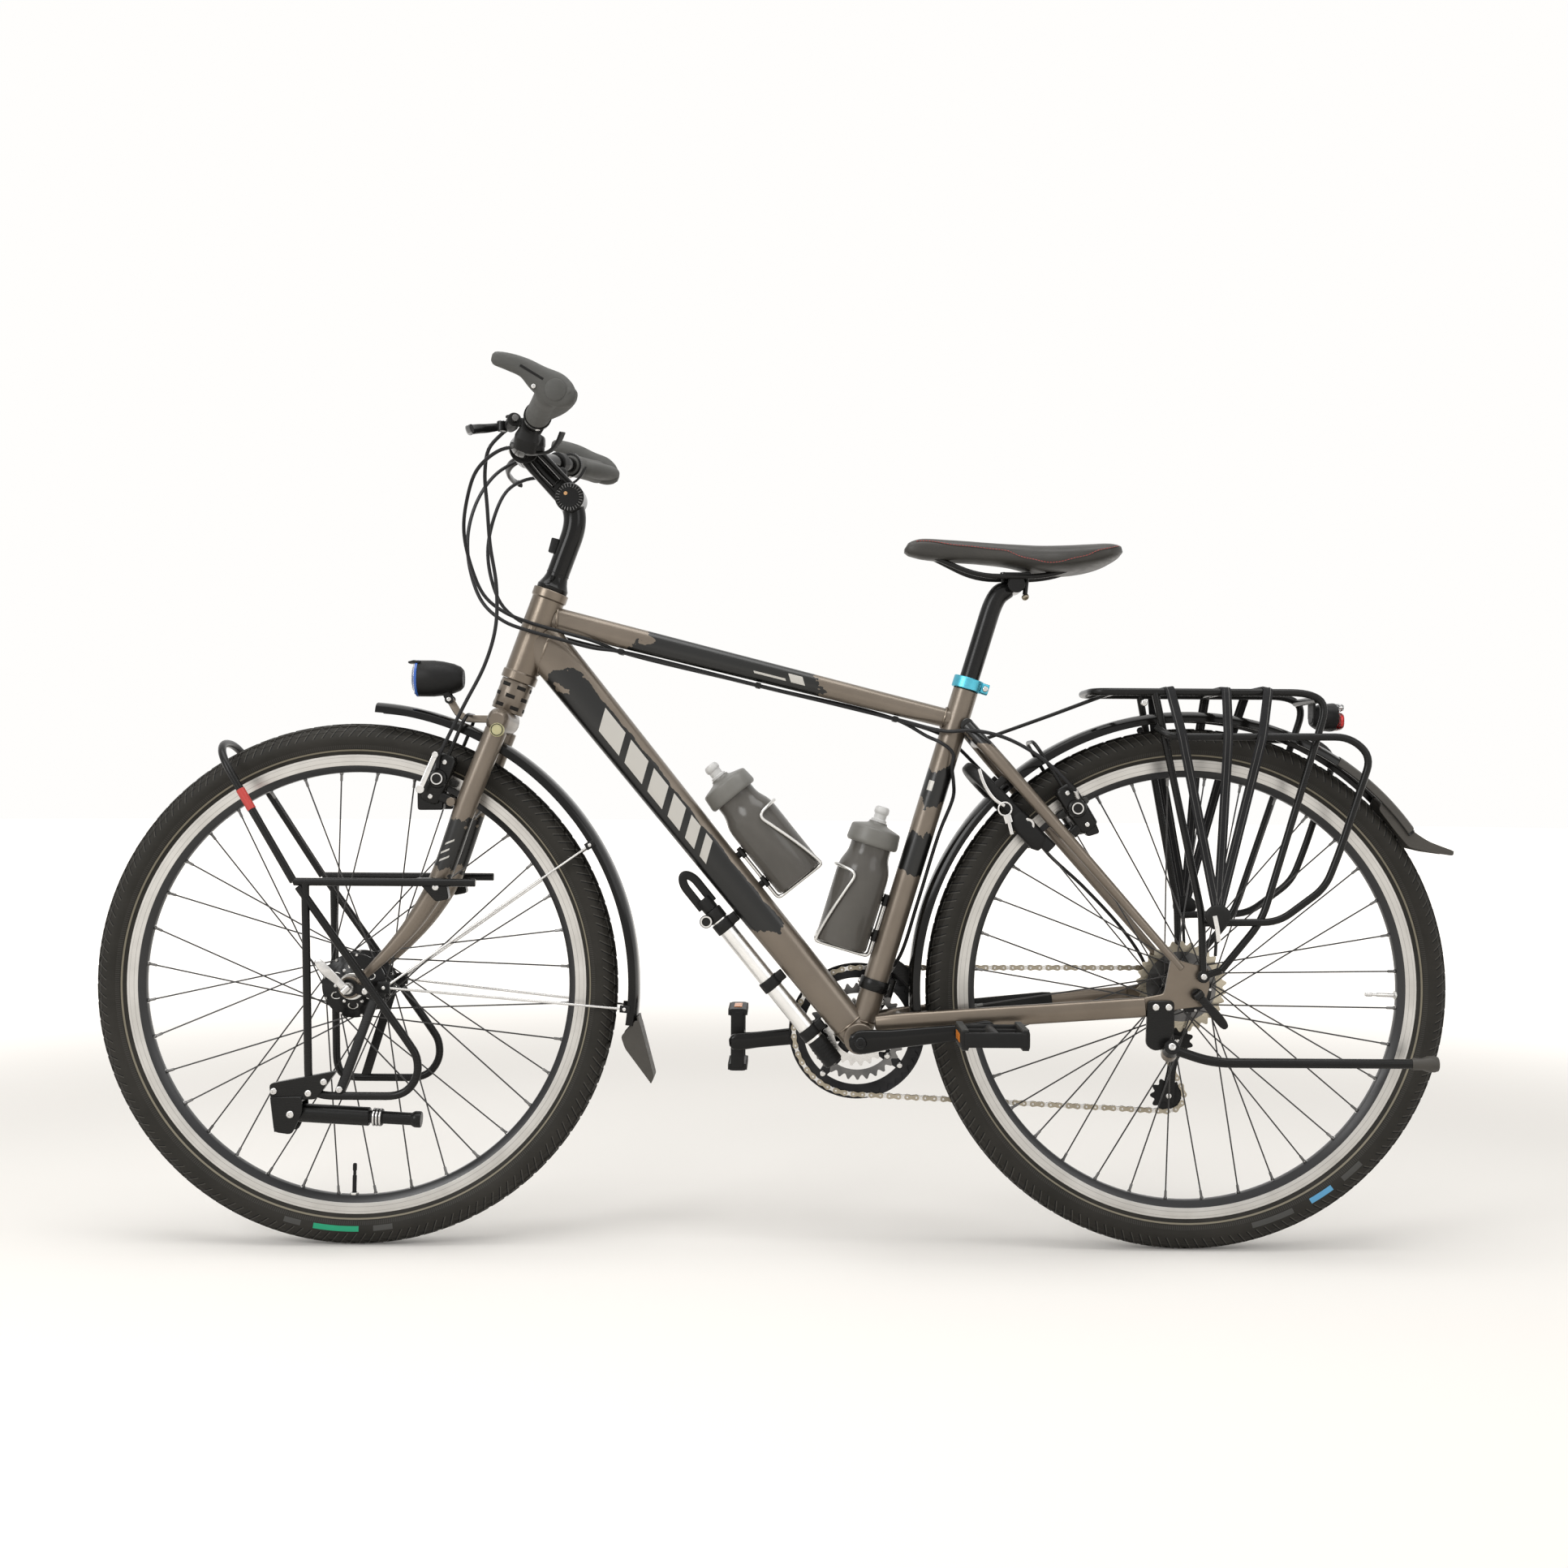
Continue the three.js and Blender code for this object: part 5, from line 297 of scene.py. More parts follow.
def spread(name, unit, places, finish, body, nodes=()):
    """Geometry Nodes set one small unit at each place, a point with a turn and a size."""
    points = bpy.data.meshes.new(name + "_places")
    points.from_pydata([Vector(at) * MM for at, turn, size in places], [], [])
    turns = points.attributes.new("turn", "FLOAT_VECTOR", "POINT")
    sizes = points.attributes.new("size", "FLOAT_VECTOR", "POINT")
    for i, (at, turn, size) in enumerate(places):
        turns.data[i].vector = tuple(turn)
        sizes.data[i].vector = (size, size, size) if isinstance(size, (int, float)) else size
    unit_holder = bpy.data.objects.new(name + "_unit", mesh_of(name + "_unit", unit))
    unit_holder.data.materials.append(finish)
    carrier = bpy.data.objects.new(name + "_carrier", points)
    scene.collection.objects.link(carrier)
    change = carrier.modifiers.new("spread", "NODES")
    change.node_group = spread_tree()
    given = {"Unit": unit_holder, "Finish": finish}
    for item in change.node_group.interface.items_tree:
        if item.item_type == "SOCKET" and item.in_out == "INPUT" and item.name in given:
            change[item.identifier] = given[item.name]
    view = bpy.context.evaluated_depsgraph_get()
    mesh = bpy.data.meshes.new_from_object(carrier.evaluated_get(view), depsgraph=view)
    mesh.name = name
    bpy.data.objects.remove(carrier)
    bpy.data.objects.remove(unit_holder)
    return piece(name, mesh, body, finish, nodes)


def spread_tree():
    """The tree that all repeated parts share: points in, units on them, real mesh out."""
    known = bpy.data.node_groups.get("set_on_places")
    if known:
        return known
    tree = bpy.data.node_groups.new("set_on_places", "GeometryNodeTree")
    for name, way, kind in (("Places", "INPUT", "Geometry"), ("Unit", "INPUT", "Object"),
                            ("Finish", "INPUT", "Material"), ("Geometry", "OUTPUT", "Geometry")):
        tree.interface.new_socket(name=name, in_out=way, socket_type="NodeSocket" + kind)
    given = add_node(tree, "NodeGroupInput")
    result = add_node(tree, "NodeGroupOutput")
    unit = add_node(tree, "GeometryNodeObjectInfo")
    place = add_node(tree, "GeometryNodeInstanceOnPoints")
    real = add_node(tree, "GeometryNodeRealizeInstances")
    paint = add_node(tree, "GeometryNodeSetMaterial")
    for name, socket in (("turn", "Rotation"), ("size", "Scale")):
        read = add_node(tree, "GeometryNodeInputNamedAttribute", data_type="FLOAT_VECTOR")
        read.inputs["Name"].default_value = name
        link(tree, read.outputs["Attribute"], place.inputs[socket])
    for source, out, target, socket in ((given, "Places", place, "Points"),
                                        (given, "Unit", unit, "Object"),
                                        (unit, "Geometry", place, "Instance"),
                                        (place, "Instances", real, "Geometry"),
                                        (real, "Geometry", paint, "Geometry"),
                                        (given, "Finish", paint, "Material"),
                                        (paint, "Geometry", result, "Geometry")):
        link(tree, source.outputs[out], target.inputs[socket])
    return tree


def around(axle, turn, radius, y=0):
    """A place on a circle about an axle, and the turn that stands a unit's +Z outwards there."""
    out = ray(turn)
    at = axle + out * radius
    at.y = y
    return at, Matrix.Rotation(math.pi / 2 - turn, 3, "Y").to_euler()


def wear_group():
    """Fine grain, soft cloudy shade and scratches: masks and a height that every finish can use."""
    known = bpy.data.node_groups.get("surface_wear")
    if known:
        return known
    tree = bpy.data.node_groups.new("surface_wear", "ShaderNodeTree")
    given = add_node(tree, "NodeGroupInput")
    result = add_node(tree, "NodeGroupOutput")
    place = add_node(tree, "ShaderNodeTexCoord")
    stretch = add_node(tree, "ShaderNodeMapping")
    stretch.inputs["Scale"].default_value = (1, 1, 9)
    stretch.inputs["Rotation"].default_value = (0.3, 0.5, 0.2)
    link(tree, place.outputs["Object"], stretch.inputs["Vector"])
    plain, stretched = place.outputs["Object"], stretch.outputs["Vector"]
    for name, size, detail, rough, at in (("Grain", 900, 2, 0.5, plain), ("Cloud", 12, 5, 0.6, plain),
                                          ("Scratch", 60, 6, 0.5, stretched)):
        scale = tree.interface.new_socket(name=name + " Scale", in_out="INPUT",
                                          socket_type="NodeSocketFloat")
        scale.default_value = size
        tree.interface.new_socket(name=name, in_out="OUTPUT", socket_type="NodeSocketFloat")
        noise = add_node(tree, "ShaderNodeTexNoise")
        noise.inputs["Detail"].default_value = detail
        noise.inputs["Roughness"].default_value = rough
        link(tree, at, noise.inputs["Vector"])
        link(tree, given.outputs[name + " Scale"], noise.inputs["Scale"])
        link(tree, noise.outputs["Fac"], result.inputs[name])
    return tree


def shade(tree, amount, low, high):
    """A colour that moves from low to high across the middle of the amount's range."""
    ramp = add_node(tree, "ShaderNodeValToRGB")
    for element, position, colour in zip(ramp.color_ramp.elements, (0.3, 0.7), (low, high)):
        element.position = position
        element.color = (*colour, 1)
    link(tree, amount, ramp.inputs["Fac"])
    return ramp.outputs["Color"]


def blend_colour(tree, amount, first, second):
    """The first colour where the amount is 0 and the second where it is 1."""
    mixer = add_node(tree, "ShaderNodeMix", data_type="RGBA")
    link(tree, amount, mixer.inputs["Factor"])
    for colour, socket in ((first, mixer.inputs["A"]), (second, mixer.inputs["B"])):
        if isinstance(colour, tuple):
            socket.default_value = (*colour, 1)
        else:
            link(tree, colour, socket)
    return mixer.outputs["Result"]


def finish_base(name, low, high, rough, metal=0, grain=900, cloud=14, bump=0.15, depth=0.00012, coat=0,
                gloss=0.5, rough_spread=0.06):
    """A finish with cloudy colour, uneven gloss and a fine grain; returns its tree and shader."""
    made = bpy.data.materials.new(name)
    made.use_nodes = True
    tree = made.node_tree
    shader = tree.nodes["Principled BSDF"]
    for socket, value in (("Metallic", metal), ("Coat Weight", coat), ("Coat Roughness", 0.15),
                          ("Specular IOR Level", gloss)):
        shader.inputs[socket].default_value = value
    wear = add_node(tree, "ShaderNodeGroup")
    wear.node_tree = wear_group()
    wear.name = "wear"
    wear.inputs["Grain Scale"].default_value = grain
    wear.inputs["Cloud Scale"].default_value = cloud
    link(tree, shade(tree, wear.outputs["Cloud"], low, high), shader.inputs["Base Color"])
    link(tree, level(tree, wear.outputs["Scratch"], rough - rough_spread, rough + rough_spread),
         shader.inputs["Roughness"])
    relief = add_node(tree, "ShaderNodeBump")
    relief.name = "relief"
    relief.inputs["Strength"].default_value = bump
    relief.inputs["Distance"].default_value = depth
    link(tree, wear.outputs["Grain"], relief.inputs["Height"])
    link(tree, relief.outputs["Normal"], shader.inputs["Normal"])
    return made, tree, shader, wear


def wheel_place(tree, axle):
    """About an axle, in object coordinates: the distance, the turn and the place across."""
    place = add_node(tree, "ShaderNodeTexCoord")
    shift = add_node(tree, "ShaderNodeMapping")
    shift.inputs["Location"].default_value = (-axle.x * MM, 0, -axle.z * MM)
    link(tree, place.outputs["Object"], shift.inputs["Vector"])
    parts = add_node(tree, "ShaderNodeSeparateXYZ")
    link(tree, shift.outputs["Vector"], parts.inputs["Vector"])
    squared_x = math_node(tree, "MULTIPLY", parts.outputs["X"], parts.outputs["X"])
    squared_z = math_node(tree, "MULTIPLY", parts.outputs["Z"], parts.outputs["Z"])
    distance = math_node(tree, "SQRT", math_node(tree, "ADD", squared_x, squared_z))
    turn = math_node(tree, "ARCTAN2", parts.outputs["Z"], parts.outputs["X"])
    return distance, turn, parts.outputs["Y"]


def within(tree, value, low, high):
    """1 where the value lies between two limits."""
    above = math_node(tree, "GREATER_THAN", value, low)
    below = math_node(tree, "LESS_THAN", value, high)
    return math_node(tree, "MULTIPLY", above, below)


# Rings on the tyre's side, in metres from the axle: pale line, cuts with painted shade and highlight,
# fine ribs with painted sheen, patches.
PALE_LINE = (0.3202, 0.3222)
SHOULDER_CUT_SHADE_RING = (0.3400, 0.3568)
RIB_SHEEN_RING = (0.3235, 0.3285)
PATCH_RING = (0.3300, 0.3372)
CUTS_PER_RADIAN = 27.54


def tyre_finish(name, axle, patches, lean):
    """Dark rubber, with a pale line above the rim, painted shade and highlights at the shoulder cuts, a
    painted sheen on the fine ribs and coloured patches.
    """
    made, tree, shader = finish_base(name, (0.019, 0.0175, 0.0145), (0.030, 0.0275, 0.0235), 0.62,
                                     grain=1400, bump=0.25, gloss=0.20)[:3]
    base = shader.inputs["Base Color"].links[0].from_socket
    distance, turn, side = wheel_place(tree, axle)
    line = within(tree, distance, *PALE_LINE)
    colour = blend_colour(tree, line, base, (0.24, 0.215, 0.16))
    slant = math_node(tree, "ADD", math_node(tree, "MULTIPLY", turn, CUTS_PER_RADIAN),
                      math_node(tree, "MULTIPLY", distance, lean))
    share = math_node(tree, "FRACT", math_node(tree, "ADD", slant, 200))
    # The shoulder cuts: painted shade in each groove and a painted highlight on the lip beside it.
    shoulder = within(tree, distance, *SHOULDER_CUT_SHADE_RING)
    cut_shade = math_node(tree, "MULTIPLY", shoulder, math_node(tree, "LESS_THAN", share, 0.15))
    lip = math_node(tree, "MULTIPLY", shoulder, within(tree, share, 0.15, 0.27))
    colour = blend_colour(tree, cut_shade, colour, (0.004, 0.004, 0.004))
    colour = blend_colour(tree, math_node(tree, "MULTIPLY", lip, 0.7), colour, (0.085, 0.080, 0.070))
    # The fine ribs: a painted sheen on every other rib.
    ribs = math_node(tree, "SINE", math_node(tree, "MULTIPLY", turn, 720))
    band = within(tree, distance, *RIB_SHEEN_RING)
    painted_rib_sheen = math_node(tree, "MULTIPLY", band, math_node(tree, "GREATER_THAN", ribs, 0))
    colour = blend_colour(tree, math_node(tree, "MULTIPLY", painted_rib_sheen, 0.35), colour, (0.075, 0.072, 0.066))
    for low, high, tint in patches:
        patch = math_node(tree, "MULTIPLY", within(tree, turn, low, high),
                          within(tree, distance, *PATCH_RING))
        patch = math_node(tree, "MULTIPLY", patch, math_node(tree, "LESS_THAN", side, 0))
        colour = blend_colour(tree, patch, colour, tint)
    link(tree, colour, shader.inputs["Base Color"])
    return made


PATCH_GREEN = (0.03, 0.36, 0.19)
PATCH_BLUE = (0.13, 0.38, 0.62)
PATCH_GREY = (0.075, 0.074, 0.07)
TYRE_PATCHES = {
    "front": ((-1.737, -1.55, PATCH_GREEN), (-1.86, -1.79, PATCH_GREY), (-1.49, -1.41, PATCH_GREY)),
    "rear": ((-1.04, -0.935, PATCH_BLUE), (-0.88, -0.78, PATCH_GREY), (-1.30, -1.12, PATCH_GREY)),
}


def tread_block(width, length, depth, lean=0):
    """A low block with drawn-in sides, lying along +X, its top towards +Z."""
    low = [(-length / 2, -width / 2), (length / 2, -width / 2), (length / 2, width / 2),
           (-length / 2, width / 2)]
    points = [Vector((x + lean * y, y, -depth)) for x, y in low]
    points += [Vector((x * 0.86 + lean * y, y * 0.86, 0)) for x, y in low]
    faces = [(4, 5, 6, 7)] + [(i, (i + 1) % 4, (i + 1) % 4 + 4, i + 4) for i in range(4)]
    return points, faces


def tread_places(axle, radius, y, lean, phase=0):
    places = []
    for i in range(TREAD_COUNT):
        turn = (i + phase) * 2 * math.pi / TREAD_COUNT
        at, stand = around(axle, turn, radius, y)
        tilt = Matrix.Rotation(lean, 3, "X")
        places.append((at, (stand.to_matrix() @ tilt).to_euler(), 1))
    return places


for wheel_name, axle in WHEELS:
    rubber = tyre_finish(wheel_name + "_tyre_rubber", axle, TYRE_PATCHES[wheel_name], 62
                         if wheel_name == "front" else -48)
    half = list(TYRE_SECTION)
    section = half + [(radius, -y) for radius, y in reversed(half[:-1])]
    section.append(section[0])
    carcass = turned(section, axle, sides=160)
    piece(wheel_name + "_tyre_carcass", carcass, wheel_name + "_wheel", rubber,
          [wheel_name + "_tyre"], 60)
    pitch = 2 * math.pi * TYRE_RADIUS / TREAD_COUNT
    centre = tread_block(10, pitch * 0.9, TREAD_DEPTH, 0.35)
    spread(wheel_name + "_tread_centre", centre, tread_places(axle, TYRE_RADIUS - 0.15, 0, 0), rubber,
           wheel_name + "_wheel")
    for side, hand in HANDS:
        inner = tread_block(7.6, pitch * 0.86, TREAD_DEPTH, side * 0.55)
        spread(f"{wheel_name}_tread_inner_{hand}", inner,
               tread_places(axle, TYRE_RADIUS - 2.1, side * 10.4, -side * 0.30, 0.5), rubber,
               wheel_name + "_wheel")
        outer = tread_block(8.4, pitch * 0.84, TREAD_DEPTH, side * 0.75)
        spread(f"{wheel_name}_tread_shoulder_{hand}", outer,
               tread_places(axle, TYRE_RADIUS - 8, side * 17.6, -side * 0.80, 0.15), rubber,
               wheel_name + "_wheel")


# Rims and spokes: a box section with a brushed brake track on each side and a black
# inner wall, 36 crossed spokes with their nipples and eyelets, and a valve.
RIM_SECTION = ((291, 3.5), (291.6, 5.6), (300, 12.2), (301, 12.5), (316.4, 12.5), (317, 12.1),
               (317, 10.9), (306.2, 10.7))
TRACK_FOOT = 0.3004
TRACK_WEAR = ((0.3055, 0.3059), (0.3118, 0.3121))
GROOVES_PER_METRE = 9000
SPOKE_COUNT = 36


def straight(start, end, radius, sides=10, chamfer=0):
    """A round bar with closed, slightly broken ends."""
    start = Vector(start)
    end = Vector(end)
    length = (end - start).length
    edge = chamfer or min(radius, length) * 0.08
    profile = ((0, 0), (radius - edge, 0), (radius, edge), (radius, length - edge),
               (radius - edge, length), (0, length))
    return turned(profile, start, end - start, sides)


def metal_finish(name, low, high, rough, bump=0.12, rough_spread=0.08):
    return finish_base(name, low, high, rough, metal=1, grain=1200, cloud=20, bump=bump, depth=0.00006,
                       rough_spread=rough_spread)


def rim_finish(name, axle):
    made, tree, shader, wear = metal_finish(name, (0.47, 0.455, 0.43), (0.58, 0.565, 0.54), 0.30,
                                            bump=0.06, rough_spread=0.02)
    base = shader.inputs["Base Color"].links[0].from_socket
    distance = wheel_place(tree, axle)[0]
    grooves = math_node(tree, "SINE", math_node(tree, "MULTIPLY", distance, GROOVES_PER_METRE))
    inner = math_node(tree, "LESS_THAN", distance, TRACK_FOOT)
    worn = math_node(tree, "MAXIMUM", *(within(tree, distance, *ring) for ring in TRACK_WEAR))
    colour = blend_colour(tree, math_node(tree, "MULTIPLY", worn, 0.7), base, (0.10, 0.095, 0.09))
    colour = blend_colour(tree, inner, colour, (0.010, 0.010, 0.011))
    link(tree, colour, shader.inputs["Base Color"])
    bare = math_node(tree, "SUBTRACT", 1, inner)
    link(tree, math_node(tree, "MULTIPLY", bare, 0.92), shader.inputs["Metallic"])
    tall = math_node(tree, "MULTIPLY", math_node(tree, "MULTIPLY", grooves, bare), 0.6)
    link(tree, math_node(tree, "ADD", tall, wear.outputs["Grain"]),
         tree.nodes["relief"].inputs["Height"])
    return made


steel = metal_finish("bright_steel", (0.52, 0.51, 0.50), (0.70, 0.69, 0.67), 0.24)[0]
dark_steel = metal_finish("dark_steel", (0.10, 0.10, 0.10), (0.20, 0.195, 0.19), 0.34)[0]
alloy = metal_finish("brushed_alloy", (0.56, 0.55, 0.53), (0.72, 0.71, 0.68), 0.32)[0]
brass = metal_finish("brass_chain", (0.27, 0.235, 0.175), (0.42, 0.375, 0.30), 0.34)[0]
spoke_black = finish_base("spoke_black", (0.012, 0.011, 0.011), (0.024, 0.022, 0.021), 0.34, grain=1500,
                          bump=0.05)[0]
black_coat = finish_base("black_powder_coat", (0.0060, 0.0059, 0.0056), (0.0100, 0.0097, 0.0092), 0.27,
                         grain=1600, bump=0.04, gloss=0.22, rough_spread=0.015)[0]
gloss_black = finish_base("gloss_black", (0.0042, 0.0040, 0.0036), (0.0064, 0.0061, 0.0056), 0.15,
                          grain=900, bump=0.015, gloss=0.22, rough_spread=0.01)[0]
black_plastic = finish_base("black_plastic", (0.0090, 0.0090, 0.0092), (0.0160, 0.0157, 0.0150), 0.46,
                            grain=2200, bump=0.28, gloss=0.18)[0]
rubber_grey = finish_base("grey_rubber", (0.055, 0.055, 0.052), (0.085, 0.084, 0.08), 0.66, grain=1500,
                          bump=0.3, gloss=0.3)[0]


def aim(direction):
    """The turn that points a unit's +Z along a direction."""
    return UP.rotation_difference(Vector(direction).normalized()).to_euler()


SPOKE_HEAD = 2.3
SPOKE_LEAD = math.radians(60)
NIPPLE_RADIUS = 291.6
HUB_FLANGES = {"front": ((44, -26), (44, 26)), "rear": ((29, -33), (29, 19))}


def spoke_ends(wheel_name, axle):
    ends = []
    for i in range(SPOKE_COUNT):
        radius, across = HUB_FLANGES[wheel_name][i % 2]
        turn = math.radians((i + 0.5) * 360 / SPOKE_COUNT)
        hand = 1 if i % 4 < 2 else -1
        lead = turn + hand * SPOKE_LEAD
        root = axle + ray(lead) * (radius - SPOKE_HEAD)
        root.y = axle.y + across + hand * 1.7
        tip = axle + ray(turn) * NIPPLE_RADIUS
        tip.y = axle.y + across * 5 / 135
        ends.append((root, tip, hand))
    return ends


UNIT_LENGTH = 1000
SPOKE_WIRE = straight((0, 0, 0), (0, 0, UNIT_LENGTH), 1.05, 8)
NIPPLE = ((0, -12), (1.5, -12), (1.9, -11), (1.9, -3.4), (2.6, -2.6), (2.6, 0.6), (0, 0.6))
VALVE = ((0, 0), (3.9, 0), (3.9, 3), (2.9, 3.6), (2.9, 26), (2.2, 26.8), (2.2, 33), (2.9, 33.6),
         (2.9, 41), (2.1, 43), (0, 43))
VALVE_TURN = {"front": -1.585, "rear": -0.027}
EYELET = ((2.9, 0), (4.3, 0), (4, -0.9), (2.9, -1), (2.9, 0))

for wheel_name, axle in WHEELS:
    rim_metal = rim_finish(wheel_name + "_rim_metal", axle)
    section = (*mirrored(RIM_SECTION), RIM_SECTION[0])
    piece(wheel_name + "_rim_hoop", turned(section, axle, sides=180), wheel_name + "_wheel", rim_metal,
          [wheel_name + "_rim"], 30)
    wires = []
    nipples = []
    eyelets = []
    for root, tip, hand in spoke_ends(wheel_name, axle):
        span = (tip - root).length
        wires.append((root, aim(tip - root), (1, 1, span / UNIT_LENGTH)))
        nipples.append((tip, aim(tip - root), 1))
        eyelets.append((tip + (tip - root).normalized() * 0.4, aim(tip - root), 1))
    spread(wheel_name + "_spoke_wires", SPOKE_WIRE, wires, spoke_black, wheel_name + "_wheel")
    spread(wheel_name + "_spoke_nipples", turned(NIPPLE, Vector(), UP, 8), nipples, dark_steel,
           wheel_name + "_wheel")
    spread(wheel_name + "_rim_eyelets", turned(EYELET, Vector(), UP, 10), eyelets, steel,
           wheel_name + "_wheel")
    heads = [(root + Vector((0, hand * 0.9, 0)), Euler(), 1)
             for root, tip, hand in spoke_ends(wheel_name, axle)]
    head = turned(((0, -1.3), (1.6, -1.3), (2.2, -0.5), (2.2, 0.5), (1.6, 1.3), (0, 1.3)), Vector(),
                  RIGHT, 10)
    spread(wheel_name + "_spoke_heads", head, heads, steel, wheel_name + "_wheel")
    turn = VALVE_TURN[wheel_name]
    out = ray(turn)
    foot = axle + out * 291.2
    piece(wheel_name + "_valve", turned(VALVE, foot, -out, 14), wheel_name + "_wheel", black_plastic
          if wheel_name == "front" else steel)
    nut = turned(((0, 0.1), (6.2, 0.1), (6.2, 2.2), (5.4, 3), (0, 3)), foot, -out, 6)
    piece(wheel_name + "_valve_nut", nut, wheel_name + "_wheel", alloy)


# Hubs: a wide dynamo hub in front with ring-shaped cut-outs in its flanges, and a slim
# rear hub, each on a hollow axle with lock nuts.
FRONT_HUB = mirrored(((0, -49.2), (8.2, -49.2), (9.3, -48.4), (9.3, -41), (13.5, -40.2), (13.5, -36.5),
                      (20, -35), (27, -31.2), (33.5, -30.2), (35, -28.9), (43, -28.3), (44, -27.4),
                      (44, -24.2), (42.8, -23.4), (37, -22.4), (35.2, -20.8)))
REAR_HUB = (
    (0, -66.8), (8.4, -66.8), (9.3, -66), (9.3, -57.5), (8, -56.8), (8, -50), (11.5, -49.4),
    (11.5, -45.5), (15.4, -44.6), (16, -43.8), (16, -38.5), (19.5, -36.2), (28.2, -34.6), (29, -33.8),
    (29, -32.2), (28.2, -31.4), (18.5, -30), (15.2, -26), (14.2, -16), (14.2, 4), (16.4, 12),
    (19.5, 16.2), (28.2, 17.4), (29, 18.2), (29, 19.8), (28.2, 20.6), (20, 22.6), (17.6, 24),
    (17.6, 27), (9.3, 28), (9.3, 66), (8.4, 66.8), (0, 66.8),
)
dark_gloss = finish_base("black_anodised", (0.0065, 0.0065, 0.0068), (0.013, 0.0128, 0.0125), 0.22,
                         metal=0.1, grain=1200, bump=0.05, gloss=0.24)[0]
piece("front_hub_shell", turned(FRONT_HUB, FRONT_AXLE, RIGHT, 96), "front_wheel", dark_gloss,
      ["front_hub"])
piece("rear_hub_shell", turned(REAR_HUB, REAR_AXLE, RIGHT, 64), "rear_wheel", dark_gloss,
      ["rear_hub"])
window = turned(((5.6, -0.5), (7.2, -0.5), (7.2, 0.7), (6.4, 1.2), (5.6, 0.7), (5.6, -0.5)), Vector(),
                RIGHT, 18)
windows = []
rivets = []
for i in range(6):
    for side in SIDES:
        at, stand = around(FRONT_AXLE, math.radians(60 * i + 30), 26.5, FRONT_AXLE.y + side * 31.6)
        windows.append((at, Euler((0, 0, 0 if side > 0 else math.pi)), (1, 1, 0.72)))
        at, stand = around(FRONT_AXLE, math.radians(60 * i), 24, FRONT_AXLE.y + side * 33.2)
        rivets.append((at, Euler((0, 0, 0 if side > 0 else math.pi)), 1))
spread("front_hub_windows", window, windows, alloy, "front_wheel")
rivet = turned(((0, -1), (2.3, -1), (2.3, 0.6), (1.5, 1.3), (0, 1.5)), Vector(), RIGHT, 12)
spread("front_hub_screws", rivet, rivets, steel, "front_wheel")
for wheel_name, axle, across, inner, outer, radius in (("front", FRONT_AXLE, -39, 10.2, 3.2, 17.5),
                                                       ("rear", REAR_AXLE, -46, 12.6, 2.6, 14.2)):
    lip = turned(((inner, -outer), (radius, -outer), (radius + 0.7, -outer + 0.7),
                  (radius + 0.7, outer - 0.7), (radius, outer), (inner, outer), (inner, -outer)),
                 axle + Vector((0, across, 0)), RIGHT, 40)
    piece(wheel_name + "_hub_seal", lip, wheel_name + "_wheel", alloy)


# Frame: oversize aluminium tubes with weld beads, in satin taupe, with ragged black
# panels and plain pale bars on the tubes.
OFFSET = Vector((-7.697, -0.033, 0))
BRACKET = Vector((119.99, 0, 289.8)) + OFFSET
STEER_UP = Vector((0.34202, 0, 0.93969))
STEER_AHEAD = Vector((-0.93969, 0, 0.34202))
STEER_FOOT = FRONT_AXLE - STEER_AHEAD * 61.4
SEAT_UP = Vector((0.29070, 0, 0.95681))
SEAT_BEHIND = Vector((0.95681, 0, -0.29070))
BEAD_WAVES = 40


def on_steer(along, ahead=0, y=0):
    return STEER_FOOT + STEER_UP * along + STEER_AHEAD * ahead + RIGHT * y


def on_seat(along, behind=0, y=0):
    return BRACKET + SEAT_UP * along + SEAT_BEHIND * behind + RIGHT * y


def at_wheel(axle, share, y=0):
    return axle + Vector((share[0] * TYRE_RADIUS, y, share[1] * TYRE_RADIUS))


def at_front(share, y=0):
    return at_wheel(FRONT_AXLE, share, y)


def at_rear(share, y=0):
    return at_wheel(REAR_AXLE, share, y)


def rounded(path, radius, steps=6, closed=False):
    """A path whose corners are rounded with a curve that starts a radius before each corner."""
    path = [Vector(point) for point in path]
    count = len(path)
    made = []
    for i, point in enumerate(path):
        if not closed and i in (0, count - 1):
            made.append(point)
            continue
        before = path[i - 1]
        after = path[(i + 1) % count]
        reach = radius[i] if isinstance(radius, (list, tuple)) else radius
        cut_in = min(reach, (before - point).length * 0.49)
        cut_out = min(reach, (after - point).length * 0.49)
        start = point + (before - point).normalized() * cut_in
        end = point + (after - point).normalized() * cut_out
        for k in range(steps + 1):
            t = k / steps
            made.append(start * (1 - t) ** 2 + point * 2 * t * (1 - t) + end * t ** 2)
    return made


def even(path, step):
    """The same path with points at an even step, and each point's share of the whole length."""
    lengths = [0]
    for first, second in zip(path, path[1:]):
        lengths.append(lengths[-1] + (second - first).length)
    count = max(2, round(lengths[-1] / step) + 1)
    made = []
    j = 0
    for i in range(count):
        want = lengths[-1] * i / (count - 1)
        while j < len(path) - 2 and lengths[j + 1] < want:
            j += 1
        part = (want - lengths[j]) / max(lengths[j + 1] - lengths[j], 1e-9)
        made.append(path[j].lerp(path[j + 1], min(max(part, 0), 1)))
    return made


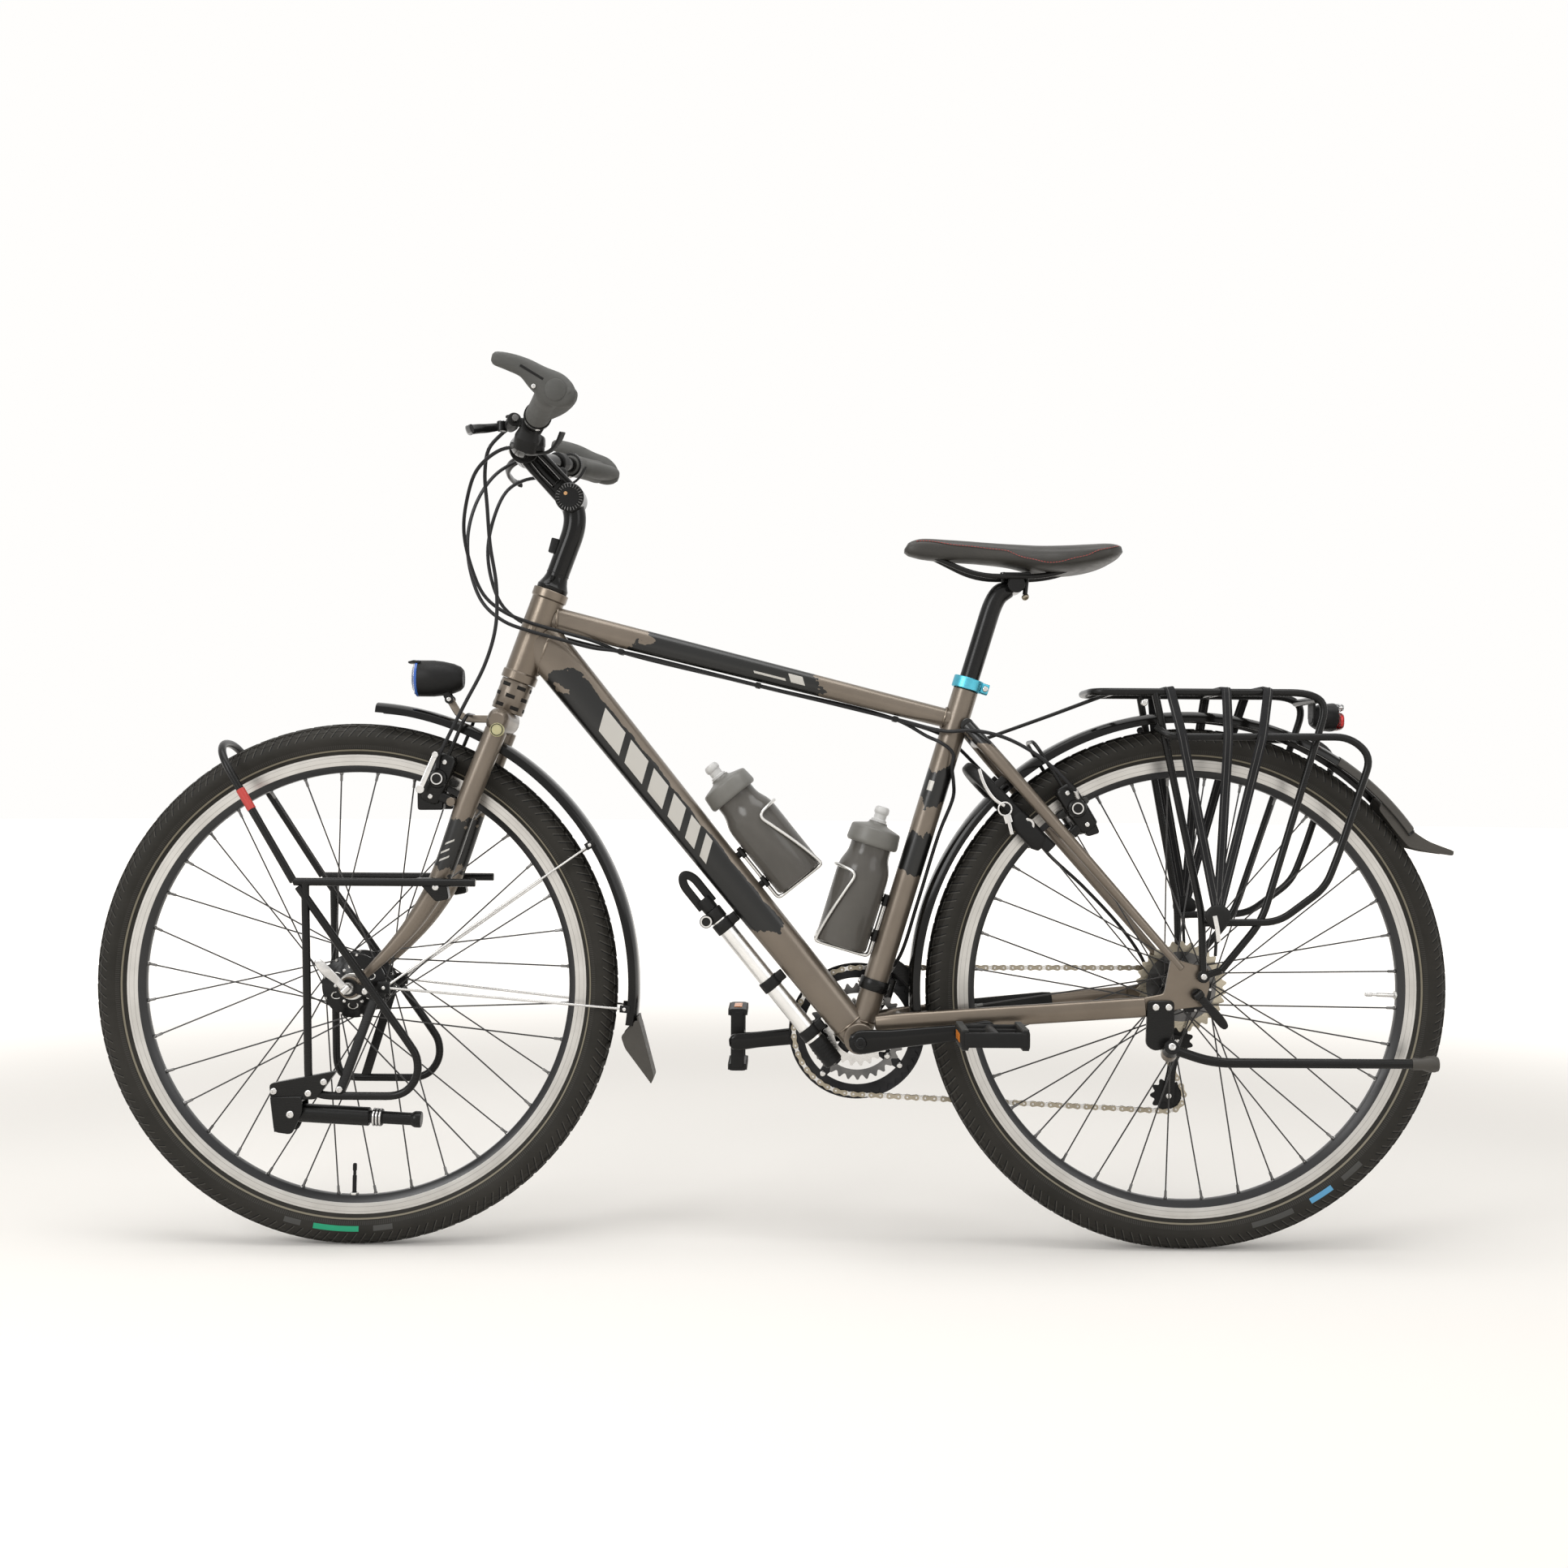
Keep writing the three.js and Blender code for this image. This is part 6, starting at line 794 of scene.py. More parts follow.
def swept(path, sizes, sides=16, first_up=UP, square=2, closed=False):
    """A tube along a path. Sizes are one radius, or a radius or half width and height at each point.
    Square 2 gives a round section, and more gives a squarer one. Ends are drawn in and closed."""
    path = [Vector(point) for point in path]
    count = len(path)
    if isinstance(sizes, (int, float)):
        sizes = [sizes] * count
    stations = []
    up = Vector(first_up)
    for i, point in enumerate(path):
        if closed:
            tangent = path[(i + 1) % count] - path[i - 1]
        else:
            tangent = path[min(i + 1, count - 1)] - path[max(i - 1, 0)]
        tangent.normalize()
        across = up.cross(tangent)
        if across.length < 1e-6:
            across = Vector((0, 1, 0))
        across.normalize()
        up = tangent.cross(across).normalized()
        size = sizes[i]
        wide, tall = (size, size) if isinstance(size, (int, float)) else size
        stations.append((point, tangent, across, up, wide, tall))
    if not closed:
        for end, way, at in ((0, 1, 0), (-1, -1, len(stations) + 1)):
            point, tangent, across, up, wide, tall = stations[end]
            edge = min(min(wide, tall) * 0.12, 1)
            stations[end] = (point + tangent * edge * way, tangent, across, up, wide, tall)
            stations.insert(at, (point, tangent, across, up, wide - edge, tall - edge))
    rings = []
    for point, tangent, across, up, wide, tall in stations:
        ring = []
        for k in range(sides):
            angle = 2 * math.pi * k / sides
            c, s = math.cos(angle), math.sin(angle)
            c = math.copysign(abs(c) ** (2 / square), c)
            s = math.copysign(abs(s) ** (2 / square), s)
            ring.append(point + across * wide * c + up * tall * s)
        rings.append(ring)
    return skinned(rings, closed)


def block(start, end, wide, tall, sides=16, first_up=UP, square=4):
    """A straight bar of one rounded section."""
    return swept([start, end], [(wide, tall)] * 2, sides, first_up, square)


def bead(at, axis, wide, tall=None, thick=2.2, up=UP):
    """A weld bead: a wavy ring round a tube where it meets another."""
    axis = Vector(axis).normalized()
    across = Vector(up).cross(axis).normalized()
    up = axis.cross(across).normalized()
    tall = wide if tall is None else tall
    ring = []
    for k in range(BEAD_WAVES * 2):
        angle = math.pi * k / BEAD_WAVES
        ring.append(Vector(at) + across * wide * math.cos(angle) + up * tall * math.sin(angle))
    sizes = [thick * (1 if k % 2 else 0.82) for k in range(BEAD_WAVES * 2)]
    return swept(ring, sizes, 8, axis, closed=True)


def plate(outline, low, high, chamfer=0.8):
    """A flat plate across the machine, from its outline seen from the side, with broken edges."""
    points = [Vector(point) for point in outline]
    area = sum(a.x * b.z - b.x * a.z for a, b in zip(points, points[1:] + points[:1]))
    if area < 0:
        points.reverse()
    count = len(points)
    inset = []
    for i, point in enumerate(points):
        one = (point - points[i - 1]).normalized()
        two = (points[(i + 1) % count] - point).normalized()
        normal = Vector((-(one.z + two.z), 0, one.x + two.x))
        normal = normal.normalized() if normal.length > 1e-6 else Vector((-one.z, 0, one.x))
        lean = max(normal.dot(Vector((-one.z, 0, one.x))), 0.45)
        inset.append(point + normal * chamfer / lean)
    step = math.copysign(chamfer, high - low)
    layers = ((inset, low), (points, low + step), (points, high - step), (inset, high))
    return skinned([[Vector((point.x, y, point.z)) for point in layer] for layer, y in layers])


def corners(outline, radius):
    return rounded(outline, radius, 3, closed=True)


def measure(tree, origin, direction):
    """Metres from a place along a direction, in object coordinates."""
    place = add_node(tree, "ShaderNodeTexCoord")
    shift = add_node(tree, "ShaderNodeVectorMath", operation="SUBTRACT")
    shift.inputs[1].default_value = Vector(origin) * MM
    link(tree, place.outputs["Object"], shift.inputs[0])
    along = add_node(tree, "ShaderNodeVectorMath", operation="DOT_PRODUCT")
    along.inputs[1].default_value = Vector(direction).normalized()
    link(tree, shift.outputs["Vector"], along.inputs[0])
    return along.outputs["Value"]


def ragged(tree, along, across, scale=26, amount=0.05):
    """The distance along a tube, pulled about in streaks so that an edge set on it turns ragged."""
    join = add_node(tree, "ShaderNodeCombineXYZ")
    link(tree, math_node(tree, "MULTIPLY", along, 0.8), join.inputs["X"])
    link(tree, math_node(tree, "MULTIPLY", across, 1.25), join.inputs["Y"])
    noise = add_node(tree, "ShaderNodeTexNoise")
    noise.inputs["Scale"].default_value = scale
    noise.inputs["Detail"].default_value = 4
    noise.inputs["Roughness"].default_value = 0.55
    link(tree, join.outputs["Vector"], noise.inputs["Vector"])
    pull = math_node(tree, "MULTIPLY", math_node(tree, "SUBTRACT", noise.outputs["Fac"], 0.5),
                     amount * 4)
    return math_node(tree, "ADD", along, pull)


PAINT_LOW = (0.150, 0.122, 0.094)
PAINT_HIGH = (0.205, 0.170, 0.134)
PANEL_BLACK = (0.006, 0.006, 0.0055)
BAR_PALE = (0.56, 0.54, 0.50)


def paint_finish(name):
    return finish_base(name, PAINT_LOW, PAINT_HIGH, 0.31, metal=0.8, grain=2600, cloud=7, bump=0.08,
                       coat=0.2, gloss=0.4, rough_spread=0.03)


def panel_finish(name, origin, direction, normal, spans, bars=(), top_edge=None, scale=26, amount=0.05):
    """Paint with ragged black panels and plain slanted bars, measured along a tube."""
    made, tree, shader = paint_finish(name)[:3]
    colour = shader.inputs["Base Color"].links[0].from_socket
    along = measure(tree, origin, direction)
    height = measure(tree, origin, normal)
    pulled = ragged(tree, along, height, scale, amount)
    black = None
    for low, high in spans:
        part = within(tree, pulled, low * MM, high * MM)
        black = part if black is None else math_node(tree, "MAXIMUM", black, part)
    if top_edge is not None:
        under = ragged(tree, height, along, 18, 0.004)
        black = math_node(tree, "MULTIPLY", black, math_node(tree, "LESS_THAN", under, top_edge * MM))
    colour = blend_colour(tree, black, colour, PANEL_BLACK)
    for start, end, low, high, lean in bars:
        slid = math_node(tree, "ADD", along, math_node(tree, "MULTIPLY", height, lean))
        bar = math_node(tree, "MULTIPLY", within(tree, slid, start * MM, end * MM),
                        within(tree, height, low * MM, high * MM))
        colour = blend_colour(tree, bar, colour, BAR_PALE)
    link(tree, colour, shader.inputs["Base Color"])
    link(tree, level(tree, black, 0.45, 0.1, 0, 1), shader.inputs["Metallic"])
    return made


frame_paint = paint_finish("satin_taupe")[0]
HEAD_TOP = on_steer(599.5)
DOWN_HEAD = on_steer(535.8)
TOP_HEAD = on_steer(562.8)
TOP_SEAT = on_seat(455)
down_way = (BRACKET - DOWN_HEAD).normalized()
down_up = Vector((-down_way.z, 0, down_way.x))
if down_up.z < 0:
    down_up = -down_up
top_way = (TOP_SEAT - TOP_HEAD).normalized()
top_up = Vector((-top_way.z, 0, top_way.x))
if top_up.z < 0:
    top_up = -top_up
down_paint = panel_finish("down_tube_paint", DOWN_HEAD, down_way, down_up, ((78, 520),),
                          ((150, 194, -14, 13, 0.7), (206, 244, -14, 13, 0.7), (256, 288, -14, 13, 0.7),
                           (300, 326, -14, 13, 0.7), (338, 358, -14, 13, 0.7),
                           (370, 384, -14, 13, 0.7)), top_edge=17)
top_paint = panel_finish("top_tube_paint", TOP_HEAD, top_way, top_up, ((150, 405),),
                         ((300, 345, -5, -2, 0.6), (352, 372, -5, 6, 0.6)), amount=0.07)
seat_paint = panel_finish("seat_tube_paint", BRACKET, SEAT_UP, SEAT_BEHIND, ((232, 288), (335, 384)),
                          ((352, 366, -12, -5, 0),), scale=42, amount=0.022)

piece("head_tube_barrel", turned(((0, 0), (24, 0), (24.6, 0.7), (24.6, 11.2), (23.6, 12.2),
                                  (22.5, 13.4), (22.5, 119.2), (23.6, 120.4), (24.6, 121.4),
                                  (24.6, 131.8), (24, 132.5), (0, 132.5)), on_steer(466.9), STEER_UP,
                                 48), "frame", frame_paint, ["head_tube"])
stop = [block(on_steer(548, 3, side * 21), on_steer(538, 3, side * 21), 3.4, 4.2, 16, STEER_AHEAD)
        for side in SIDES]
piece("head_cable_stops", stop, "frame", frame_paint)

top_path = even([TOP_HEAD + top_way * 8, TOP_SEAT + top_way * 2], 12)
piece("top_tube_hull",
      swept(top_path, [(15, 17 - 4 * i / (len(top_path) - 1)) for i in range(len(top_path))], 28,
            square=2.5), "frame", top_paint, ["top_tube"])
down_path = even([DOWN_HEAD + down_way * 8, BRACKET - down_way * 4], 12)
shell = turned(((0, -35.9), (20, -35.9), (21, -35), (21, 35), (20, 35.9), (0, 35.9)), BRACKET, RIGHT,
               40)
piece("down_tube_hull",
      [swept(down_path, [(22, 31 - 8 * i / (len(down_path) - 1)) for i in range(len(down_path))], 32,
             square=2.6), shell], "frame", down_paint, ["down_tube"])
seat_path = even([BRACKET + SEAT_UP * 6, on_seat(499.4)], 12)
piece("seat_tube_hull", swept(seat_path, 17.4, 32), "frame", seat_paint, ["seat_tube"])
beads = [
    bead(TOP_HEAD + top_way * 22.5, top_way + Vector((0, 0, 0.20)), 15.2, 18.6),
    bead(DOWN_HEAD + down_way * 25.5, STEER_AHEAD, 21, 38, 2.4, STEER_UP),
    bead(TOP_SEAT - top_way * 17.6, SEAT_BEHIND, 15, 13.6, 2, SEAT_UP),
    bead(BRACKET - down_way * 21.5, down_way, 22.2, 23.4, 2.3),
    bead(BRACKET + SEAT_UP * 22.5, SEAT_UP, 17.6, 17.6, 2.2, RIGHT),
]
piece("frame_welds", beads, "frame", frame_paint)

STAY_PLACES = ((-0.850, 1.003), (-0.735, 0.872), (-0.56, 0.672), (-0.053, 0.094))
STAY_SPREADS = (0, 0.55, 0.72, 1)
CHAIN_STAY_PLACES = ((-1.19, -0.14), (-1.10, -0.127), (-0.99, -0.118), (-0.55, -0.08), (-0.189, -0.05))
CHAIN_STAY_SPREADS = (0, 0.16, 0.30, 0.72, 1)
DROPOUT = ((-.095, .135), (-.02, .115), (.045, .10), (.05, .03), (.03, -.045), (-.05, -.055),
           (-.21, -.085), (-.22, -.02), (-.12, 0))
seat_stays = []
chain_stays = {-1: [], 1: []}
for side in SIDES:
    rails = [at_rear(place, side * (23 + 47.5 * share))
             for place, share in zip(STAY_PLACES, STAY_SPREADS)]
    path = even(rounded(rails, 60), 12)
    sizes = [10 + (5.2 - 10) * i / (len(path) - 1) for i in range(len(path))]
    seat_stays.append(swept(path, sizes, 18))
    rails = [at_rear(place, side * (24 + 46.5 * share))
             for place, share in zip(CHAIN_STAY_PLACES, CHAIN_STAY_SPREADS)]
    path = even(rounded(rails, 40), 12)
    chain_stays[side].append(swept(path, [(7.5 + 0.5 * (i < 3), 13.5) for i in range(len(path))], 18,
                                   square=2.4))
    if side > 0:
        sleeve_path = path
    chain_stays[side].append(plate(corners([at_rear(place) for place in DROPOUT], 5),
                                   side * 67.6 + OFFSET.y, side * 73.4 + OFFSET.y, 0.9))
yoke = [at_rear(STAY_PLACES[0], -24), at_rear(STAY_PLACES[0], 24)]
seat_stays.append(swept(yoke, [(9.4, 11)] * 2, 18))
seat_stays.append(straight(at_rear((-.80, .948), -28), at_rear((-.80, .948), 28), 9.6, 18))
chain_stays[-1].append(straight(at_rear(CHAIN_STAY_PLACES[1], -34), at_rear(CHAIN_STAY_PLACES[1], 34),
                                10, 18))
seat_stay_paint = panel_finish("seat_stay_paint", at_rear((-.850, 1.003)), (0.70, 0, -0.71),
                               (0.71, 0, 0.70), ((-60, 34),), (), amount=0.05)
piece("seat_stay_pair", seat_stays, "frame", seat_stay_paint, ["seat_stays"])
stand_plate = [at_rear(place) for place in ((-0.186, -0.024), (-0.086, -0.023), (-0.085, -0.135),
                                            (-0.118, -0.202), (-0.160, -0.212), (-0.191, -0.191))]
FOLD_OUT = Vector((0, -0.857167, 0.515038))
STAND_PIVOT = Vector((524.56, -93.9, 287.47))
chain_stays[-1].append(straight(STAND_PIVOT - FOLD_OUT * 9.3, STAND_PIVOT - FOLD_OUT * 21.3, 10.4, 24))
piece("chain_stay_pair", [*chain_stays[-1], *chain_stays[1]], "frame", frame_paint,
      ["chain_stays"])
# The right stay wears a black foam sleeve with sewn ends against the chain.
sleeve_cloth = finish_base("stay_sleeve", (0.010, 0.010, 0.010), (0.020, 0.020, 0.019), 0.8, grain=1500,
                           bump=0.6, depth=0.0003, gloss=0.2)[0]
sleeve_line = [point for point in sleeve_path if 70 < (point - sleeve_path[0]).length < 262]
sleeve_sizes = [(8.2, 14.2), *[(9.2, 15.4)] * (len(sleeve_line) - 2), (8.2, 14.2)]
piece("chain_stay_sleeve", swept(sleeve_line, sleeve_sizes, 22, square=2.4), "frame", sleeve_cloth)
piece("stand_bracket", plate(corners(stand_plate, 6), -72.4, -80.5, 1.2), "frame", black_coat)


# Screws: one button head with a six-sided socket, used at each bolted joint.
SOCKET_HEAD = ((0, 0.9), (1.9, 0.9), (1.9, 2.4), (3.2, 2.5), (4.1, 2), (4.8, 1.1), (5, 0.2), (5, -1.5),
               (0, -1.5))


def screw_unit(radius):
    scale = radius / 5
    return turned([(r * scale, y * scale) for r, y in SOCKET_HEAD], Vector(), UP, 18)


def screws(name, places, radius, body, finish=None):
    """Button heads at each place, each facing along its direction."""
    return spread(name, screw_unit(radius), [(at, aim(way), 1) for at, way in places], finish or steel,
                  body)


LEFT = Vector((0, -1, 0))
screws("stand_bracket_screws",
       [(at_rear(place, -81.8), LEFT) for place in ((-.156, -.047), (-.108, -.047))], 5, "frame")


# Seat: a blue clamp with its bolt, a bent black post with its cradle, and a padded
# leather saddle with a stitched red seam on two steel rails.
blue_metal = metal_finish("blue_anodised", (0.075, 0.39, 0.52), (0.11, 0.47, 0.60), 0.34)[0]
CLAMP_FOOT = 499.9
clamp_ring = turned(((17.6, 0), (20.2, 0), (20.9, 0.8), (20.9, 15.2), (20.2, 16), (14.1, 16),
                     (14.1, 14), (17.6, 13.4), (17.6, 0)), on_seat(CLAMP_FOOT), SEAT_UP, 48)
ears = [block(on_seat(CLAMP_FOOT + 8, 19, side * 4.4), on_seat(CLAMP_FOOT + 8, 29.5, side * 4.4), 3.4,
              7.4, 20, SEAT_UP, 3.2) for side in SIDES]
piece("seat_clamp_ring", [clamp_ring, *ears], "frame", blue_metal, ["seat_clamp"])
screws("seat_clamp_bolt", [(on_seat(CLAMP_FOOT + 8, 24.5, -8.3), LEFT),
                           (on_seat(CLAMP_FOOT + 8, 24.5, 8.3), RIGHT)], 4.2, "frame")

CLAMP_TOP = 515.9
POST_HEAD = on_seat(CLAMP_TOP) + Vector((48 + SEAT_UP.x * 48, 0, 129))
neck = rounded([on_seat(CLAMP_TOP - 190), on_seat(CLAMP_TOP + 120),
                POST_HEAD + Vector((-7.2, 0, -4.8))], [0, 30, 0], 10)
neck = [neck[0], on_seat(CLAMP_TOP + 60)] + neck[1:]
post_sizes = [13.6] * (len(neck) - 1) + [11.8]
cradle = [
    straight(POST_HEAD + RIGHT * -22, POST_HEAD + RIGHT * 22, 12, 32),
    block(POST_HEAD + Vector((-19, 0, 13)), POST_HEAD + Vector((19, 0, 13)), 24.5, 3.2, 24, square=5),
    straight(POST_HEAD + Vector((14, 0, -13)), POST_HEAD + Vector((17, 0, 18)), 3.4, 14),
    straight(POST_HEAD + Vector((-14, 0, -12)), POST_HEAD + Vector((-17, 0, 18)), 3.4, 14),
]
piece("seat_post_tube", [swept(neck, post_sizes, 32), *cradle], "seat", dark_gloss,
      ["seat_post"])
screws("seat_post_bolt", [(POST_HEAD + Vector((14.5, -1.5, -16.5)), Vector((0.3, -0.6, -0.75)))], 5.2,
       "seat", brass)

SADDLE_ROWS = 61
SADDLE_LENGTH = 294
SADDLE_HALF = 78
SADDLE_DEPTH = 36
SADDLE_NOSE = POST_HEAD.x - 152.5
SADDLE_LEVEL = POST_HEAD.z + 63
SADDLE_STATIONS = (
    (0, 0.13, 0.62, 0.46), (0.012, 0.175, 0.80, 0.37), (0.03, 0.21, 0.90, 0.32),
    (0.08, 0.25, 1.00, 0.22), (0.20, 0.28, 0.96, 0.12), (0.35, 0.34, 0.88, 0.05),
    (0.50, 0.48, 0.79, -0.08), (0.62, 0.70, 0.72, -0.30), (0.74, 0.90, 0.71, -0.34),
    (0.85, 1.00, 0.74, -0.22), (0.93, 0.96, 0.76, -0.03), (0.98, 0.78, 0.70, 0.18),
    (0.995, 0.62, 0.60, 0.28), (1.00, 0.50, 0.50, 0.36),
)


def smooth_between(rows, count):
    """Rows of numbers, the first rising, read at even steps along a smooth curve through them."""
    made = []
    for k in range(count):
        t = rows[0][0] + (rows[-1][0] - rows[0][0]) * k / (count - 1)
        i = max(j for j in range(len(rows) - 1) if rows[j][0] <= t + 1e-9)
        before = rows[max(i - 1, 0)]
        first = rows[i]
        second = rows[i + 1]
        after = rows[min(i + 2, len(rows) - 1)]
        step = (t - first[0]) / (second[0] - first[0])
        values = [t]
        for c in range(1, len(first)):
            span = second[0] - first[0]
            pull_in = (second[c] - before[c]) / max(second[0] - before[0], 1e-9) * span
            pull_out = (after[c] - first[c]) / max(after[0] - first[0], 1e-9) * span
            a = 2 * step ** 3 - 3 * step ** 2 + 1
            b = step ** 3 - 2 * step ** 2 + step
            d = -2 * step ** 3 + 3 * step ** 2
            e = step ** 3 - step ** 2
            values.append(a * first[c] + b * pull_in + d * second[c] + e * pull_out)
        made.append(values)
    return made


def saddle_pad():
    """The saddle's pad: a crowned ring of points at each station, with a shallow dip behind."""
    sides = 56
    rings = []
    for place, half, top, bottom in smooth_between(SADDLE_STATIONS, SADDLE_ROWS):
        points = []
        middle = (top + bottom) / 2 * SADDLE_DEPTH
        tall = (top - bottom) / 2 * SADDLE_DEPTH
        for i in range(sides):
            turn = (i + 0.5) * 2 * math.pi / sides
            c = math.cos(turn)
            s = math.sin(turn)
            crown = abs(s) ** 0.75 if s > 0 else -(abs(s) ** 0.6)
            flank = math.copysign(abs(c) ** 0.8, c)
            dip = 0
            if s > 0:
                dip = 2.2 * math.exp(-(flank * half * SADDLE_HALF / 13) ** 2)
                dip = dip * min(1, max(0, (place - 0.3) * 4)) * min(1, max(0, (1 - place) * 6))
            points.append(Vector((SADDLE_NOSE + place * SADDLE_LENGTH, flank * half * SADDLE_HALF,
                                  SADDLE_LEVEL - SADDLE_DEPTH + middle + crown * tall - dip)))
        rings.append(points)
    return skinned(rings)


def leather_finish():
    made, tree = finish_base("saddle_leather", (0.024, 0.022, 0.019), (0.040, 0.037, 0.032), 0.46,
                             grain=520, cloud=16, bump=0.45, depth=0.0002, gloss=0.42)[:2]
    pores = add_node(tree, "ShaderNodeTexVoronoi")
    pores.inputs["Scale"].default_value = 420
    place = add_node(tree, "ShaderNodeTexCoord")
    link(tree, place.outputs["Object"], pores.inputs["Vector"])
    height = math_node(tree, "ADD", math_node(tree, "MULTIPLY", pores.outputs["Distance"], 1.4),
                       tree.nodes["wear"].outputs["Grain"])
    link(tree, height, tree.nodes["relief"].inputs["Height"])
    return made


saddle_leather = leather_finish()
saddle = piece("saddle_cover", saddle_pad(), "seat", saddle_leather, ["saddle"], 60)
seam_red = finish_base("seam_thread_red", (0.34, 0.035, 0.03), (0.45, 0.06, 0.05), 0.6, grain=900)[0]
STITCH_STEP = 4.2
SEAM_TURNS = ((0, 42), (0.08, 35), (0.26, 16), (0.43, 7), (0.57, -9), (0.66, -18), (0.79, -4),
              (0.91, 6), (1, 20))
stitches = []
seam = []
for side in SIDES:
    line = []
    for place, half, top, bottom in smooth_between(SADDLE_STATIONS, SADDLE_ROWS)[3:59]:
        tall = (top - bottom) / 2 * SADDLE_DEPTH
        middle = (top + bottom) / 2 * SADDLE_DEPTH
        i = max(k for k in range(len(SEAM_TURNS) - 1) if SEAM_TURNS[k][0] <= place)
        first, second = SEAM_TURNS[i], SEAM_TURNS[i + 1]
        step = (place - first[0]) / (second[0] - first[0])
        step = step * step * (3 - 2 * step)
        turn = math.radians(first[1] + (second[1] - first[1]) * step)
        rise = math.sin(turn)
        crown = rise ** 0.75 if rise > 0 else -(-rise) ** 0.6
        line.append(Vector((SADDLE_NOSE + place * SADDLE_LENGTH,
                            side * (math.cos(turn) ** 0.8 * half * SADDLE_HALF + 0.2),
                            SADDLE_LEVEL - SADDLE_DEPTH + middle + crown * tall + 0.1)))
    seam.append(swept(line, 0.75, 8))
    dots = even(line, STITCH_STEP)
    for first, second in zip(dots, dots[1:]):
        stitches.append(((first + second) / 2 + Vector((0, side * 0.5, 0.5)), aim(second - first), 1))
piece("saddle_seam_cord", seam, "seat", saddle_leather)
stitch = turned(((0, -1.5), (0.42, -1.2), (0.5, 0), (0.42, 1.2), (0, 1.5)), Vector(), UP, 6)
spread("saddle_stitches", stitch, stitches, seam_red, "seat")
under = SADDLE_LEVEL - SADDLE_DEPTH
seat_top = POST_HEAD.z + 10
rails = []
for side in SIDES:
    rails.append(swept(rounded([Vector((SADDLE_NOSE + SADDLE_LENGTH * 0.12, side * 6.6,
                                        under + SADDLE_DEPTH * 0.35)),
                                Vector((SADDLE_NOSE + SADDLE_LENGTH * 0.34, side * 22, seat_top)),
                                Vector((SADDLE_NOSE + SADDLE_LENGTH * 0.66, side * 22, seat_top)),
                                Vector((SADDLE_NOSE + SADDLE_LENGTH * 0.87, side * 37.4,
                                        under + SADDLE_DEPTH * 0.1))], 28), 3.5, 16))
piece("saddle_rails", rails, "seat", black_coat)

# Fork: a ringed crown stack, a forged crown, two curved legs, round tips and brake
# bosses, all painted like the frame, with a dark decal and pale strokes on the legs.
LEG_PLACES = ((.544, .977), (.435, .697), (.344, .432), (.265, .285), (.169, .161), (.03, .02))
LEG_SIZES = (15, 15, 14.4, 12.6, 9.2, 5)
STACK_FOOT = 422.5
stack = [(0, 0), (21.4, 0), (22, 0.8), (22, 43.2), (21.4, 44), (0, 44)]
slots = []
for row in range(3):
    for k in range(6):
        middle = (k + 0.5 * (row % 2)) * math.tau / 6
        arc = []
        for i in range(7):
            angle = middle + math.radians(-17 + 34 * i / 6)
            way = STEER_AHEAD * math.cos(angle) + RIGHT * math.sin(angle)
            arc.append(on_steer(STACK_FOOT + 7.5 + row * 14.5) + way * 21.6)
        slots.append(swept(arc, [(0.7, 2.9)] * 7, 12, first_up=STEER_UP, square=3))
fork_parts = [turned(stack, on_steer(STACK_FOOT), STEER_UP, 48),
              straight(on_steer(464.5), on_steer(599), 15, 24)]
crown_middle = STACK_FOOT - 15
crown_path = [on_steer(crown_middle, 0, y) for y in (-61, -54, -46, -30, 0, 30, 46, 54, 61)]
crown_sizes = [(10.5, 10.5), (14, 15.5), (15.6, 17.4), (17.6, 16.6), (22.5, 15.2), (17.6, 16.6),
               (15.6, 17.4), (14, 15.5), (10.5, 10.5)]
fork_parts.append(swept(crown_path, crown_sizes, 28, first_up=STEER_UP, square=2.3))
for side in SIDES:
    rows = []
    for i, (place, size) in enumerate(zip(LEG_PLACES, LEG_SIZES)):
        at = at_front(place, side * (46 + 7 * i / 5))
        rows.append((i, at.x, at.y, at.z, size))
    line = smooth_between(rows, 60)
    fork_parts.append(swept([Vector(row[1:4]) for row in line], [row[4] for row in line], 22))
    tip = FRONT_AXLE + RIGHT * side * 50.2
    fork_parts.append(straight(tip, tip + RIGHT * side * 5.6, 15, 36, 0.9))
    fork_parts.append(straight(at_front((.379, .703), side * 46), at_front((.379, .703), side * 60), 6,
                               18))
slot_dark = finish_base("slot_shadow", (0.010, 0.009, 0.008), (0.018, 0.016, 0.014), 0.7, bump=0.1,
                        gloss=0.2)[0]
piece("fork_crown_slots", slots, "steering", slot_dark)
fork_finish = panel_finish("fork_paint", at_front(LEG_PLACES[0]),
                           at_front(LEG_PLACES[2]) - at_front(LEG_PLACES[0]), (0.94, 0, -0.34),
                           ((134, 206),), ((158, 161, -9, 1, 0.9), (170, 173, -11, -1, 0.9),
                                           (182, 185, -9, 2, 0.9)), scale=52, amount=0.02)
piece("fork_blades", fork_parts, "steering", fork_finish, ["fork"])
lamp_strap = rounded([at_front(place) for place in ((.56, 1.02), (.389, 1.022), (.346, 1.095))], 14)
bracket_steel = metal_finish("bracket_steel", (0.16, 0.135, 0.11), (0.24, 0.21, 0.175), 0.38)[0]
piece("lamp_bracket", [swept(lamp_strap, [(1.4, 5.2)] * len(lamp_strap), 14, square=5),
                       straight(at_front((.346, 1.095), -7), at_front((.346, 1.095), 7), 3.9, 16)],
      "steering", bracket_steel)
pale_badge = finish_base("pale_badge", (0.46, 0.43, 0.22), (0.56, 0.53, 0.31), 0.35, bump=0.08)[0]
BADGE_AT = Vector((-379.9, -61, 707.3))
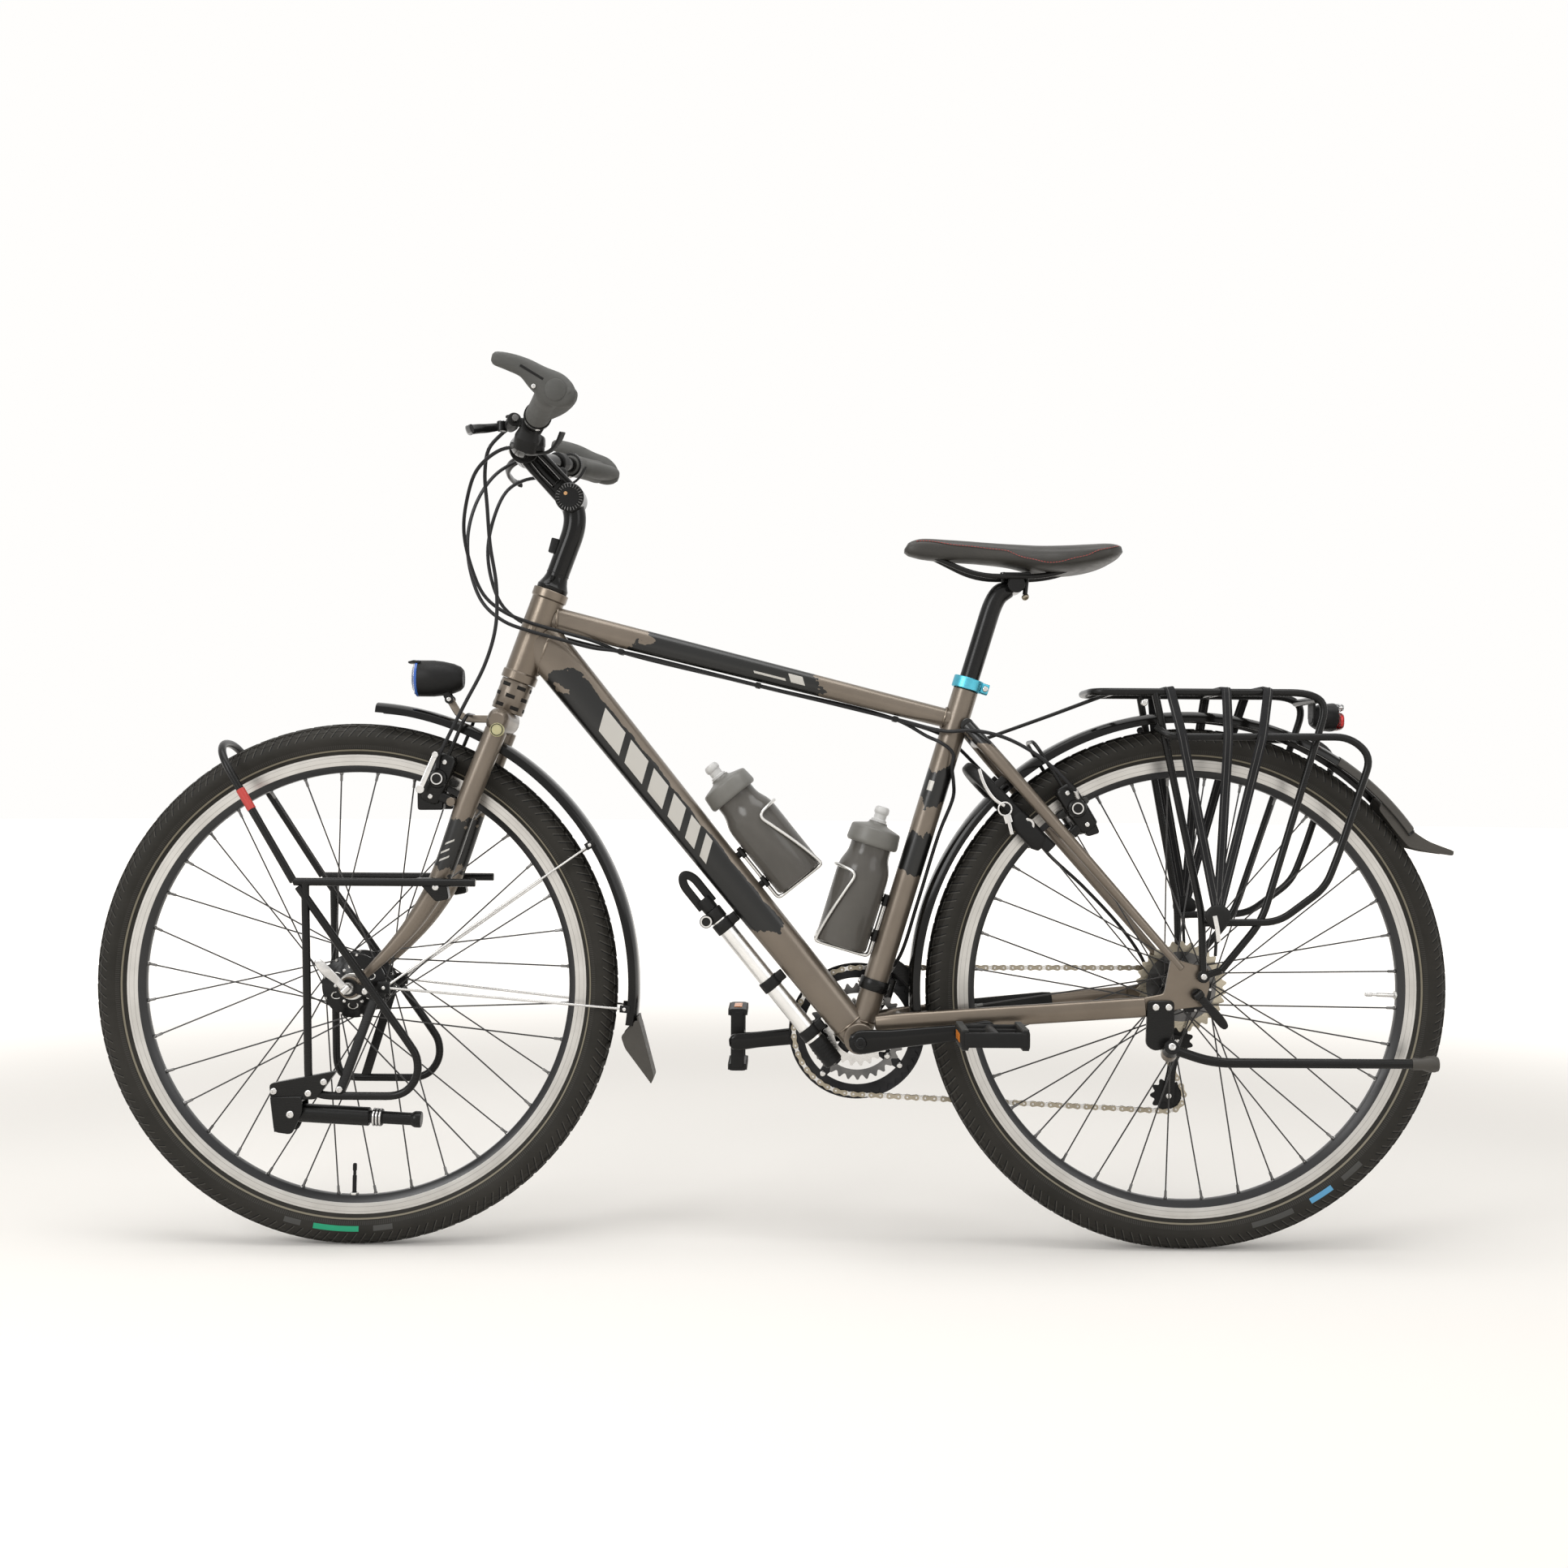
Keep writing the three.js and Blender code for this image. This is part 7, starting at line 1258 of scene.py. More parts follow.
badge = turned(((0, -7), (9.6, -7), (9.6, -0.6), (8.8, 0.5), (0, 1.1)), BADGE_AT, LEFT, 32)
piece("fork_badge", badge, "steering", pale_badge)
rim = turned(((7.2, 0.6), (8.2, 0.7), (8.2, 1.15), (7.2, 1.25), (7.2, 0.6)), BADGE_AT, LEFT, 32)
piece("fork_badge_ring", rim, "steering", black_plastic)

# Stem: an adjustable black stem with a dial joint, its arm and the clamp of the bar,
# and a swept bar that tapers to its ends.
HEAD_FOOT = on_steer(599.8)
STEM_RISE = 126.7
stem_places = [HEAD_TOP + Vector((0.122 * STEM_RISE, 0, 0.337 * STEM_RISE)),
               HEAD_TOP + Vector((0.270 * STEM_RISE, 0, 0.735 * STEM_RISE)),
               HEAD_TOP + Vector((0.208 * STEM_RISE, 0, STEM_RISE))]
DIAL = stem_places[2]
BAR_CLAMP = DIAL + Vector((-62, 0, 66.4))
arm_way = (BAR_CLAMP - DIAL).normalized()
arm_up = Vector((-arm_way.z, 0, arm_way.x))
stem_parts = [
    turned(((0, 0), (21, 0), (21.6, 0.8), (21.6, 5.6), (20.8, 6.6), (17.4, 14), (15.7, 20), (0, 20)),
           HEAD_FOOT, STEER_UP, 40), swept(rounded([on_steer(602), *stem_places], 30, 8), 15.5, 28),
    straight(DIAL + RIGHT * -24, DIAL + RIGHT * 24, 20, 48, 1.4),
    straight(BAR_CLAMP + RIGHT * -23, BAR_CLAMP + RIGHT * 23, 20.9, 48, 1.2),
]
stem_parts.append(block(DIAL.lerp(BAR_CLAMP, 0.1), DIAL.lerp(BAR_CLAMP, 0.9), 13, 9, 20, square=6))
# Thin pale loops round the arm's side windows: a painted highlight that stands for the light on their
# bevelled edges.
window = []
for side in SIDES:
    edge = [DIAL.lerp(BAR_CLAMP, share) + arm_up * rise + RIGHT * side * 19
            for share, rise in ((0.3, -7), (0.3, 7), (0.55, 8), (0.8, 6.4), (0.8, -6.4), (0.55, -7))]
    window.append(swept(edge, 0.75, 8, closed=True))
piece("stem_window_rims", window, "steering", dark_steel)
for rise in (-12.5, 12.5):
    stem_parts.append(block(DIAL + arm_up * rise, BAR_CLAMP + arm_up * rise * 0.9, 19, 5.5, 24,
                            square=6))
for side in SIDES:
    for share in (0.2, 0.9):
        stem_parts.append(block(DIAL.lerp(BAR_CLAMP, share - 0.08) + RIGHT * side * 15,
                                DIAL.lerp(BAR_CLAMP, share + 0.08) + RIGHT * side * 15, 4, 13, 16,
                                square=6))
piece("stem_body", stem_parts, "steering", gloss_black, ["stem"])
dial_lines = []
for i in range(26):
    way = Vector((math.cos(i * math.tau / 26), 0, math.sin(i * math.tau / 26)))
    dial_lines.append((DIAL + way * 16 + RIGHT * -24.1, aim(way), 1))
    dial_lines.append((DIAL + way * 16 + RIGHT * 24.1, aim(way), 1))
spread("stem_dial_teeth", block(Vector((0, 0, -2.6)), Vector((0, 0, 2.6)), 0.5, 0.5, 8, square=2),
       dial_lines, dark_steel, "steering")
clamp_bolts = [(BAR_CLAMP + arm_way * 12 + arm_up * rise + RIGHT * y + (-arm_way) * -6, arm_way)
               for rise in (-15, 15) for y in (-14, 14)]
screws("stem_bolts", clamp_bolts, 4.6, "steering")
dial_caps = [turned(((0, 0), (13.6, 0), (14, 0.4), (13.6, 0.9), (0, 1.1)), DIAL + RIGHT * side * 24,
                    RIGHT * side, 40) for side in SIDES]
piece("stem_dial_caps", dial_caps, "steering", dark_gloss)
amber_dot = finish_base("dial_mark", (0.55, 0.30, 0.12), (0.66, 0.38, 0.18), 0.4, bump=0.05)[0]
dots = [turned(((0, 0), (2.6, 0), (2.4, 0.4), (0, 0.5)), DIAL + Vector((-5, side * 25, 5)),
               RIGHT * side, 20) for side in SIDES]
piece("stem_dial_marks", dots, "steering", amber_dot)
clip = [
    block(Vector((-313.5, 0, 953)), Vector((-308.5, 0, 972.5)), 7.5, 6.2, 20, FORWARD, 5),
    block(Vector((-303, 0, 962)), Vector((-293, 0, 959)), 6, 6, 16),
    turned(((15.5, -0.5), (16.1, -0.3), (16.1, 0.3), (15.5, 0.5), (15.5, -0.5)),
           on_steer(599.5).lerp(stem_places[0], 0.55), STEER_UP, 40),
]
piece("stem_clip", clip, "steering", black_plastic)
BAR_HALF = 305
BAR_SWEEP = 71
BAR_RISE = 21
BAR_PLACES = ((0, 0, 0), (.148, 0, 0), (.33, .2, .19), (.59, .535, .57), (.985, .98, .98), (1, 1, 1))


def bar_point(share, side):
    rows = [(place[0], place[0] * BAR_HALF, place[1] * BAR_SWEEP, place[2] * BAR_RISE)
            for place in BAR_PLACES]
    i = max(j for j in range(len(rows) - 1) if rows[j][0] <= share + 1e-9)
    first, second = rows[i], rows[i + 1]
    t = (share - first[0]) / (second[0] - first[0])
    out, back, rise = (first[c] + (second[c] - first[c]) * t for c in (1, 2, 3))
    return BAR_CLAMP + Vector((back, side * out, rise))


for side, hand in HANDS:
    rows = [(share, *bar_point(share, side), size)
            for share, size in ((0, 15.9), (.10, 15.9), (.15, 15.2), (.25, 12.4), (.33, 11.2),
                                (.45, 11.1), (.59, 11.1), (.8, 11.1), (.965, 11.1))]
    line = smooth_between(rows, 70)
    piece(f"handlebar_{hand}", swept([Vector(row[1:4]) for row in line], [row[4] for row in line], 28),
          "steering", gloss_black, ["handlebar"] if side < 0 else [])


# Grips: a grey rubber sleeve with fine ribs, a palm wing and a horn, each with a clamp.
def grip_shape(side):
    start = bar_point(0.60, side)
    end = bar_point(1, side)
    rows = ((0, 15), (0.015, 16.2), (0.4, 16), (0.7, 16.4), (0.92, 16.9), (0.95, 14))
    sleeve = swept([start.lerp(end, share) for share, size in smooth_between(rows, 24)],
                   [size for share, size in smooth_between(rows, 24)], 28)
    wing_rows = ((0.16, 4, 5), (0.24, 19, 10.2), (0.3, 22, 11.4), (0.5, 30, 12.2), (0.75, 34, 12),
                 (0.92, 33, 11.5), (0.96, 30, 10.6), (0.99, 24, 8))
    points = []
    sizes = []
    for share, reach, tall in smooth_between(wing_rows, 26):
        points.append(start.lerp(end, share) + Vector((reach * 0.42, 0, -reach * 0.05)))
        sizes.append((reach * 0.62, tall))
    wing = swept(points, sizes, 30, first_up=(0.12, 0, 1), square=2.2)
    root = Vector((end.x, side * 296.4, end.z))
    horn_rows = ((0, -73, 41.2, 5.4, 5), (0.04, -69.5, 40.4, 8.2, 7.2), (0.20, -53, 36.2, 10.4, 9.8),
                 (0.42, -32, 28, 12.2, 11.2), (0.60, -14, 14.5, 17, 11.8), (0.76, 3, 3.5, 20.6, 12),
                 (0.90, 17, -4.5, 17, 12), (0.97, 25, -8.4, 11, 11), (1, 29, -10, 6, 8))
    line = smooth_between(horn_rows, 40)
    horn = swept([root + Vector((row[1], 0, row[2])) for row in line],
                 [(row[3], row[4]) for row in line], 32, first_up=RIGHT, square=2.4)
    boss = turned(((0, -4), (13.4, -4), (13.4, 0.2), (12.6, 0.9), (0, 1)),
                  root + Vector((6, side * 11.8, 0)), RIGHT * side, 40)
    return merged(sleeve, wing, horn, boss), start, end, root


def ribbed_finish():
    made, tree = finish_base("grip_rubber", (0.075, 0.075, 0.070), (0.105, 0.104, 0.098), 0.68,
                             grain=1300, bump=0.5, depth=0.00035, gloss=0.3)[:2]
    place = add_node(tree, "ShaderNodeTexCoord")
    cells = add_node(tree, "ShaderNodeTexVoronoi", feature="DISTANCE_TO_EDGE")
    cells.inputs["Scale"].default_value = 260
    cells.inputs["Randomness"].default_value = 0.15
    link(tree, place.outputs["Object"], cells.inputs["Vector"])
    height = math_node(tree, "ADD", math_node(tree, "MINIMUM", cells.outputs["Distance"], 0.25),
                       math_node(tree, "MULTIPLY", tree.nodes["wear"].outputs["Grain"], 0.3))
    link(tree, height, tree.nodes["relief"].inputs["Height"])
    return made


grip_rubber = ribbed_finish()
for side, hand in HANDS:
    shape, start, end, root = grip_shape(side)
    piece(f"grip_{hand}_rubber", shape, "steering", grip_rubber, [f"grip_{hand}"], 50)
    way = (end - start).normalized()
    face = RIGHT * side * 11.4
    bands = [
        turned(((15.6, -3.6), (17.5, -3.6), (18, -3.1), (18, 3.1), (17.5, 3.6), (15.6, 3.6),
                (15.6, -3.6)), start + way * 3, way, 40),
        block(root + Vector((-37, 0, 29.6)) + face * 0.97, root + Vector((-9, 0, 12.6)) + face, 1.7,
              0.9, 16, RIGHT, 3),
    ]
    piece(f"grip_{hand}_bands", bands, "steering", black_coat)
    screws(f"grip_{hand}_screws", [(start + way * 3 + Vector((0, 0, -17.6)), Vector((0, 0, -1))),
                                   (root + Vector((-20.8, 0, 4.4)) + face * 0.9, RIGHT * side)], 3,
           "steering")

# Levers: the brake's master cylinder with its cap, the shifter pod, the bent brake
# blade and the thumb lever on each side of the bar.
MASTER_LENGTH = 62
AHEAD_OF_BAR = Vector((-24.3, 0, 6))
BLADE_REACH = 88
BLADE_DROP = 26
BLADE = ((0, 0, 0), (.10, .03, .08), (.22, .13, .20), (.30, .26, .30), (.37, .45, .46), (.38, .62, .62),
         (.365, .80, .72), (.34, .98, .80), (.295, 1.10, .84), (.25, 1.18, .86))


def lever_places(side):
    at = bar_point(0.47, side)
    line = (bar_point(0.51, side) - at).normalized()
    pivot = at - line * MASTER_LENGTH * 0.42 + Vector((-27, 0, 6))
    shifter = at - line * MASTER_LENGTH * 0.28 + Vector((2, 0, -22))
    return at, line, pivot, shifter


for side, hand in HANDS:
    at, line, pivot, shifter = lever_places(side)
    tank = [at + line * -31 + AHEAD_OF_BAR, at + line * -27 + AHEAD_OF_BAR,
            at + line * -6 + AHEAD_OF_BAR, at + line * 7.4 + AHEAD_OF_BAR]
    body = [
        straight(at + line * -9, at + line * 9, 15.2, 36, 1),
        swept(even(tank, 3), [7 + 2.2 * min(1, i / 5) for i in range(len(even(tank, 3)))], 24),
        block(at, at + AHEAD_OF_BAR * 0.7, 7.2, 5.9, 20),
        block(at + line * -12.4, shifter, 6.3, 6.4, 20),
        turned(((0, -8), (15.6, -8), (16.8, -6.6), (17, -4), (17, 4), (16.6, 6.2), (15, 7.6), (0, 8)),
               shifter, UP, 48), turned(((0, 0), (8.6, 0), (8.6, 1.8), (7.6, 2.6), (0, 3)),
                                        at + line * -14 + AHEAD_OF_BAR + Vector((0, 0, 8)), UP, 28),
        swept([shifter + Vector((-19, 0, 3)), shifter + Vector((-13, 0, 4)),
               shifter + Vector((12, 0, 5)), shifter + Vector((17, 0, 5))],
              [(9, 6), (13.5, 8.6), (14.5, 9.6), (10, 7)], 24, first_up=UP, square=3),
        swept([at + Vector((-3, 0, -4)), at + Vector((-5, 0, -14)), shifter + Vector((-7, 0, -1)),
               shifter + Vector((-8, 0, -7))], [(13, 11), (17, 14), (16, 14), (11, 11)], 28,
              first_up=RIGHT, square=3.4),
    ]
    piece(f"lever_{hand}_body", body, "steering", black_plastic,
          [f"lever_body_{hand}"])
    window = turned(((0, -0.8), (9.6, -0.8), (9.6, 0.3), (8.8, 0.9), (0, 1.2)),
                    shifter + Vector((0, 0, 8)), UP, 32)
    piece(f"shifter_{hand}_window", window, "steering", dark_gloss)
    barrels = [straight(at + line * 7 + AHEAD_OF_BAR, at + line * 15.5 + AHEAD_OF_BAR, 4.4, 14),
               straight(shifter + Vector((-14, 0, 0)), shifter + Vector((-27, 0, 1)), 3.9, 14)]
    piece(f"lever_{hand}_barrels", barrels, "steering", dark_steel)
    screws(f"lever_{hand}_screws", [(at + Vector((0, 0, -15)), Vector((0, 0, -1))),
                                    (at + line * -26 + AHEAD_OF_BAR + Vector((0, 0, 7.5)), UP),
                                    (pivot + Vector((-9.1, 0, 6.6)), UP)], 3, "steering")
    eye = pivot + Vector((-9.1, 0, 0))
    rows = [(i / (len(BLADE) - 1), eye.x - share[0] * BLADE_REACH,
             eye.y + side * share[1] * BLADE_REACH, eye.z - share[2] * BLADE_DROP)
            for i, share in enumerate(BLADE)]
    blade_line = smooth_between(rows, 46)
    thick = [3.2 + 1.9 * math.sin(math.pi * min(1, i / 40)) ** 0.5 + (1.1 if i > 40 else 0)
             for i in range(46)]
    blade = [swept([Vector(row[1:4]) for row in blade_line],
                   [(size * 0.62, size * 1.25) for size in thick], 20, square=2.6),
             straight(eye + Vector((0, 0, -6.5)), eye + Vector((0, 0, 6.5)), 6.5, 32, 0.8)]
    piece(f"brake_blade_{hand}", blade, f"{hand}_brake_lever", dark_gloss,
          [f"brake_lever_{hand}"])
    hub = shifter + Vector((0, 0, -8 - 0.3 - 1.6))
    places = [hub + Vector((4, 0, 0)), hub + Vector((23.1, side * 4.2, 0)),
              hub + Vector((35.7, side * 8.4, 11.7)), hub + Vector((42, side * 12.6, 26))]
    path = rounded(places, 12, 6)
    count = len(path) - 1
    paddle = [swept(path, [(3.6 + 3.6 * i / count, 1.7) for i in range(count + 1)], 20, square=4),
              turned(((0, -1.6), (8.8, -1.6), (9.4, -1), (9.4, 1), (8.8, 1.6), (0, 1.6)), hub, UP, 32)]
    piece(f"thumb_lever_{hand}", paddle, f"{hand}_shift_lever", black_plastic,
          [f"shift_lever_{hand}"])

# Mudguards: curved dark blades with rolled edges, silver wire stays in their clips and
# soft grey flaps.
GUARD_SIDE = ((-28, -14), (-28.6, -13.2), (-27.6, -8), (-25.2, -4.2), (-20, -1.6), (-12.6, 0))
GUARD_ARC = (*GUARD_SIDE, (0, 0.5), *((-y, z) for y, z in reversed(GUARD_SIDE)))


def guard_shape(axle, radius, turns, steps=90, widen=1):
    inner = [(y * (1 - 1.8 / 28), z - 1.7 if abs(y) < 27 else z) for y, z in reversed(GUARD_ARC)]
    outline = list(GUARD_ARC) + inner
    rings = []
    for i in range(steps + 1):
        turn = turns[0] + (turns[1] - turns[0]) * i / steps
        out = ray(turn)
        rings.append([axle + out * (radius + z) + RIGHT * y * widen for y, z in outline])
    return skinned(rings)


def flap_shape(axle, outline, edge, half):
    """A hollow flap: a thin skirt on each side, joined by the web along its outer edge."""
    points = corners([at_wheel(axle, share) for share in outline], 4)
    web = [at_wheel(axle, share) for share in edge]
    return merged(plate(points, -half, 2.2 - half, 0.6), plate(points, half - 2.2, half, 0.6),
                  swept(rounded(web, 8), [(1.3, half - 0.3)] * len(rounded(web, 8)), 24, first_up=RIGHT,
                        square=9))


flap_grey = finish_base("flap_rubber", (0.040, 0.036, 0.030), (0.062, 0.056, 0.047), 0.55, grain=1200,
                        bump=0.3)[0]
FRONT_GUARD_TURNS = (math.radians(-8), math.radians(86))
REAR_GUARD_TURNS = (math.radians(35.4), math.radians(187.7))
piece("front_guard_blade", guard_shape(FRONT_AXLE, 388, FRONT_GUARD_TURNS), "steering", gloss_black,
      ["front_mudguard"], 30)
piece("rear_guard_blade", guard_shape(REAR_AXLE, 381, REAR_GUARD_TURNS, 130), "frame", gloss_black,
      ["rear_mudguard"], 30)
front_flap = ((1.073, -.127), (1.017, -.19), (1.033, -.236), (1.133, -.369), (1.145, -.347),
              (1.088, -.133))
piece("front_guard_flap",
      flap_shape(FRONT_AXLE, front_flap, ((1.080, -.115), (1.088, -.15), (1.141, -.347),
                                          (1.131, -.367)), 24), "steering", flap_grey)
rear_flap = ((.742, .742), (.823, .638), (.862, .605), (.912, .573), (1.010, .538), (1.008, .519),
             (.920, .531), (.838, .550), (.785, .612), (.722, .695))
piece("rear_guard_flap",
      flap_shape(REAR_AXLE, rear_flap, ((.742, .740), (.823, .636), (.862, .603), (.912, .571),
                                        (1.009, .534)), 25), "frame", flap_grey)
piece("rear_guard_cover", guard_shape(REAR_AXLE, 382.1, (math.radians(36), math.radians(57)), 30, 1.03),
      "frame", flap_grey, (), 30)
stays = []
clips = []
clip_screws = []
for side in SIDES:
    foot = at_front((.133, .002), side * 60.3)
    clips.append(block(foot + Vector((-8, 0, 0)), foot + Vector((8, 0, 0)), 4, 8, 20, square=5))
    clip_screws.append((foot + RIGHT * side * 4.2, RIGHT * side))
    for share in ((.902, .545), (1.039, -.085)):
        end = at_front(share, side * 27.1)
        stays.append(swept([foot, foot.lerp(end, 0.9), end], 1.7, 10))
        out = (end - FRONT_AXLE).normalized()
        clips.append(block(end - out * 9 + RIGHT * side * 1.2, end + out * 5 + RIGHT * side * 1.2, 3, 5,
                           16))
        clip_screws.append((end - out * 3 + RIGHT * side * 4, RIGHT * side))
piece("front_guard_wires", stays, "steering", steel)
piece("front_guard_clips", clips, "steering", black_plastic)
screws("front_guard_screws", clip_screws, 2.7, "steering")

# Front rack: black steel loops with a red band, bolted plates, and a stand with its
# housing and telescopic leg.
RACK_TUBE = 5.4
rack_parts = []
rack_screws = []
for side in SIDES:
    y = side * 80
    rack_parts.append(swept([at_front((-.195, .402), y), at_front((.484, .402), y)], RACK_TUBE, 20))
    loop = ((-.178, .384), (.236, -.195), (.273, -.251), (.273, -.330), (.216, -.397), (-.097, -.397),
            (-.135, -.358), (-.152, .402))
    rack_parts.append(swept(rounded([at_front(share, y) for share in loop], 22), RACK_TUBE, 20))
    foot = side * 58.3
    strut = [at_front((.02, 0), foot), at_front((.101, -.028), foot), at_front((-.021, -.392), y)]
    rack_parts.append(swept(rounded(strut, 10), [(2.2, 6.4)] * len(rounded(strut, 10)), 20,
                            first_up=FORWARD, square=5))
    eye = FRONT_AXLE + RIGHT * (foot - side * 2)
    rack_parts.append(straight(eye, eye + RIGHT * side * 4.2, 12, 30))
    bracket = [at_front(share) for share in ((.255, .418), (.37, .418), (.385, .34), (.335, .33))]
    rack_parts.append(plate(corners(bracket, 4), side * 61.5, side * 80, 1.2))
    rack_screws.extend(((at_front((.335, .385), side * 81), RIGHT * side),
                        (at_front((.062, -.012), side * 61), RIGHT * side),
                        (at_front((-.018, -.372), side * 84), RIGHT * side)))
hoop_half = [at_front((-.195, .402), -80), at_front((-.480, .860), -60), at_front((-.510, .920), -28)]
hoop = hoop_half + [Vector((p.x, -p.y, p.z)) for p in reversed(hoop_half)]
rack_parts.append(swept(rounded(hoop, 30), RACK_TUBE, 20))
stand_shape = [at_front(share) for share in ((-.277, -.351), (-.025, -.301), (-.103, -.408),
                                             (-.271, -.412))]
rack_parts.append(plate(corners(stand_shape, 5), -74.6, -87.4, 1))
piece("front_rack_tubes", rack_parts, "steering", black_coat, ["front_rack"])
housing = [at_front(share) for share in ((-.271, -.40), (-.153, -.396), (-.150, -.452), (-.189, -.538),
                                         (-.255, -.529))]
housing_parts = [
    plate(corners(housing, 6), -88.2, -91, 0.8), plate(corners(housing, 6), -55, -57.8, 0.8),
    plate([at_front(share) for share in ((-.271, -.40), (-.153, -.396), (-.156, -.418),
                                         (-.269, -.424))], -90, -56, 0.6),
    plate([at_front(share) for share in ((-.271, -.40), (-.255, -.529), (-.241, -.527),
                                         (-.257, -.402))], -90, -56, 0.6),
]
piece("front_stand_housing", housing_parts, "steering", black_coat)
rack_screws.extend((at_front(share, -88), LEFT)
                   for share in ((-.259, -.378), (-.073, -.342), (-.131, -.385)))
screws("front_rack_screws", rack_screws, 4.9, "steering")
band_red = finish_base("band_red", (0.42, 0.03, 0.025), (0.52, 0.05, 0.04), 0.42)[0]
band = straight(hoop_half[0].lerp(hoop_half[1], 0.585), hoop_half[0].lerp(hoop_half[1], 0.75), 6, 20,
                0.5)
piece("front_rack_band", band, "steering", band_red)
STAND_AT = at_front((-.195, -.462), -73)
stand_way = Vector((math.cos(math.radians(3)), 0, -math.sin(math.radians(3))))
leg = [
    straight(STAND_AT - stand_way * 3.4, STAND_AT + stand_way * 103, 12.5, 30, 1.6),
    straight(STAND_AT + stand_way * 106.6, STAND_AT + stand_way * 120.4, 11.5, 30, 1.2),
    straight(STAND_AT + stand_way * 96, STAND_AT + stand_way * 160, 8.5, 24),
    turned(((0, 0), (6, 0), (10.4, 7), (11, 9), (11, 15.6), (10, 17.2), (0, 17.2)),
           STAND_AT + stand_way * 154.8, stand_way, 30),
    straight(Vector((STAND_AT.x, -91, STAND_AT.z)), Vector((STAND_AT.x, -55, STAND_AT.z)), 4, 16),
]
piece("front_stand_tube", leg, "front_stand", black_coat, ["front_stand_leg"])
rings = [turned(((11.3, 0), (12, 0.2), (12.2, 0.6), (12.2, 2), (12, 2.4), (11.3, 2.6), (11.3, 0)),
                STAND_AT + stand_way * at, stand_way, 40) for at in (107.4, 111.8, 116.2)]
piece("front_stand_rings", rings, "front_stand", steel)
screws("front_stand_pin", [(Vector((STAND_AT.x, -91.4, STAND_AT.z)), LEFT)], 5.4, "steering")

# Rim brakes: a cylinder each side with its body, holder, pad and arch, front and rear.
def brake_piece(wheel_name, axle, centre_share, holder_share, boss_share, body, node):
    centre = at_wheel(axle, centre_share)
    out = (centre - axle).normalized()
    tangent = Vector((-out.z, 0, out.x))
    parts = []
    pads = []
    heads = []
    rings = []
    for side in SIDES:
        at = centre + RIGHT * side * 24
        parts.append(turned(((0, 0), (12.2, 0), (13, 0.9), (13, 29), (12, 31.2), (9, 32.6), (8, 36),
                             (0, 36)), at, RIGHT * side, 36))
        middle = centre + RIGHT * side * 40.2
        parts.append(swept([middle - out * 35, middle - out * 30, middle, middle + out * 30,
                            middle + out * 35], [(8.6, 11), (10.6, 14.4), (10.8, 15.5), (10.6, 14.4),
                                                 (8.6, 11)], 24, first_up=tangent, square=4))
        boss = at_wheel(axle, boss_share, side * 40.2)
        parts.append(block(middle - out * 21, boss, 9.5, 7, 20, tangent))
        holder = [at_wheel(axle, share) for share in holder_share]
        parts.append(plate(corners(holder, 4), side * 29.6, side * 47.6, 1.4))
        shoe = centre + RIGHT * side * 19.6
        pads.append(swept([shoe - tangent * 23, shoe - tangent * 20, shoe + tangent * 20,
                           shoe + tangent * 23], [(4.2, 3.6), (4.5, 5), (4.5, 5), (4.2, 3.6)], 20,
                          first_up=out, square=4))
        rings.append(turned(((6.2, 0), (8.2, 0), (8, 0.9), (6.4, 0.9), (6.2, 0)),
                            centre + RIGHT * side * 60, RIGHT * side, 32))
        heads.append((middle + out * 24 + RIGHT * side * 11.2, RIGHT * side))
        heads.append((middle - out * 26 + RIGHT * side * 11.2, RIGHT * side))
    reach = (centre - axle).length + 28
    half = [axle + out * reach + RIGHT * -42, axle + out * 401 + RIGHT * -42]
    arch = half + [Vector((p.x, 2 * axle.y - p.y, p.z)) for p in reversed(half)]
    parts.append(swept(rounded(arch, 22), 2.6, 14))
    piece(wheel_name + "_brake_bodies", parts, body, black_coat, [node])
    piece(wheel_name + "_brake_pads", pads, body, rubber_grey)
    screws(wheel_name + "_brake_screws", heads, 3.6, body)
    piece(wheel_name + "_brake_rings", rings, body, steel)


FRONT_CYLINDER = (.326, .79)
REAR_CYLINDER = (-.442, .693)
brake_piece("front", FRONT_AXLE, FRONT_CYLINDER,
            ((.247, .745), (.345, .749), (.346, .672), (.248, .671)), (.379, .703), "steering",
            "front_brake")
strip = [Vector((-462, -66, 672.9)), Vector((-481.9, -66, 626.4))]
link_parts = [swept(strip, [(3.6, 1)] * 2, 16, first_up=RIGHT, square=4),
              straight(strip[1] + LEFT * 1.2, strip[1] + RIGHT * 6, 5.6, 24),
              straight(strip[0] + LEFT * 1.2, strip[0] + RIGHT * 6, 4.2, 20)]
piece("front_brake_link", link_parts, "steering", steel)
brake_piece("rear", REAR_AXLE, REAR_CYLINDER, ((-.433, .66), (-.39, .69), (-.352, .60), (-.40, .585)),
            (-.457, .594), "frame", "rear_brake")

# Axles and quick-release levers: nuts and cams, and a cupped blade on each left side.
def axle_piece(wheel_name, axle, half, body, finish):
    parts = [
        straight(axle - RIGHT * (half + 5), axle + RIGHT * (half + 4), 4.6, 16),
        turned(((0, 0), (8, 0), (9, 1), (9, 6.4), (7.2, 8.6), (0, 9)), axle + RIGHT * (half + 0.3),
               RIGHT, 24), turned(((0, 0), (7.4, 0), (8, 0.6), (8, 9), (7, 10.6), (0, 11)),
                                  axle - RIGHT * (half + 0.3), LEFT, 28),
    ]
    piece(wheel_name + "_skewer", parts, body, finish, [wheel_name + "_axle"])


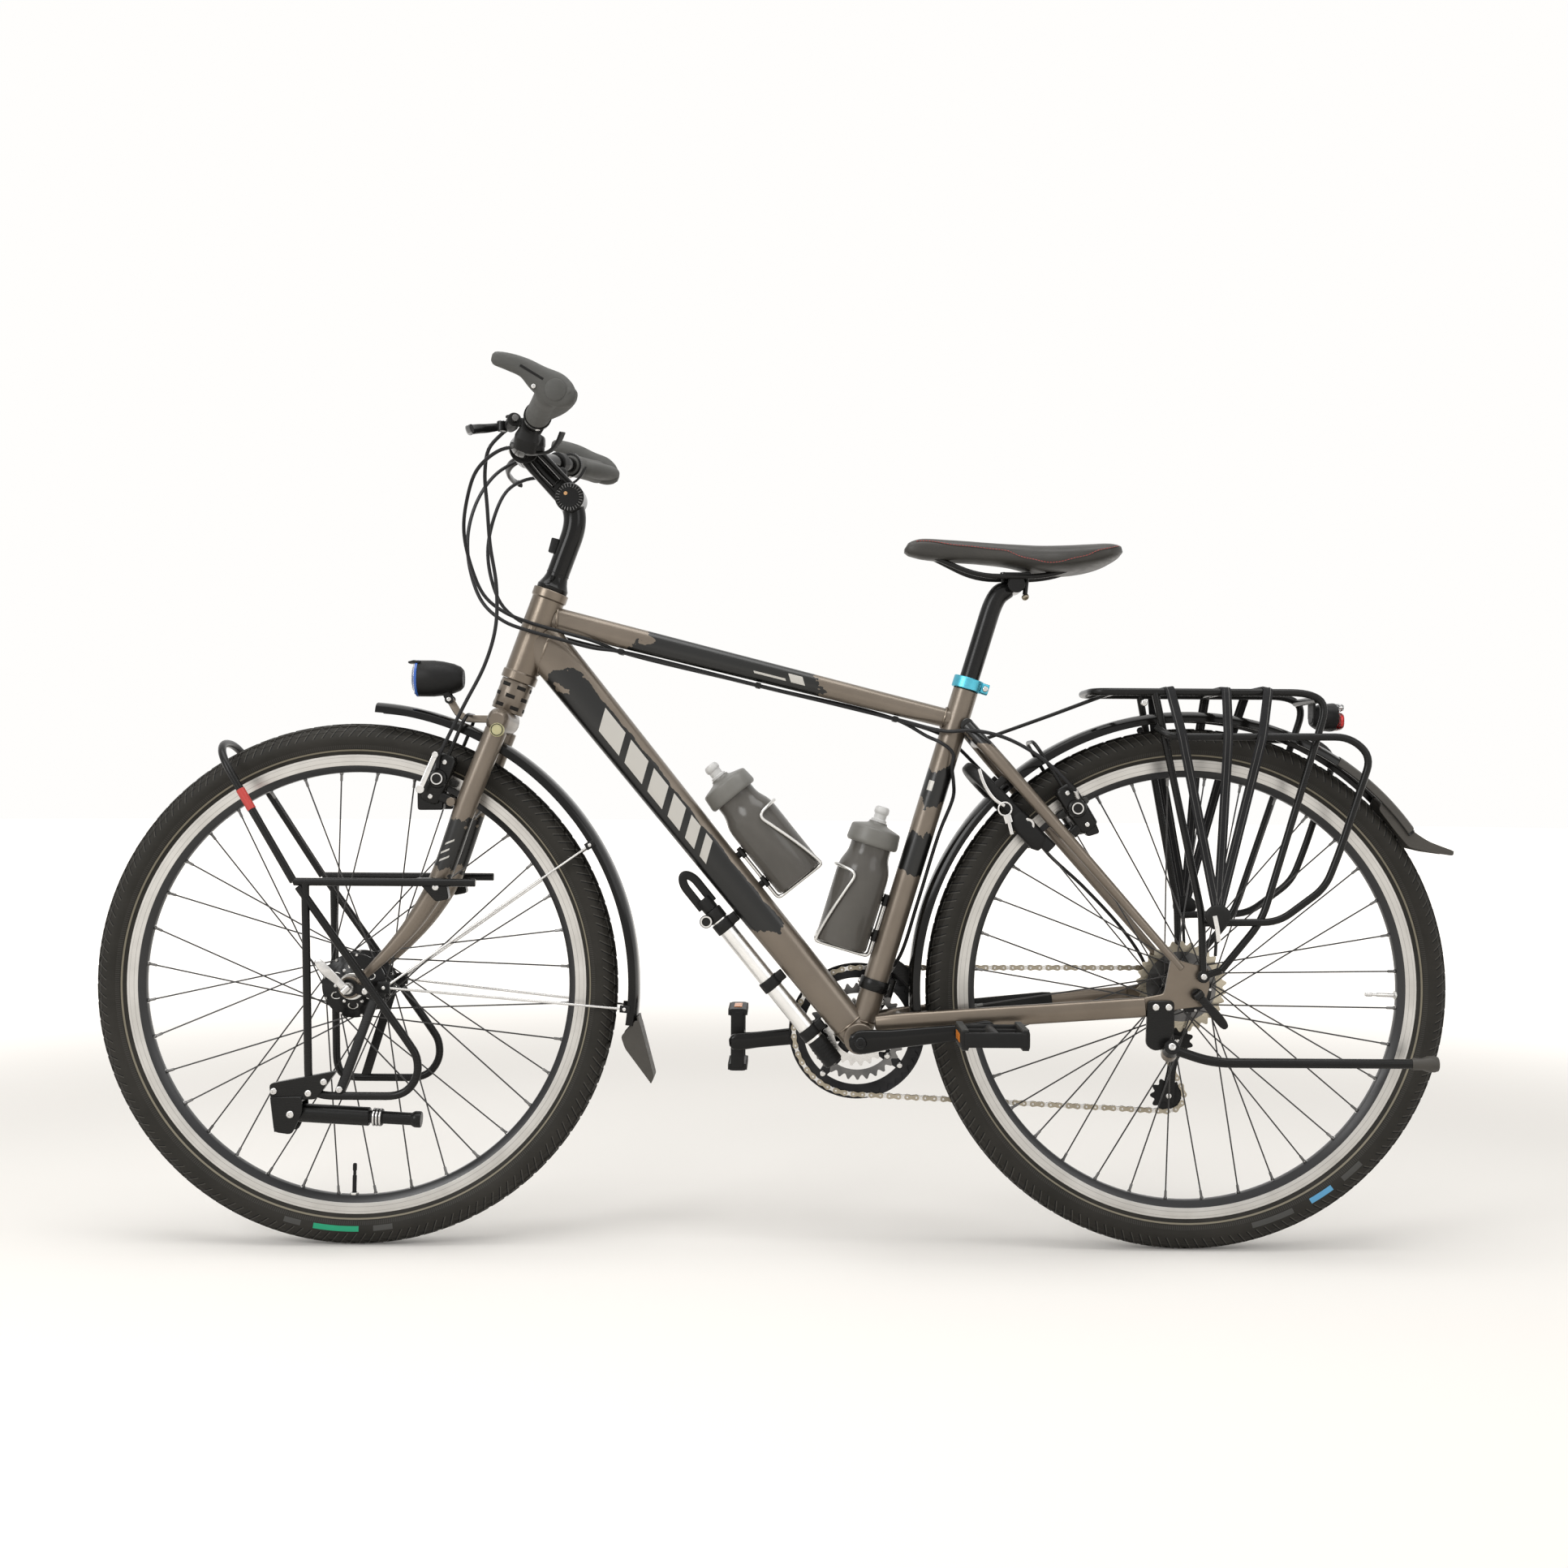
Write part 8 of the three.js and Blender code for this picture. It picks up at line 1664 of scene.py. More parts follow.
def release_piece(wheel_name, axle, half, turn, finish):
    middle = axle - RIGHT * (half + 0.3 + 11 + 0.3 + 5)
    out = ray(turn)
    hinge = Vector((-out.z, 0, out.x))
    rows = ((0, 0, 0, 4.6, 2), (0.14, 8, 0, 5.2, 2), (0.3, 17, 0, 5.5, 2), (0.6, 33.6, -4.5, 6.5, 1.75),
            (0.85, 48, -4, 6, 1.5), (0.97, 54.5, -3.2, 4, 1.3), (1, 56, -3, 2.4, 1))
    line = smooth_between(rows, 30)
    blade = swept([middle + out * row[1] + RIGHT * row[2] for row in line], [row[3:] for row in line],
                  20, first_up=RIGHT, square=3)
    barrel = straight(middle - hinge * 6.5, middle + hinge * 6.5, 5, 24, 0.7)
    piece(wheel_name + "_release_blade", [blade, barrel], wheel_name + "_release", finish,
          [wheel_name + "_release_lever"])


axle_piece("front", FRONT_AXLE, 60.3, "steering", alloy)
axle_piece("rear", REAR_AXLE, 73.5, "frame", dark_gloss)
release_piece("front", FRONT_AXLE, 60.3, math.radians(135), steel)
release_piece("rear", REAR_AXLE, 73.5, math.radians(-50), black_coat)

# Headlight: a round shell with a visor, a blue ring behind the bezel, a reflector with
# its bulb, and a ribbed clear lens, on two ears.
LAMP_CENTRE = at_front((.303, 1.176))
LAMP_HINGE = at_front((.346, 1.095))
lamp_shell = turned(((0, -34), (12, -34), (16.5, -30), (20.5, -20.5), (23.6, -6), (25, 7), (25, 26.4),
                     (24.6, 27), (23.2, 27.2), (21.6, 27.2), (21.2, 26), (14, 18), (6, 10), (0, 8)),
                    LAMP_CENTRE, FORWARD, 64)
visor_path = [LAMP_CENTRE + Vector((-24, 0, 21.6)), LAMP_CENTRE + Vector((-33, 0, 22.6)),
              LAMP_CENTRE + Vector((-40.6, 0, 21.6))]
visor = swept(visor_path, [(16, 2.4), (16.2, 2.3), (12, 1.6)], 24, square=4)
lamp_ears = []
for side in SIDES:
    ear = LAMP_HINGE + RIGHT * side * 7.3
    lamp_ears.append(straight(ear, ear + RIGHT * side * 3, 6, 24))
    lamp_ears.append(block(ear + RIGHT * side * 1.5, LAMP_CENTRE + RIGHT * side * 8.8, 1.5, 5, 16,
                           FORWARD))
piece("lamp_shell", [lamp_shell, visor, *lamp_ears], "lamp", black_plastic,
      ["headlight"])
lamp_blue = finish_base("lamp_ring_blue", (0.03, 0.10, 0.42), (0.05, 0.16, 0.55), 0.3)[0]
piece("lamp_ring", turned(((21.8, 27.2), (24.9, 27.2), (25.3, 27.8), (25.3, 29.8), (24.6, 30.6),
                           (21.8, 30.8), (21.8, 27.2)), LAMP_CENTRE, FORWARD, 64), "lamp", lamp_blue)
mirror = metal_finish("lamp_mirror", (0.75, 0.75, 0.74), (0.86, 0.86, 0.85), 0.12)[0]
piece("lamp_reflector", turned(((0, 9), (6.4, 11), (14.2, 19.2), (20.8, 28), (20.2, 28.4), (13.6, 20.2),
                                (6, 12.4), (0, 10.6)), LAMP_CENTRE, FORWARD, 48), "lamp", mirror)


def glass_finish(name, tint, rough=0.08):
    made = bpy.data.materials.new(name)
    made.use_nodes = True
    tree = made.node_tree
    shader = tree.nodes["Principled BSDF"]
    shader.inputs["Base Color"].default_value = (*tint, 1)
    shader.inputs["Transmission Weight"].default_value = 0.92
    shader.inputs["IOR"].default_value = 1.46
    wear = add_node(tree, "ShaderNodeGroup")
    wear.node_tree = wear_group()
    link(tree, level(tree, wear.outputs["Scratch"], rough * 0.6, rough * 1.6),
         shader.inputs["Roughness"])
    return made


clear_glass = glass_finish("clear_lens", (0.93, 0.94, 0.95))
lens_profile = ((0, 29.4), (22.4, 29.4), (23.2, 30.6), (22.6, 32.6), (19, 35), (11, 36.5), (0, 36.8))
piece("lamp_lens", turned(lens_profile, LAMP_CENTRE, FORWARD, 48), "lamp", clear_glass)
screws("lamp_screw", [(LAMP_HINGE + RIGHT * -10.6, LEFT), (LAMP_HINGE + RIGHT * 10.6, RIGHT)], 3.6,
       "lamp")

# Rear rack: black steel tubes with a platform, legs, side rails and thin stays.
RACK_FOOT = 78.8
rack = []
rack_bolts = []
half_path = [at_rear((-.387, 1.134), -55), at_rear((.430, 1.134), -55), at_rear((.496, 1.089), -57.2),
             at_rear((.239, .276), -RACK_FOOT), at_rear((.088, .091), -RACK_FOOT)]


def mirror_path(path):
    return [Vector((point.x, 2 * OFFSET.y - point.y, point.z)) for point in path]


whole = list(reversed(half_path)) + mirror_path(half_path)
rack.append(swept(rounded(whole, 25), 5, 18))
for share in (-.30, .10):
    rack.append(swept([at_rear((share, 1.134), -55), at_rear((share, 1.134), 55)], 4, 14))
rack.append(swept([at_rear((.462, 1.108), -55), at_rear((.462, 1.108), 55)], 5, 18))
for side in SIDES:
    foot = side * RACK_FOOT
    rack.append(swept(rounded([at_rear((-.152, 1.134), side * 55), at_rear((.014, .302), foot),
                               at_rear((.021, .068), foot)], 12), 5, 18))
    rack.append(swept([at_rear((.088, .091), foot), at_rear((.021, .068), foot)], 5, 16))
    rail = [at_rear(share, side * (RACK_FOOT * 0.78 if i == 0 else RACK_FOOT if i == 7 else 84))
            for i, share in enumerate(((-.146, 1), (-.12, .963), (.560, .966), (.641, .894),
                                       (.524, .538), (.472, .404), (.298, .274), (.02, .268)))]
    rack.append(swept(rounded(rail, 20), 5, 18))
    stay = [at_rear(share, side * 55 * spread_share)
            for share, spread_share in (((-.80, .948), .25), ((-.52, 1.05), .375), ((-.30, 1.134), .5))]
    rack.append(swept(rounded(stay, 20), 2.3, 12))
    tab = at_rear((.021, .068), foot)
    rack.append(straight(tab - RIGHT * side * 4.6, tab + RIGHT * side * 4.8, 8.4, 24))
    rack_bolts.append((tab + RIGHT * side * 5.2, RIGHT * side))
    rack_bolts.append((at_rear((-.80, .948), side * 16) + Vector((0, 0, 3.4)), UP))
piece("rear_rack_tubes", rack, "frame", black_coat, ["rear_rack"])
rack_bolts.append((Vector((492.5, -59.6, 748.9)), LEFT))
screws("rear_rack_screws", rack_bolts, 4.6, "frame")

# Elastic straps: three woven bands with pale lines, joined at a hook on each side.
def webbing_finish():
    made, tree = finish_base("strap_webbing", (0.011, 0.011, 0.012), (0.020, 0.020, 0.021), 0.72,
                             grain=1800, bump=0.5, depth=0.0003, gloss=0.18)[:2]
    place = add_node(tree, "ShaderNodeTexCoord")
    weave = add_node(tree, "ShaderNodeTexWave", wave_type="BANDS", bands_direction="Z")
    weave.inputs["Scale"].default_value = 320
    link(tree, place.outputs["Object"], weave.inputs["Vector"])
    link(tree, weave.outputs["Fac"], tree.nodes["relief"].inputs["Height"])
    return made


webbing = webbing_finish()
band_line = finish_base("strap_line", (0.070, 0.069, 0.067), (0.11, 0.108, 0.104), 0.7, grain=1500)[0]
strap_top = REAR_AXLE.z + 1.134 * TYRE_RADIUS + 5.3
strap_bands = []
strap_lines = []
for share in (-.101, .113, .272):
    half = [at_rear((.059, .30), -103.8), at_rear((share + (.059 - share) * 0.2, .966), -91.3),
            Vector((REAR_AXLE.x + share * TYRE_RADIUS, -61.3, strap_top + 1))]
    path = rounded(half + mirror_path(list(reversed(half))), 9, 5)
    strap_bands.append(swept(path, [(1, 6.5)] * len(path), 20, first_up=FORWARD, square=6))
    for place in (-3.1, 3.1):
        shifted = []
        for i, point in enumerate(path):
            tangent = (path[min(i + 1, len(path) - 1)] - path[max(i - 1, 0)]).normalized()
            shifted.append(point + (FORWARD - tangent * FORWARD.dot(tangent)).normalized() * place)
        strap_lines.append(swept(shifted, [(1.15, 0.5)] * len(path), 8, first_up=FORWARD, square=4))
hooks = []
hook_strips = []
for side in SIDES:
    at = at_rear((.059, .30), side * 103.8)
    dome = ((0, 14, 6, 2.4), (0.1, 12, 10, 3.6), (0.3, 6, 15.6, 4.6), (0.5, -1, 17.4, 4.8),
            (0.75, -9, 14, 4.4), (0.93, -15.6, 9, 3.6), (1, -18, 6.4, 2.4))
    rows = smooth_between(dome, 18)
    hooks.append(swept([at + Vector((0, 0, row[1])) for row in rows],
                       [(row[2], row[3]) for row in rows], 28, first_up=RIGHT, square=2.6))
    hook_strips.append(swept([at + Vector((-5, side * 4.2, 0)), at + Vector((-1.6, side * 4.6, -17)),
                              at + Vector((0.6, side * 3.6, -34))], [(3, 0.8)] * 3, 16, first_up=RIGHT,
                             square=4))
    hooks.append(swept(rounded([at, at_rear((.054, .226), side * 103.8),
                                at_rear((.054, .15), side * 97.8)], 8), 2.2, 14))
piece("strap_bands", strap_bands, "frame", webbing, ["rack_straps"])
piece("strap_lines", strap_lines, "frame", band_line)
piece("strap_hooks", hooks, "frame", black_plastic)
piece("strap_hook_strips", hook_strips, "frame", steel)

# Rear light: a black body on its plate, with a red lens and a clear band.
LIGHT_FRONT = at_rear((.462, 0)).x + 5.3
LIGHT_AT = Vector((LIGHT_FRONT + 19, OFFSET.y, REAR_AXLE.z + 1.047 * TYRE_RADIUS))
light_rows = ((0, -19, 12, 9), (0.06, -17.8, 14.8, 11.7), (0.35, -7.6, 26.6, 17.6), (0.7, 4, 34.5, 19),
              (0.93, 9.4, 37, 19.5), (1, 10.6, 36.2, 18.9))
line = smooth_between(light_rows, 22)
body = swept([LIGHT_AT + Vector((row[1], 0, 0)) for row in line], [(row[2], row[3]) for row in line],
             48, square=2.6)
plate_path = [Vector((LIGHT_FRONT + 2, OFFSET.y, LIGHT_AT.z - 2)),
              Vector((LIGHT_FRONT + 2, OFFSET.y, at_rear((0, 1.108)).z + 5))]
mount = swept(plate_path, [(15, 2)] * 2, 16, first_up=FORWARD, square=6)
piece("rear_light_body", [body, mount], "frame", black_plastic, ["rear_light"])
red_glass = glass_finish("red_lens", (0.62, 0.012, 0.010), 0.12)
lens_line = ((0, 9.2, 35.8, 12.4), (0.2, 13, 36.4, 12.9), (0.85, 17.6, 35, 12), (1, 18.9, 32, 10))
line = smooth_between(lens_line, 12)
lens = swept([LIGHT_AT + Vector((row[1], 0, -6)) for row in line], [(row[2], row[3]) for row in line],
             44, square=3.4)
piece("rear_light_lens", lens, "frame", red_glass)
clear_band = swept([LIGHT_AT + Vector((row[1], 0, 12.4)) for row in line],
                   [(row[2] * 0.92, row[3] * 0.46) for row in line], 40, square=3.4)
piece("rear_light_band", clear_band, "frame", clear_glass)

# Rear stand: a folded black leg with a grey foot, on its leaning pivot.
leg_path = rounded([at_rear((-.105, -.197)), at_rear((.048, -.248)), at_rear((.883, -.248))], 26)
leg_path = [Vector((point.x, STAND_PIVOT.y, point.z)) for point in leg_path]
leg_parts = [swept(leg_path, 6.5, 20),
             straight(STAND_PIVOT - FOLD_OUT * 9, STAND_PIVOT + FOLD_OUT * 6.5, 10.4, 30, 1)]
piece("rear_stand_tube", leg_parts, "rear_stand", black_coat, ["rear_stand_leg"])
end = leg_path[-1]
foot = turned(((0, -34), (7.1, -34), (8.2, -31), (8, -20), (10.8, -12), (11, -4), (9.6, 0.6), (0, 1.4)),
              end, Vector((1, 0, 0)), 28)
piece("rear_stand_foot", foot, "rear_stand", flap_grey)
screws("rear_stand_bolt", [(STAND_PIVOT + FOLD_OUT * 6.9, FOLD_OUT)], 5.6, "rear_stand")

# Ring lock: a rounded horseshoe round the tyre with its cap, keyhole and key.
LOCK_TURN = math.radians(134.9)
lock_out = ray(LOCK_TURN)
lock_across = Vector((-lock_out.z, 0, lock_out.x))


def lock_at(radius, across=0, y=0):
    return REAR_AXLE + lock_out * radius + lock_across * across + RIGHT * y


arch = rounded([lock_at(272, 0, -44.5), lock_at(418, 0, -44.5), lock_at(418, 0, 44.5),
                lock_at(272, 0, 44.5)], 46, 14)
count = len(arch) - 1
lock_sizes = [(9, 8.4 + 6.2 * math.sin(math.pi * min(max((i / count - 0.08) / 0.84, 0), 1)) ** 2)
              for i in range(count + 1)]
lock_body = swept(arch, [(tall, wide) for wide, tall in lock_sizes], 28, first_up=lock_across,
                  square=3.2)
ears = [block(lock_at(385, -4.5, side * 44.5), lock_at(385, -22, side * 44.5), 6, 5, 16)
        for side in SIDES]
case = [swept([Vector((318.7, y, 597.9)), Vector((324, y, 592)), Vector((353, y, 560.2)),
               Vector((358.3, y, 554.4))], [(10, 8), (14, 10.4), (14, 10.4), (10, 8)], 26,
              first_up=RIGHT, square=3) for y in (-44.5, 44.5)]
piece("ring_lock_body", [lock_body, *ears, *case], "frame", black_plastic,
      ["ring_lock"])
keyhole = turned(((0, -1), (9.4, -1), (9.4, 1.2), (8.4, 2), (5.6, 2), (5, 1.2), (0, 1.2)),
                 lock_at(318, 0, -52.4), LEFT, 28)
piece("ring_lock_cylinder", keyhole, "frame", steel)
bow = []
for i in range(20):
    angle = i * math.tau / 20
    bow.append(Vector((305.9 + math.cos(angle) * 9, -57.5, 604.6 + math.sin(angle) * 9)))
shackle = rounded([Vector((271.2, -54, 658.3)), Vector((276.8, -57, 638.6)),
                   Vector((290.1, -57, 617.7)), Vector((305.5, -56, 608.8))], 16)
key = [
    swept(bow, 1.3, 10, closed=True), swept(shackle, [(2.4, 2)] * len(shackle), 14, first_up=RIGHT,
                                            square=3),
    block(Vector((308.6, -57.5, 596)), Vector((311.6, -57.5, 586)), 5.2, 1.2, 20, RIGHT, 3),
    block(Vector((311.1, -57.5, 588)), Vector((315.5, -57.5, 570.5)), 2.4, 1, 14, RIGHT),
]
piece("ring_lock_key", key, "frame", steel)

# Crankset: forged black arms, three rings with real teeth, bolts and a chain guard rim.
PITCH = 12.7
RING_TEETH = (44, 32, 22)
COG_TEETH = (11, 12, 14, 16, 18, 20, 23, 26, 30)
CRANK_TURN = math.radians(6.5)
LEFT_CRANK = ray(CRANK_TURN)
PULLEY_TEETH = 11
CRANK_LENGTH = 170
RING_PLACE = 53
RING_STEP = 5.6
COG_PLACE = 59
COG_STEP = 4.3


def pitch_radius(teeth):
    return PITCH / (2 * math.sin(math.pi / teeth))


def toothed(teeth, at, inner, thick, first=0, tip=3.4, root=3.1):
    """A flat toothed ring with rounded teeth, thinned at their tips, and a round hole."""
    radius = pitch_radius(teeth)
    per_tooth = ((0, -root), (0.10, -root * 0.9), (0.26, 0), (0.38, tip * 0.8), (0.46, tip),
                 (0.54, tip), (0.62, tip * 0.8), (0.74, 0), (0.90, -root * 0.9))
    points = []
    faces = []
    angles = [((i + share) * math.tau / teeth + first, radius + rise) for i in range(teeth)
              for share, rise in per_tooth]
    count = len(angles)
    for y in (-thick / 2, thick / 2):
        for reach in (inner, radius - root):
            points.extend(at + Vector((math.cos(angle) * reach, y, math.sin(angle) * reach))
                          for angle, out in angles)
        for angle, out in angles:
            lean = max(0, out - radius + root) / (tip + root)
            points.append(at + Vector((math.cos(angle) * out, y * (1 - 0.45 * lean),
                                       math.sin(angle) * out)))
    for k in range(count):
        n = (k + 1) % count
        for layer in (0, 3):
            for ring in (0, 1):
                a = (layer + ring) * count
                faces.append((a + k, a + n, a + count + n, a + count + k))
        faces.append((k, n, 3 * count + n, 3 * count + k))
        faces.append((2 * count + k, 2 * count + n, 5 * count + n, 5 * count + k))
    return points, faces


OUTER_RING = pitch_radius(RING_TEETH[0])
arms = [straight(BRACKET + RIGHT * -65.5, BRACKET + RIGHT * 65.5, 11, 28)]
arm_rows = ((-0.088, 6, 5), (-0.07, 11.6, 7), (0, 16, 7.6), (0.09, 15.4, 7.5), (0.25, 13, 7.4),
            (0.8, 11.3, 7.3), (0.93, 12, 7.5), (1, 12.4, 7.5), (1.045, 9.8, 7), (1.066, 5.8, 5.4))
for side in SIDES:
    way = LEFT_CRANK if side < 0 else -LEFT_CRANK
    line = smooth_between(arm_rows, 60)
    arms.append(swept([BRACKET + way * CRANK_LENGTH * row[0] + RIGHT * side * (65.5 + 9 * row[0])
                       for row in line], [(row[1], row[2]) for row in line], 26, first_up=RIGHT,
                      square=3))
piece("crank_arm_pair", arms, "crankset", gloss_black, ["crank_arms"])
screws("crank_caps", [(BRACKET + RIGHT * side * 73.2, RIGHT * side) for side in SIDES], 8.6, "crankset",
       dark_gloss)
ring_black = metal_finish("ring_black", (0.018, 0.018, 0.019), (0.035, 0.035, 0.036), 0.36)[0]
BANDS = (14, 11, 12)
for i, teeth in enumerate(RING_TEETH):
    at = BRACKET + RIGHT * (RING_PLACE - i * RING_STEP)
    ring_nodes = ["chainrings"] if i == 0 else []
    piece(f"chainring_{teeth}", toothed(teeth, at, pitch_radius(teeth) - BANDS[i], 2, CRANK_TURN),
          "crankset", (ring_black, dark_steel, steel)[i],
          ring_nodes, 28)
guard = turned(((91.6, 1.8), (93, 1), (95.2, 1), (95.8, 2), (95.2, 3.6), (80, 3.8), (78.8, 3),
                (80, 1.8), (91.6, 1.8)), BRACKET + RIGHT * 53, RIGHT, 96)
piece("chain_guard_ring", guard, "crankset", ring_black)
spider = [turned(((10.9, 50), (15, 50), (15, 57.6), (10.9, 57.6), (10.9, 50)), BRACKET, RIGHT, 36)]
ring_bolts = []
for i in range(4):
    angle = CRANK_TURN + (i + 0.5) * math.tau / 4
    out = ray(angle)
    spider.append(swept([BRACKET + RIGHT * 53.4 + out * 13, BRACKET + RIGHT * 53.4 + out * 60,
                         BRACKET + RIGHT * 53.2 + out * 80], [(10, 2.2), (8, 1.9), (5.6, 1.4)], 18,
                        first_up=RIGHT, square=4))
    spider.append(straight(BRACKET + out * 54 + RIGHT * 42, BRACKET + out * 54 + RIGHT * 53, 5, 18))
    for side, y in ((1, 55.2), (-1, 51.4)):
        ring_bolts.append((BRACKET + out * 77 + RIGHT * y, RIGHT * side))
    ring_bolts.append((BRACKET + out * 54 + RIGHT * 41.4, LEFT))
piece("chainring_spider", spider, "crankset", ring_black)
screws("chainring_bolts", ring_bolts, 4.4, "crankset")

# Pedals: a caged platform with raised treads, bearing barrel and orange reflectors.
amber = finish_base("amber_reflector", (0.72, 0.20, 0.015), (0.85, 0.27, 0.03), 0.22, grain=500,
                    bump=0.5, depth=0.0004)[0]
for side, hand in HANDS:
    way = LEFT_CRANK if side < 0 else -LEFT_CRANK
    axis_at = BRACKET + way * CRANK_LENGTH
    tilt = Matrix.Rotation(0 if side < 0 else math.pi / 2, 3, "Y")

    def on_pedal(x, y, z):
        return axis_at + tilt @ Vector((x, side * (82 + y), z))

    up = tilt @ UP
    frame_parts = [straight(on_pedal(0, -12, 0), on_pedal(0, 50, 0), 5, 18),
                   turned(((0, 9), (8.4, 9), (9.4, 11), (9.4, 22), (8.6, 30), (9.4, 38), (9.4, 99),
                           (8.2, 102), (0, 102)), on_pedal(0, 0, 0), RIGHT * side, 28)]
    for end in (-1, 1):
        frame_parts.append(block(on_pedal(end * 39, 11, 0), on_pedal(end * 39, 101, 0), 5.2, 12.4, 20,
                                 up, 5))
        rail = [on_pedal(-40, 14 if end < 0 else 98, 0), on_pedal(40, 14 if end < 0 else 98, 0)]
        frame_parts.append(swept(rail, [(4.2, 9.8)] * 2, 20, first_up=up, square=5))
        for y in (34, 78):
            frame_parts.append(block(on_pedal(end * 34, y, 0), on_pedal(end * 6, y, 0), 2.4, 6.4, 14,
                                     up, 5))
    piece(f"pedal_{hand}_frame", frame_parts, f"{hand}_pedal", black_plastic,
          [f"pedal_{hand}"])
    studs = [(on_pedal(end * 39, 16 + k * 10, face * 12.2), tilt.to_euler(), 1) for end in (-1, 1)
             for face in (-1, 1) for k in range(9)]
    stud = block(Vector((-4.2, 0, 0)), Vector((4.2, 0, 0)), 2.4, 1.6, 10)
    spread(f"pedal_{hand}_treads", stud, studs, rubber_grey, f"{hand}_pedal")
    glass = [block(on_pedal(end * 44.2, 34, 0), on_pedal(end * 44.2, 78, 0), 0.9, 5.6, 20, up, 6)
             for end in (-1, 1)]
    piece(f"pedal_{hand}_reflectors", glass, f"{hand}_pedal", amber)

# Cassette: nine toothed cogs in golden steel with spacers and a lock ring.
cog_gold = metal_finish("cog_gold", (0.36, 0.32, 0.25), (0.52, 0.47, 0.37), 0.32)[0]
cogs = []
for i, teeth in enumerate(COG_TEETH):
    cogs.append(toothed(teeth, REAR_AXLE + RIGHT * (COG_PLACE - i * COG_STEP),
                        max(pitch_radius(teeth) - 12, 14) if i > 2 else 14, 1.8, i * 0.05, 2.6, 3))
piece("cassette_cogs", cogs, "sprockets", cog_gold, ["cassette"], 28)
spacers = [turned(((10, 24), (17, 24), (17, 57.6), (14, 60.4), (10, 60.4), (10, 24)), REAR_AXLE, RIGHT,
                  40)]
for i in range(3, 9):
    y = COG_PLACE - i * COG_STEP
    reach = pitch_radius(COG_TEETH[i]) - 9
    spacers.append(turned(((17, y - 0.6), (reach, y - 0.6), (reach, y + 0.6), (17, y + 0.6),
                           (17, y - 0.6)), REAR_AXLE, RIGHT, 40))
piece("cassette_carrier", spacers, "sprockets", dark_steel)

# Rear derailleur: knuckle, link, cage plates and toothed guide wheels.
GUIDE = at_rear((.001, -.225), COG_PLACE)
TENSION = at_rear((-.030, -.439), COG_PLACE)
KNUCKLE = GUIDE + Vector((0, 0, 8.5))
cage_way = (TENSION - GUIDE).normalized()
mech = []
for side in SIDES:
    y = RIGHT * side * 5.6
    line = even([GUIDE - cage_way * 9 + y, TENSION + cage_way * 9 + y], 6)
    middle = len(line) / 2
    mech.append(swept(line, [(0.9, 5 + 4 * min(1, abs(i - middle) / middle * 1.1))
                             for i in range(len(line))], 18, first_up=FORWARD, square=4))
for place in (GUIDE, TENSION):
    mech.append(straight(place - RIGHT * 7.4, place + RIGHT * 7.4, 3, 16))
mech.append(turned(((0, 64.6), (12.6, 64.6), (13.5, 65.6), (13.5, 84.4), (12.4, 85.6), (0, 86.4)),
                   Vector((KNUCKLE.x, OFFSET.y, KNUCKLE.z)), RIGHT, 36))
hanger = [at_rear((.035, -.045)), at_rear((.052, -.10)), GUIDE + Vector((10, 0, 7)),
          GUIDE + Vector((-10, 0, 7)), at_rear((-.015, -.10)), at_rear((-.02, -.05))]
mech.append(plate(corners(hanger, 4), 73.9, 83.6, 1.4))
piece("rear_mech_body", mech, "frame", black_coat, ["rear_derailleur"])
screws("rear_mech_screws", [(Vector((KNUCKLE.x, 86.4, KNUCKLE.z)), RIGHT), (GUIDE + RIGHT * 7.6, RIGHT),
                            (TENSION + RIGHT * 7.6, RIGHT), (TENSION - RIGHT * 7.6, LEFT),
                            (GUIDE - RIGHT * 7.6, LEFT)], 4.2, "frame")
for name, place, body, node in (("guide", GUIDE, "upper_guide", "guide_wheel"),
                                ("tension", TENSION, "lower_guide", "tension_wheel")):
    wheel = toothed(PULLEY_TEETH, place, 3.3, 2.2, 0, 2.2, 3.1)
    hub = turned(((3.3, -3), (7.4, -3), (7.4, 3), (3.3, 3), (3.3, -3)), place, RIGHT, 28)
    piece(f"{name}_wheel_teeth", [wheel, hub], body, black_plastic, [node], 28)


# Chain: outer and inner link plates with rollers, one unit set along the whole run.
def chain_run():
    """The chain's pitch line: places and outward directions round the four toothed wheels."""
    circles = ((BRACKET, OUTER_RING, -1), (REAR_AXLE, pitch_radius(COG_TEETH[0]), -1),
               (GUIDE, pitch_radius(PULLEY_TEETH), 1), (TENSION, pitch_radius(PULLEY_TEETH), -1))
    spans = []
    for i, (at, radius, sense) in enumerate(circles):
        to, reach, turn_to = circles[(i + 1) % 4]
        dx = to.x - at.x
        dz = to.z - at.z
        lean = math.asin((sense * radius - turn_to * reach) / math.hypot(dx, dz))
        turn = math.atan2(dz, dx) + lean
        out = (math.sin(turn), -math.cos(turn))
        spans.append(((at.x + out[0] * radius * sense, at.z + out[1] * radius * sense),
                      (to.x + out[0] * reach * turn_to, to.z + out[1] * reach * turn_to)))
    path = []
    for i, (at, radius, sense) in enumerate(circles):
        arrive = spans[i - 1][1]
        leave = spans[i][0]
        first = math.atan2(arrive[1] - at.z, arrive[0] - at.x)
        sweep = math.atan2(leave[1] - at.z, leave[0] - at.x) - first
        while sweep * sense < 0:
            sweep += sense * math.tau
        steps = max(int(abs(sweep) / 0.05), 2)
        for k in range(steps + 1):
            turn = first + sweep * k / steps
            path.append(Vector((at.x + radius * math.cos(turn), 0, at.z + radius * math.sin(turn))))
    path.append(path[0].copy())
    return path


